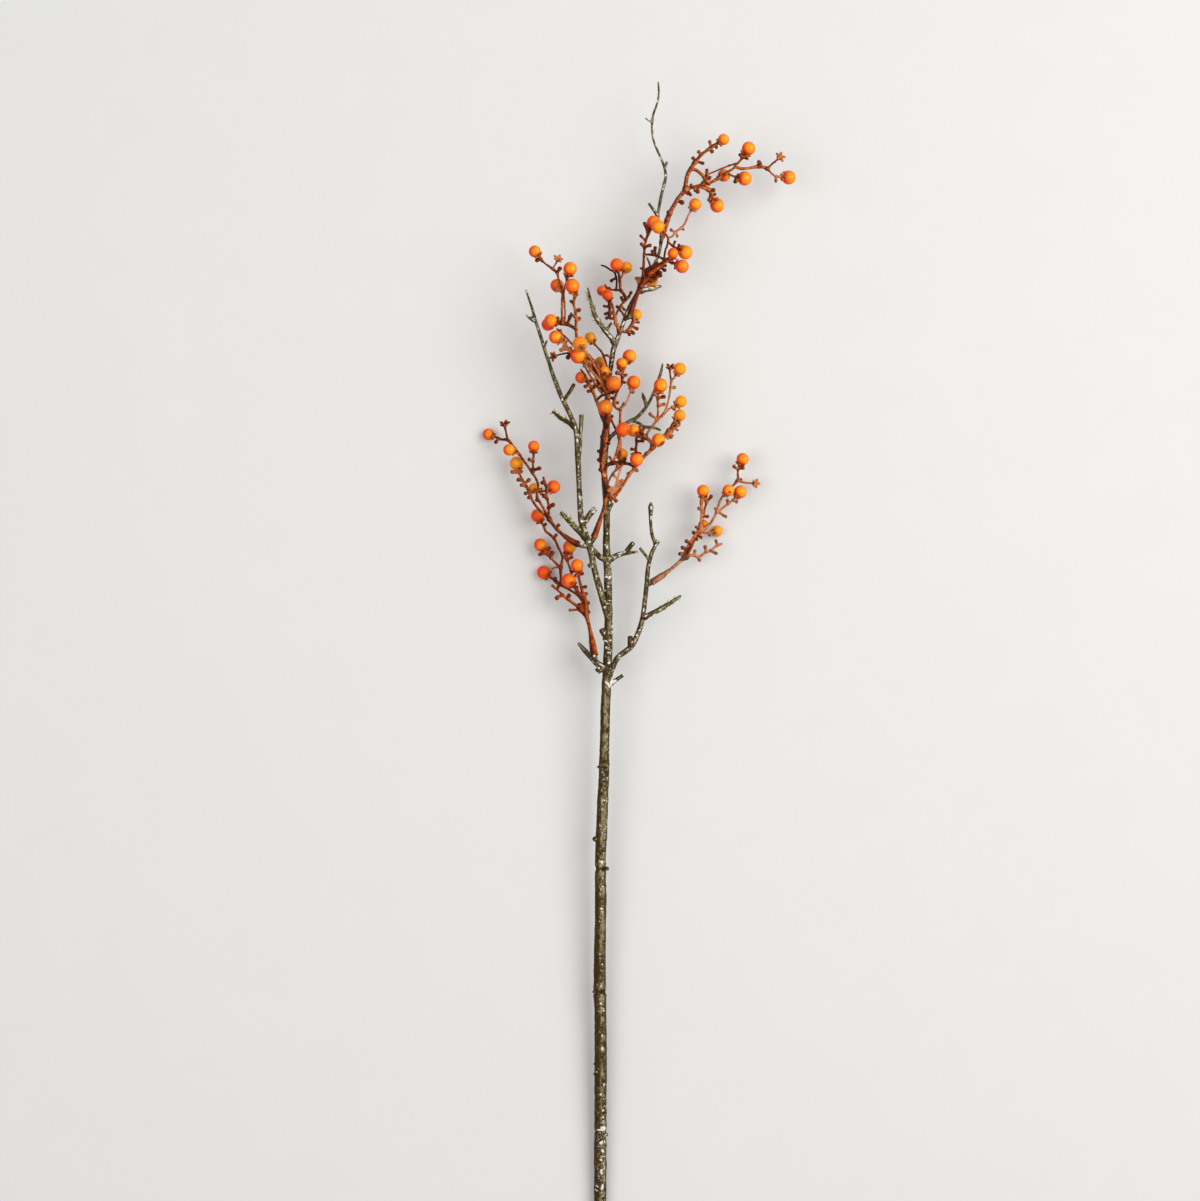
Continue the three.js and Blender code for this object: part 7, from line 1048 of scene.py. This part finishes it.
def wood_piece(name, main, sides, step, seed):
    data = LIMBS[name]
    curves = {k: route(rows, step if k == main else 0.55) for k, (tone, rows) in data.items()}
    obs, joints, samples = [], [], []
    for q, (limb, (tone, rows)) in enumerate(data.items()):
        c, r, s = curves[limb]
        r = r * GIRTH.get((name, limb), 1.0)
        length = s[-1]
        if limb == main:
            marks = []
            for y, h, w in RINGS.get(limb if name == "main_stem" else name, []):
                i = int(np.abs(c[:, 1] - y).argmin())
                marks.append((s[i], h, w))
            start = BUTT_LOOK
            end = "round"
        else:
            marks = []
            host = host_radius(c[0], curves, limb)
            if name != "main_stem" and host == 0.0:
                host = 0.0
            if limb.startswith("peg_"):
                start, end = "flat", "flat"
            else:
                r = r * (1 + 0.32 * np.exp(-(((s - host) / (0.9 * r[0] + 0.6)) ** 2)))
                start = "flat"
                end = "flat" if limb in CUT_ENDS else ("point" if limb in POINTED else "round")
            joints.append((c[int(np.abs(s - host).argmin())], r[0] * 1.5 + 1.2))
        n = sides if limb == main else (18 if r.max() > 1.9 else 14)
        relief = bark_relief(seed + 11 * q, marks, float(r.max()))
        v, f = tube(c, r, s, n, start, end, relief)
        obs.append(mesh_object(name + "_" + limb, v, f))
        bright = tone[0]
        tt, nn, bb = frames(c)
        for i in range(0, len(c), 2 if limb != main else 1):
            if limb == "stem":
                y0, tn, fr = zip(*STEM_TONE)
                bright, frost = float(np.interp(c[i][1], y0, tn)), float(np.interp(c[i][1], y0, fr))
            else:
                frost = tone[1]
            ripe = GREEN_TIPS.get((name, limb), 0.0) * smooth(0.35, 0.85, s[i] / length)
            samples.append((*c[i], r[i], bright + 0.35 * ripe, 0.0 if limb == "stem" else 1.0 + 2.2 * ripe, frost * (1 - 0.7 * ripe), s[i] + 37.0 * q, *nn[i], *bb[i]))
    for q, (x, y, z, rad, limb) in enumerate(NUBS.get(name, [])):
        v, f = ball((x, y, z), rad, 14, 10)
        d = unit_rows(v - np.array([x, y, z]))
        v = v + d * (0.28 * rad * fbm(v / 1.1, 2, seed + 77 + q))[:, None]
        obs.append(mesh_object(name + "_nub%d" % q, v, f))
        samples.append((x, y, z, rad, 0.3, 0.0, 0.4, 5.0 * q, 1.0, 0.0, 0.0, 0.0, 0.0, 1.0))
        joints.append((np.array([x, y, z]), rad * 1.1))
    base = solid_union(obs[0], obs[1:])
    base.name = {"main_stem": "bark_stem", "left_branch": "bark_left_branch", "right_branch": "bark_right_branch"}[name]
    me = base.data
    me.name = base.name
    v = coords(me)
    near = np.zeros(len(v))
    for p, rad in joints:
        d = np.linalg.norm(v - p, axis=1)
        near = np.maximum(near, smooth(rad + 1.0, rad * 0.4, d))
    relax(me, 4, 0.5, -0.3, near * 0.85)
    lines = Lines(samples)
    v = coords(me)
    idx, gap = lines.nearest(v)
    a = lines.a[idx]
    attribute(me, "tone", np.clip(a[:, 4] + 0.18 * fbm(v / 14.0, 2, seed + 3), 0, 1))
    # relief height, used for a painted highlight on rises and painted shade in furrows
    attribute(me, "high", np.clip(gap / 0.42, -1, 1))
    attribute(me, "frost", np.clip(a[:, 6] + 0.25 * fbm(v / 9.0, 2, seed + 6), 0, 1.2))
    attribute(me, "along", a[:, 7])
    d = v - a[:, :3]
    attribute(me, "round", np.einsum("ij,ij->i", d, a[:, 8:11]) / 5.0 + 0.6 * np.einsum("ij,ij->i", d, a[:, 11:14]) / 5.0)
    # normal directions and facing towards the lamp, used for the painted shade and painted highlight of the bark
    n = normals(me)
    attribute(me, "side", n[:, 0])
    attribute(me, "up", n[:, 2])
    attribute(me, "key_facing", n @ unit((0.38, 0.05, 0.92)))
    attribute(me, "twig", np.clip(a[:, 5] * 0.6 + 0.4 * smooth(3.4, 1.5, a[:, 3]), 0, 2.2))
    settle(base, "bark", BARK, name)
    return base, curves


def unit_rows(a):
    return a / np.maximum(np.linalg.norm(a, axis=1, keepdims=True), 1e-9)


# ---------------------------------------------------------------- sprays


def berry_list(spray):
    return [b for b in BERRIES if b[2] == spray]


def sepals(c, r, u, seed, reach=44.0, fat=1.0):
    """Five calyx lobes hugging a berry from its stalk."""
    rng = np.random.default_rng(seed)
    c, u = np.array(c, float), unit(u)
    a = unit(np.cross(u, [0.3, 0.5, 0.8]))
    b = np.cross(u, a)
    parts = []
    turn = rng.uniform(0, 2 * math.pi)
    for k in range(5):
        w = turn + k * 2 * math.pi / 5 + rng.uniform(-0.15, 0.15)
        side = a * math.cos(w) + b * math.sin(w)
        far = math.radians(reach * rng.uniform(0.82, 1.15))
        rows = []
        flare = rng.uniform(0.1, 1.1)
        for i, t in enumerate((0.0, 0.3, 0.6, 0.85, 1.0)):
            phi = far * t
            lift = 0.55 + (flare if i == 4 else 0.0) + (0.4 * flare if i == 3 else 0.0)
            p = c + (r + lift) * (math.cos(phi) * u + math.sin(phi) * side)
            rows.append((*p, fat * (1.05, 1.1, 1.05, 0.9, 0.7)[i]))
        cc, rr, ss = route(rows, 0.6)
        parts.append(tube(cc, rr, ss, 8, "round", "round"))
    return parts


def spray_piece(name, seed):
    data = LIMBS[name]
    rng = np.random.default_rng(seed)
    parts, samples = [], []
    curves = {k: route(rows, 0.7) for k, (tone, rows) in data.items()}
    starts = [np.array(rows[0][:3]) for k, (tone, rows) in data.items()]
    knobs = KNOBS.get(name, [])
    for limb, (tone, rows) in data.items():
        c, r, s = curves[limb]
        r = r * GIRTH.get((name, limb), 1.0)
        # a swelling where a knob or stalk leaves
        for p in starts + [np.array(k[:3]) for k in knobs]:
            d = np.linalg.norm(c - p, axis=1)
            i = int(d.argmin())
            if d[i] < r[i] * 0.9:
                r = r * (1 + 0.16 * np.exp(-((s - s[i]) / (1.3 * r[i])) ** 2))
        r = r * (1 + (0.025 if limb == "sleeve" else 0.09) * fbm(c / 3.0, 2, seed + 5))
        t0, t1 = tone if isinstance(tone, tuple) else (tone, 0.0)
        if (name, limb) in BUNDLES:
            # a bundle of strands grown together at both ends
            strands, a0, a1, spread = BUNDLES[(name, limb)]
            x = s / s[-1]
            apart = smooth(a0, a0 + 0.12, x) * smooth(a1, a1 - 0.12, x)
            tt, nn, bb = frames(c)
            for k in range(strands):
                w = seed + 2 * math.pi * k / strands + 0.045 * s + 0.5 * np.sin(s * 0.11 + 2.1 * k)
                side = nn * np.cos(w)[:, None] + bb * np.sin(w)[:, None]
                cc = c + side * (r * spread * apart)[:, None]
                rr = r * (1 - 0.50 * apart) * (1 + 0.10 * fbm(cc / 2.5, 2, seed + 60 + k))
                keep = apart > 0.02
                parts.append(tube(cc[keep], rr[keep], s[keep], 12, "round", "round"))
                for i in np.nonzero(keep)[0]:
                    samples.append((*cc[i], rr[i], t0 + (-0.30, 0.22, 0.05)[k % 3], t1, 0.0))
            r = r * (1 - 0.62 * apart)
            for i in range(len(c)):
                samples.append((*c[i], r[i], t0 - 0.3 * apart[i], t1, 0.0))
        else:
            for i in range(len(c)):
                samples.append((*c[i], r[i], t0, t1, 0.0))
        if name == "spray_top_right" and limb == "sleeve":
            r = r * (1 + 0.16 * fbm(c / 1.9, 2, seed + 15))
        v, f = tube(c, r, s, 12 if r.max() < 2 else 16, "flat", "round")
        parts.append((v, f))
    for t0, t1, rows in STRANDS.get(name, []):
        c, r, s = route(rows, 0.7)
        r = r * (1 + 0.10 * fbm(c / 2.5, 2, seed + 81))
        parts.append(tube(c, r, s, 12, "round", "round"))
        for i in range(len(c)):
            samples.append((*c[i], r[i], t0, t1, 0.0))
    line = np.array([x[:4] for x in samples])
    values = np.array([x[4:6] for x in samples])
    for k in knobs:
        a, b, r = np.array(k[:3]), np.array(k[3:6]), k[6] * 1.15
        b = b + (b - a) * 0.08
        d = b - a
        n = np.linalg.norm(d)
        if n < 0.6:
            continue
        u = d / n
        bend = unit(np.cross(u, [0.2, 0.1, 1.0])) * rng.uniform(-0.25, 0.25) * n * 0.3
        fat = rng.uniform(1.2, 1.55)
        rows = [(*a, r * 1.25), (*(a + d * 0.45 + bend * 0.7), r * 1.02), (*(a + d * 0.8 + bend), r * fat * 0.95), (*(b - u * r * 0.3 + bend * 0.6), r * fat)]
        cc, rr, ss = route(rows, 0.5)
        parts.append(tube(cc, rr, ss, 10, "round", "round"))
        if rng.random() < 0.45:
            # a second, smaller lobe beside the tip
            side = unit(np.cross(u, rng.normal(size=3)))
            parts.append(ball(b - u * r * 0.5 + side * r * 0.95, r * 0.95, 10, 7))
        j = int(np.linalg.norm(line[:, :3] - a, axis=1).argmin())
        for p, q in zip(cc, rr):
            samples.append((*p, q, values[j][0], values[j][1], min(1.0, float(np.linalg.norm(p - a)) / n)))
    for q, (piece, node, spray, c, r, u, hue, red, dull) in enumerate(berry_list(name)):
        c, u = np.array(c), unit(u)
        j = int(np.linalg.norm(line[:, :3] - (c + u * r), axis=1).argmin())
        t0, t1 = values[j]
        parts.append(ball(c + u * (r + 0.75), 1.75, 12, 8, (u, 0.6)))
        foot = c + u * (r + 3.0)
        cc, rr, ss = route([(*foot, 1.05), (*(c + u * (r + 1.7)), 1.35), (*(c + u * (r + 0.9)), 1.6)], 0.5)
        parts.append(tube(cc, rr, ss, 12, "round", "round"))
        for v, f in sepals(c, r, u, seed * 31 + q, REACH.get(piece, 40.0 if u[2] < 0.5 else 27.0), 1.0 if u[2] < 0.5 else 1.25):
            parts.append((v, f))
            samples.append((*v.mean(0), 1.0, t0, t1, 0.6))
        samples.append((*(c + u * (r + 0.9)), 1.6, t0, t1, 0.4))
    for q, row in enumerate(BARE.get(name, [])):
        c, u, r = np.array(row[:3]), unit(row[3:6]), row[6]
        t0, t1 = row[7], row[8]
        base = c - u * r * 0.75
        # the crown opens up and out
        face = unit(u * 0.75 + np.array([0, 0, 0.8]))
        a = unit(np.cross(face, [0.3, 0.5, 0.8]))
        b = np.cross(face, a)
        parts.append(ball(base + face * 0.4, r * 0.92, 14, 9, (face, 0.75)))
        for k in range(5):
            w = k * 2 * math.pi / 5 + rng.uniform(-0.25, 0.25)
            side = a * math.cos(w) + b * math.sin(w)
            long = r * rng.uniform(1.06, 1.38)
            rows = [(*base, 1.2), (*(base + face * long * 0.35 + side * long * 0.45), 1.3), (*(base + face * long * 0.7 + side * long * 0.85), 1.35), (*(base + face * long * 0.75 + side * long * 1.2), 1.0)]
            cc, rr, ss = route(rows, 0.5)
            parts.append(tube(cc, rr, ss, 8, "round", "round"))
            samples.append((*cc[len(cc) // 2], 1.0, t0, t1, 0.0))
        parts.append(ball(base + face * r * 0.5, 0.7, 8, 6))
    v, f = joined(parts)
    ob = mesh_object("stalks_" + name.replace("spray_", ""), v, f)
    mod = ob.modifiers.new("skin", "REMESH")
    mod.mode = "VOXEL"
    mod.voxel_size = VOXEL * MM
    mod.adaptivity = 0.0
    evaluated(ob)
    me = ob.data
    me.name = ob.name
    keep_largest(me)
    relax(me, 3, 0.5, -0.5)
    v = coords(me)
    n = normals(me)
    lines = Lines(samples)
    idx, gap = lines.nearest(v)
    a = lines.a[idx]
    rugged = 0.25 if name == "spray_top_right" else 1.0
    thick = rugged * smooth(1.7, 2.5, a[:, 3])
    # stalks are knotty, sleeves are smooth
    v = v + n * (0.045 + (1 - 0.85 * thick) * (0.17 * fbm(v / 1.7, 2, seed + 9) + 0.06 * fbm(v / 0.7, 1, seed + 19)) + 0.05 * thick * fbm(v / 4.0, 2, seed + 29))[:, None]
    set_coords(me, v)
    idx, gap = lines.nearest(v)
    a = lines.a[idx]
    attribute(me, "tone", a[:, 4] + 0.10 * fbm(v / 7.0, 2, seed + 2))
    attribute(me, "pink", np.clip(a[:, 5] * (1 + np.where(a[:, 5] > 1, 0.15, 0.5) * fbm(v / 5.0, 2, seed + 4)), -1, 2))
    attribute(me, "knob", a[:, 6])
    # relief height, used for a painted highlight on rises and painted shade in hollows
    attribute(me, "high", np.clip((gap - 0.02) / 0.16, -1, 1))
    # normal directions and facing towards the lamp, used for the painted shade and painted highlight of the stalks
    n = normals(me)
    attribute(me, "side", n[:, 0])
    attribute(me, "up", n[:, 2])
    attribute(me, "key_facing", n @ unit((0.38, 0.05, 0.92)))
    attribute(me, "thick", rugged * smooth(1.7, 2.5, a[:, 3]))
    settle(ob, "stalk", STALK, name)
    return ob, curves


def keep_largest(me):
    """Removes crumbs that the skin left apart from the piece."""
    n, e = len(me.vertices), edges_of(me)
    label = np.arange(n)
    while True:
        low = np.minimum(label[e[:, 0]], label[e[:, 1]])
        new = label.copy()
        np.minimum.at(new, e[:, 0], low)
        np.minimum.at(new, e[:, 1], low)
        new = new[new]
        if (new == label).all():
            break
        label = new
    ids, count = np.unique(label, return_counts=True)
    if len(ids) == 1:
        return
    print(me.name, "separate shells:", sorted(count.tolist(), reverse=True)[:6])
    big = ids[count.argmax()]
    bad = np.nonzero(label != big)[0]
    bm = bmesh.new()
    bm.from_mesh(me)
    bm.verts.ensure_lookup_table()
    bmesh.ops.delete(bm, geom=[bm.verts[int(i)] for i in bad], context="VERTS")
    bm.to_mesh(me)
    bm.free()
    me.update()


# ---------------------------------------------------------------- berries


def berry_piece(row, seed):
    piece, node, spray, c, r, u, hue, red, dull = row
    rng = np.random.default_rng(seed)
    c, u = np.array(c, float), unit(u)
    seg, ring = ((44, 30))
    a = unit(np.cross(u, [0.31, 0.52, 0.79]))
    b = np.cross(u, a)
    dirs = [u]
    for i in range(1, ring):
        p = math.pi * i / ring
        for j in range(seg):
            q = 2 * math.pi * (j + 0.5 * (i % 2)) / seg
            dirs.append(u * math.cos(p) + (a * math.cos(q) + b * math.sin(q)) * math.sin(p))
    dirs.append(-u)
    d = np.array(dirs)
    r = r * SWELL
    faces, last = [], len(d) - 1
    for j in range(seg):
        j2 = (j + 1) % seg
        faces.append((0, 1 + j, 1 + j2))
        faces.append((last, 1 + (ring - 2) * seg + j2, 1 + (ring - 2) * seg + j))
        for i in range(ring - 2):
            m, n = 1 + i * seg, 1 + (i + 1) * seg
            # rows are offset by half a step, so the strip is cut in triangles that follow it
            if i % 2 == 0:
                faces.append((m + j, n + j, m + j2))
                faces.append((m + j2, n + j, n + j2))
            else:
                faces.append((m + j, n + j, n + j2))
                faces.append((m + j, n + j2, m + j2))
    lat = d @ u
    # a little longer than wide, drawn in at the calyx, with a small scar at the tip
    rad = 1 + 0.012 * (lat ** 2 - 0.5) - 0.035 * np.exp(-((1 - lat) / 0.05))
    rad += 0.012 * fbm(d * 1.3 + rng.uniform(-9, 9, 3), 2, seed)
    rad += 0.004 * fbm(d * 5.0 + rng.uniform(-9, 9, 3), 2, seed + 1)
    tip = -u
    for w in (a * 0.05,):
        tip = unit(tip + w)
    off = np.arccos(np.clip(d @ tip, -1, 1)) * r
    rad += (-0.16 * np.exp(-((off - 0.75) / 0.3) ** 2) + 0.13 * np.exp(-((off / 0.42) ** 2))) / r
    spot = 0.55 * np.exp(-((off / 0.36) ** 2))
    for x, y, z, size in NICKS.get(piece, []):
        e = np.arccos(np.clip(d @ unit((x, y, z)), -1, 1)) * r
        rad -= 0.30 * min(size, 1.2) * np.exp(-((e / (0.8 * size)) ** 2)) / r
        spot = np.maximum(spot, 0.95 * np.exp(-((e / (0.75 * size)) ** 2)))
    v = c + d * (r * rad)[:, None]
    ob = mesh_object(piece, v, faces)
    me = ob.data
    n = len(me.vertices)
    # painted shade on the side away from the key lamp and a painted highlight on the side facing it, with deeper colour
    # towards the calyx
    light = d @ unit((0.50, 0.07, 0.85))
    attribute(me, "base", np.clip(1.02 - 1.05 * smooth(-0.20, 1.00, light) - 0.32 * smooth(0.90, 1.0, light) + 0.30 * smooth(0.2, 1.0, lat) + 0.05 * fbm(d * 2.2, 2, seed + 3), -0.4, 1.2))
    attribute(me, "calyx", (lat + 1) / 2)
    patch = 0 * lat
    for x, y, z, size, k in PATCHES.get(piece, []):
        e = np.arccos(np.clip(d @ unit((x, y, z)), -1, 1)) * r
        patch = np.maximum(patch, k * smooth(size * 1.15, size * 0.55, e + 0.9 * fbm(d * 2.6, 2, seed + 8)))
    attribute(me, "patch", np.clip(patch, 0, 1))
    attribute(me, "hue", np.full(n, hue) + 0.10 * fbm(d * 1.7, 2, seed + 5))
    attribute(me, "red", np.full(n, red))
    attribute(me, "dull", np.full(n, dull))
    attribute(me, "spot", np.clip(spot, 0, 1))
    settle(ob, "berry_red" if piece in RED else ("berry_ochre" if piece in OCHRE else "berry"), ORANGE, *([node] if node else []))
    return ob


# ---------------------------------------------------------------- hairs and dabs


def hair_piece(name, curves, seed):
    rng = np.random.default_rng(seed)
    parts, along = [], []
    for piece, limb, a, b, count, length in HAIRS:
        if piece != name:
            continue
        c, r, s = curves[limb]
        t, n, bn = frames(c)
        for k in range(count):
            x = a + (b - a) * (k + rng.uniform(0.1, 0.9)) / count
            i = min(len(c) - 1, int(np.searchsorted(s, x * s[-1])))
            w = rng.uniform(0, 2 * math.pi)
            out = n[i] * math.cos(w) + bn[i] * math.sin(w)
            lean = rng.uniform(0.55, 1.15)
            u = unit(out + t[i] * lean)
            ln = length * rng.uniform(0.55, 1.1)
            curl = t[i] * 0.25 * ln + np.array([0, 0, 0.0])
            p0 = c[i] + out * (r[i] * 0.82)
            fat = 0.62 * rng.uniform(0.8, 1.2) * min(1.0, ln / 3.0 + 0.3)
            rows = [(*p0, fat), (*(p0 + u * ln * 0.5 + curl * 0.15), fat * 0.8), (*(p0 + u * ln * 0.85 + curl * 0.5), fat * 0.5), (*(p0 + u * ln + curl), fat * 0.22)]
            cc, rr, ss = route(rows, ln / 6)
            v, f = tube(cc, rr, ss, 6, "flat", "point")
            parts.append((v, f))
            along += list(np.clip(np.linalg.norm(v - p0, axis=1) / ln, 0, 1))
    if not parts:
        return
    v, f = joined(parts)
    v[:, 2] = np.maximum(v[:, 2], 0.4)
    ob = mesh_object({"main_stem": "hairs_stem_twigs", "left_branch": "hairs_left_branch", "right_branch": "hairs_right_branch"}[name], v, f)
    attribute(ob.data, "along", along)
    settle(ob, "bark", HAIR)


def dab_piece(name, wood, seed):
    rng = np.random.default_rng(seed)
    me = wood.data
    tree = BVHTree.FromPolygons([tuple(p) for p in coords(me)], [tuple(p.vertices) for p in me.polygons])
    parts = []
    for q, (x, y, la, lb, turn) in enumerate(DABS.get(name, [])):
        la, lb = la * 1.1 + 0.1, lb * 1.3 + 0.12
        best = None
        for ox, oy in [(0, 0)] + [(0.5 * k * math.cos(w), 0.5 * k * math.sin(w)) for k in (1, 2, 3, 4, 5) for w in np.arange(0, 6.28, 0.785)]:
            hit = tree.ray_cast(Vector((x + ox, y + oy, 200.0)), Vector((0, 0, -1)))
            if hit[0] is not None:
                best = hit
                break
        if best is None:
            print("dab off the bark:", name, q)
            continue
        p, n = np.array(best[0]), np.array(best[1])
        n = unit(n)
        if n[2] < 0.25:
            n = unit(n + np.array([0, 0, 0.6]))
        w = math.radians(turn)
        t1 = np.array([math.cos(w), math.sin(w), 0.0])
        t1 = unit(t1 - n * float(t1 @ n))
        t2 = np.cross(n, t1)
        seg, rings = 14, 5
        lobes = rng.uniform(0, 6.28, 3)
        top, low = [], []
        for i in range(rings + 1):
            f = i / rings
            for j in range(seg if i else 1):
                z = 2 * math.pi * j / seg
                edge = 1 + 0.22 * math.sin(2 * z + lobes[0]) + 0.16 * math.sin(3 * z + lobes[1]) + 0.1 * math.sin(5 * z + lobes[2])
                o = p + (t1 * math.cos(z) * la + t2 * math.sin(z) * lb) * f * edge
                hit = tree.find_nearest(Vector(tuple(o + n * 0.2)))
                g, m = np.array(hit[0]), unit(hit[1])
                if float(m @ n) < 0.1:
                    m = n
                thick = (0.26 + 0.14 * min(lb, 2.0)) * math.sqrt(max(0.0, 1 - f ** 2)) + 0.02
                thick *= 0.8 + 0.35 * rng.uniform(-1, 1) * (1 - f)
                top.append(g + m * thick)
                low.append(g - m * 0.22)
        faces = []
        for shift, flip in ((0, False), (len(top), True)):
            idx = lambda i, j: shift + (0 if i == 0 else 1 + (i - 1) * seg + j % seg)
            for i in range(rings):
                for j in range(seg):
                    face = (idx(i, j), idx(i + 1, j), idx(i + 1, j + 1)) if i == 0 else (idx(i, j), idx(i + 1, j), idx(i + 1, j + 1), idx(i, j + 1))
                    faces.append(tuple(reversed(face)) if flip else face)
        m0 = len(top)
        for j in range(seg):
            a0, b0 = 1 + (rings - 1) * seg + j, 1 + (rings - 1) * seg + (j + 1) % seg
            faces.append((a0, m0 + a0, m0 + b0, b0))
        parts.append((np.array(top + low), faces))
    if not parts:
        return
    v, f = joined(parts)
    ob = mesh_object({"main_stem": "glue_stem", "left_branch": "glue_left_branch", "right_branch": "glue_right_branch"}[name], v, f)
    settle(ob, None, DAB)


# ---------------------------------------------------------------- build

VOXEL = 0.44
# berries touch their calyx lobes and are full and tight
SWELL = 1.03
RED = {"fruit_" + n for n in RED_BERRIES}
OCHRE = {"fruit_" + n for n in OCHRE_BERRIES}

for k, (name, main, sides, step) in enumerate((("main_stem", "stem", 32, 0.8), ("left_branch", "bough", 20, 0.6), ("right_branch", "bough", 20, 0.6))):
    wood, curves = wood_piece(name, main, sides, step, 100 + 50 * k)
    hair_piece(name, curves, 300 + k)
    dab_piece(name, wood, 400 + k)
for k, name in enumerate(n for n in LIMBS if n.startswith("spray_")):
    spray_piece(name, 500 + 20 * k)
for k, row in enumerate(BERRIES):
    berry_piece(row, 900 + 7 * k)

# ---------------------------------------------------------------- floor, light, camera

floor_mesh = bpy.data.meshes.new("floor")
h = 6.0
floor_mesh.from_pydata([(-h, -h, -0.0003), (h, -h, -0.0003), (h, h, -0.0003), (-h, h, -0.0003)], [], [(0, 1, 2, 3)])
floor = bpy.data.objects.new("floor", floor_mesh)
bpy.context.scene.collection.objects.link(floor)
paper = Mat("paper")
grain = paper.noise(0.02, 2, 0.5)
paper.colour(paper.mix(grain, (0.72, 0.72, 0.715), (0.74, 0.74, 0.735)))
paper.set(Roughness=0.9)
floor.data.materials.append(paper.m)

world = bpy.data.worlds.new("studio")
bpy.context.scene.world = world
world.use_nodes = True
back = world.node_tree.nodes["Background"]
back.inputs[0].default_value = (1.0, 0.985, 0.96, 1.0)
back.inputs[1].default_value = 0.35


def area(name, place, target, size, power, colour):
    lamp = bpy.data.lights.new(name, "AREA")
    lamp.shape = "DISK"
    lamp.size = size
    lamp.energy = power
    lamp.color = colour
    ob = bpy.data.objects.new(name, lamp)
    bpy.context.scene.collection.objects.link(ob)
    ob.location = place
    ob.rotation_euler = (Vector(target) - Vector(place)).to_track_quat("-Z", "Y").to_euler()
    ob.visible_camera = False
    return ob


area("key", (1.95, 0.7, 2.6), (0, 0, 0), 2.8, 84, (1.0, 0.985, 0.955))
area("fill", (-1.9, 0.0, 3.4), (0, 0, 0), 3.2, 56, (1.0, 0.985, 0.97))

cam = bpy.data.cameras.new("camera")
cam.sensor_width = 36.0
cam.sensor_fit = "HORIZONTAL"
cam.lens = 36.0 * 3970.0 / 1080.0
cam.clip_start = 0.05
cam.clip_end = 50.0
camera = bpy.data.objects.new("camera", cam)
camera.location = (-0.034635 - 0.0001, 0.051155 + 0.0004, 4.0)
camera.rotation_euler = (0.0, 0.0, 0.0)
bpy.context.scene.collection.objects.link(camera)
bpy.context.scene.camera = camera
bpy.context.scene.view_settings.view_transform = "Standard"
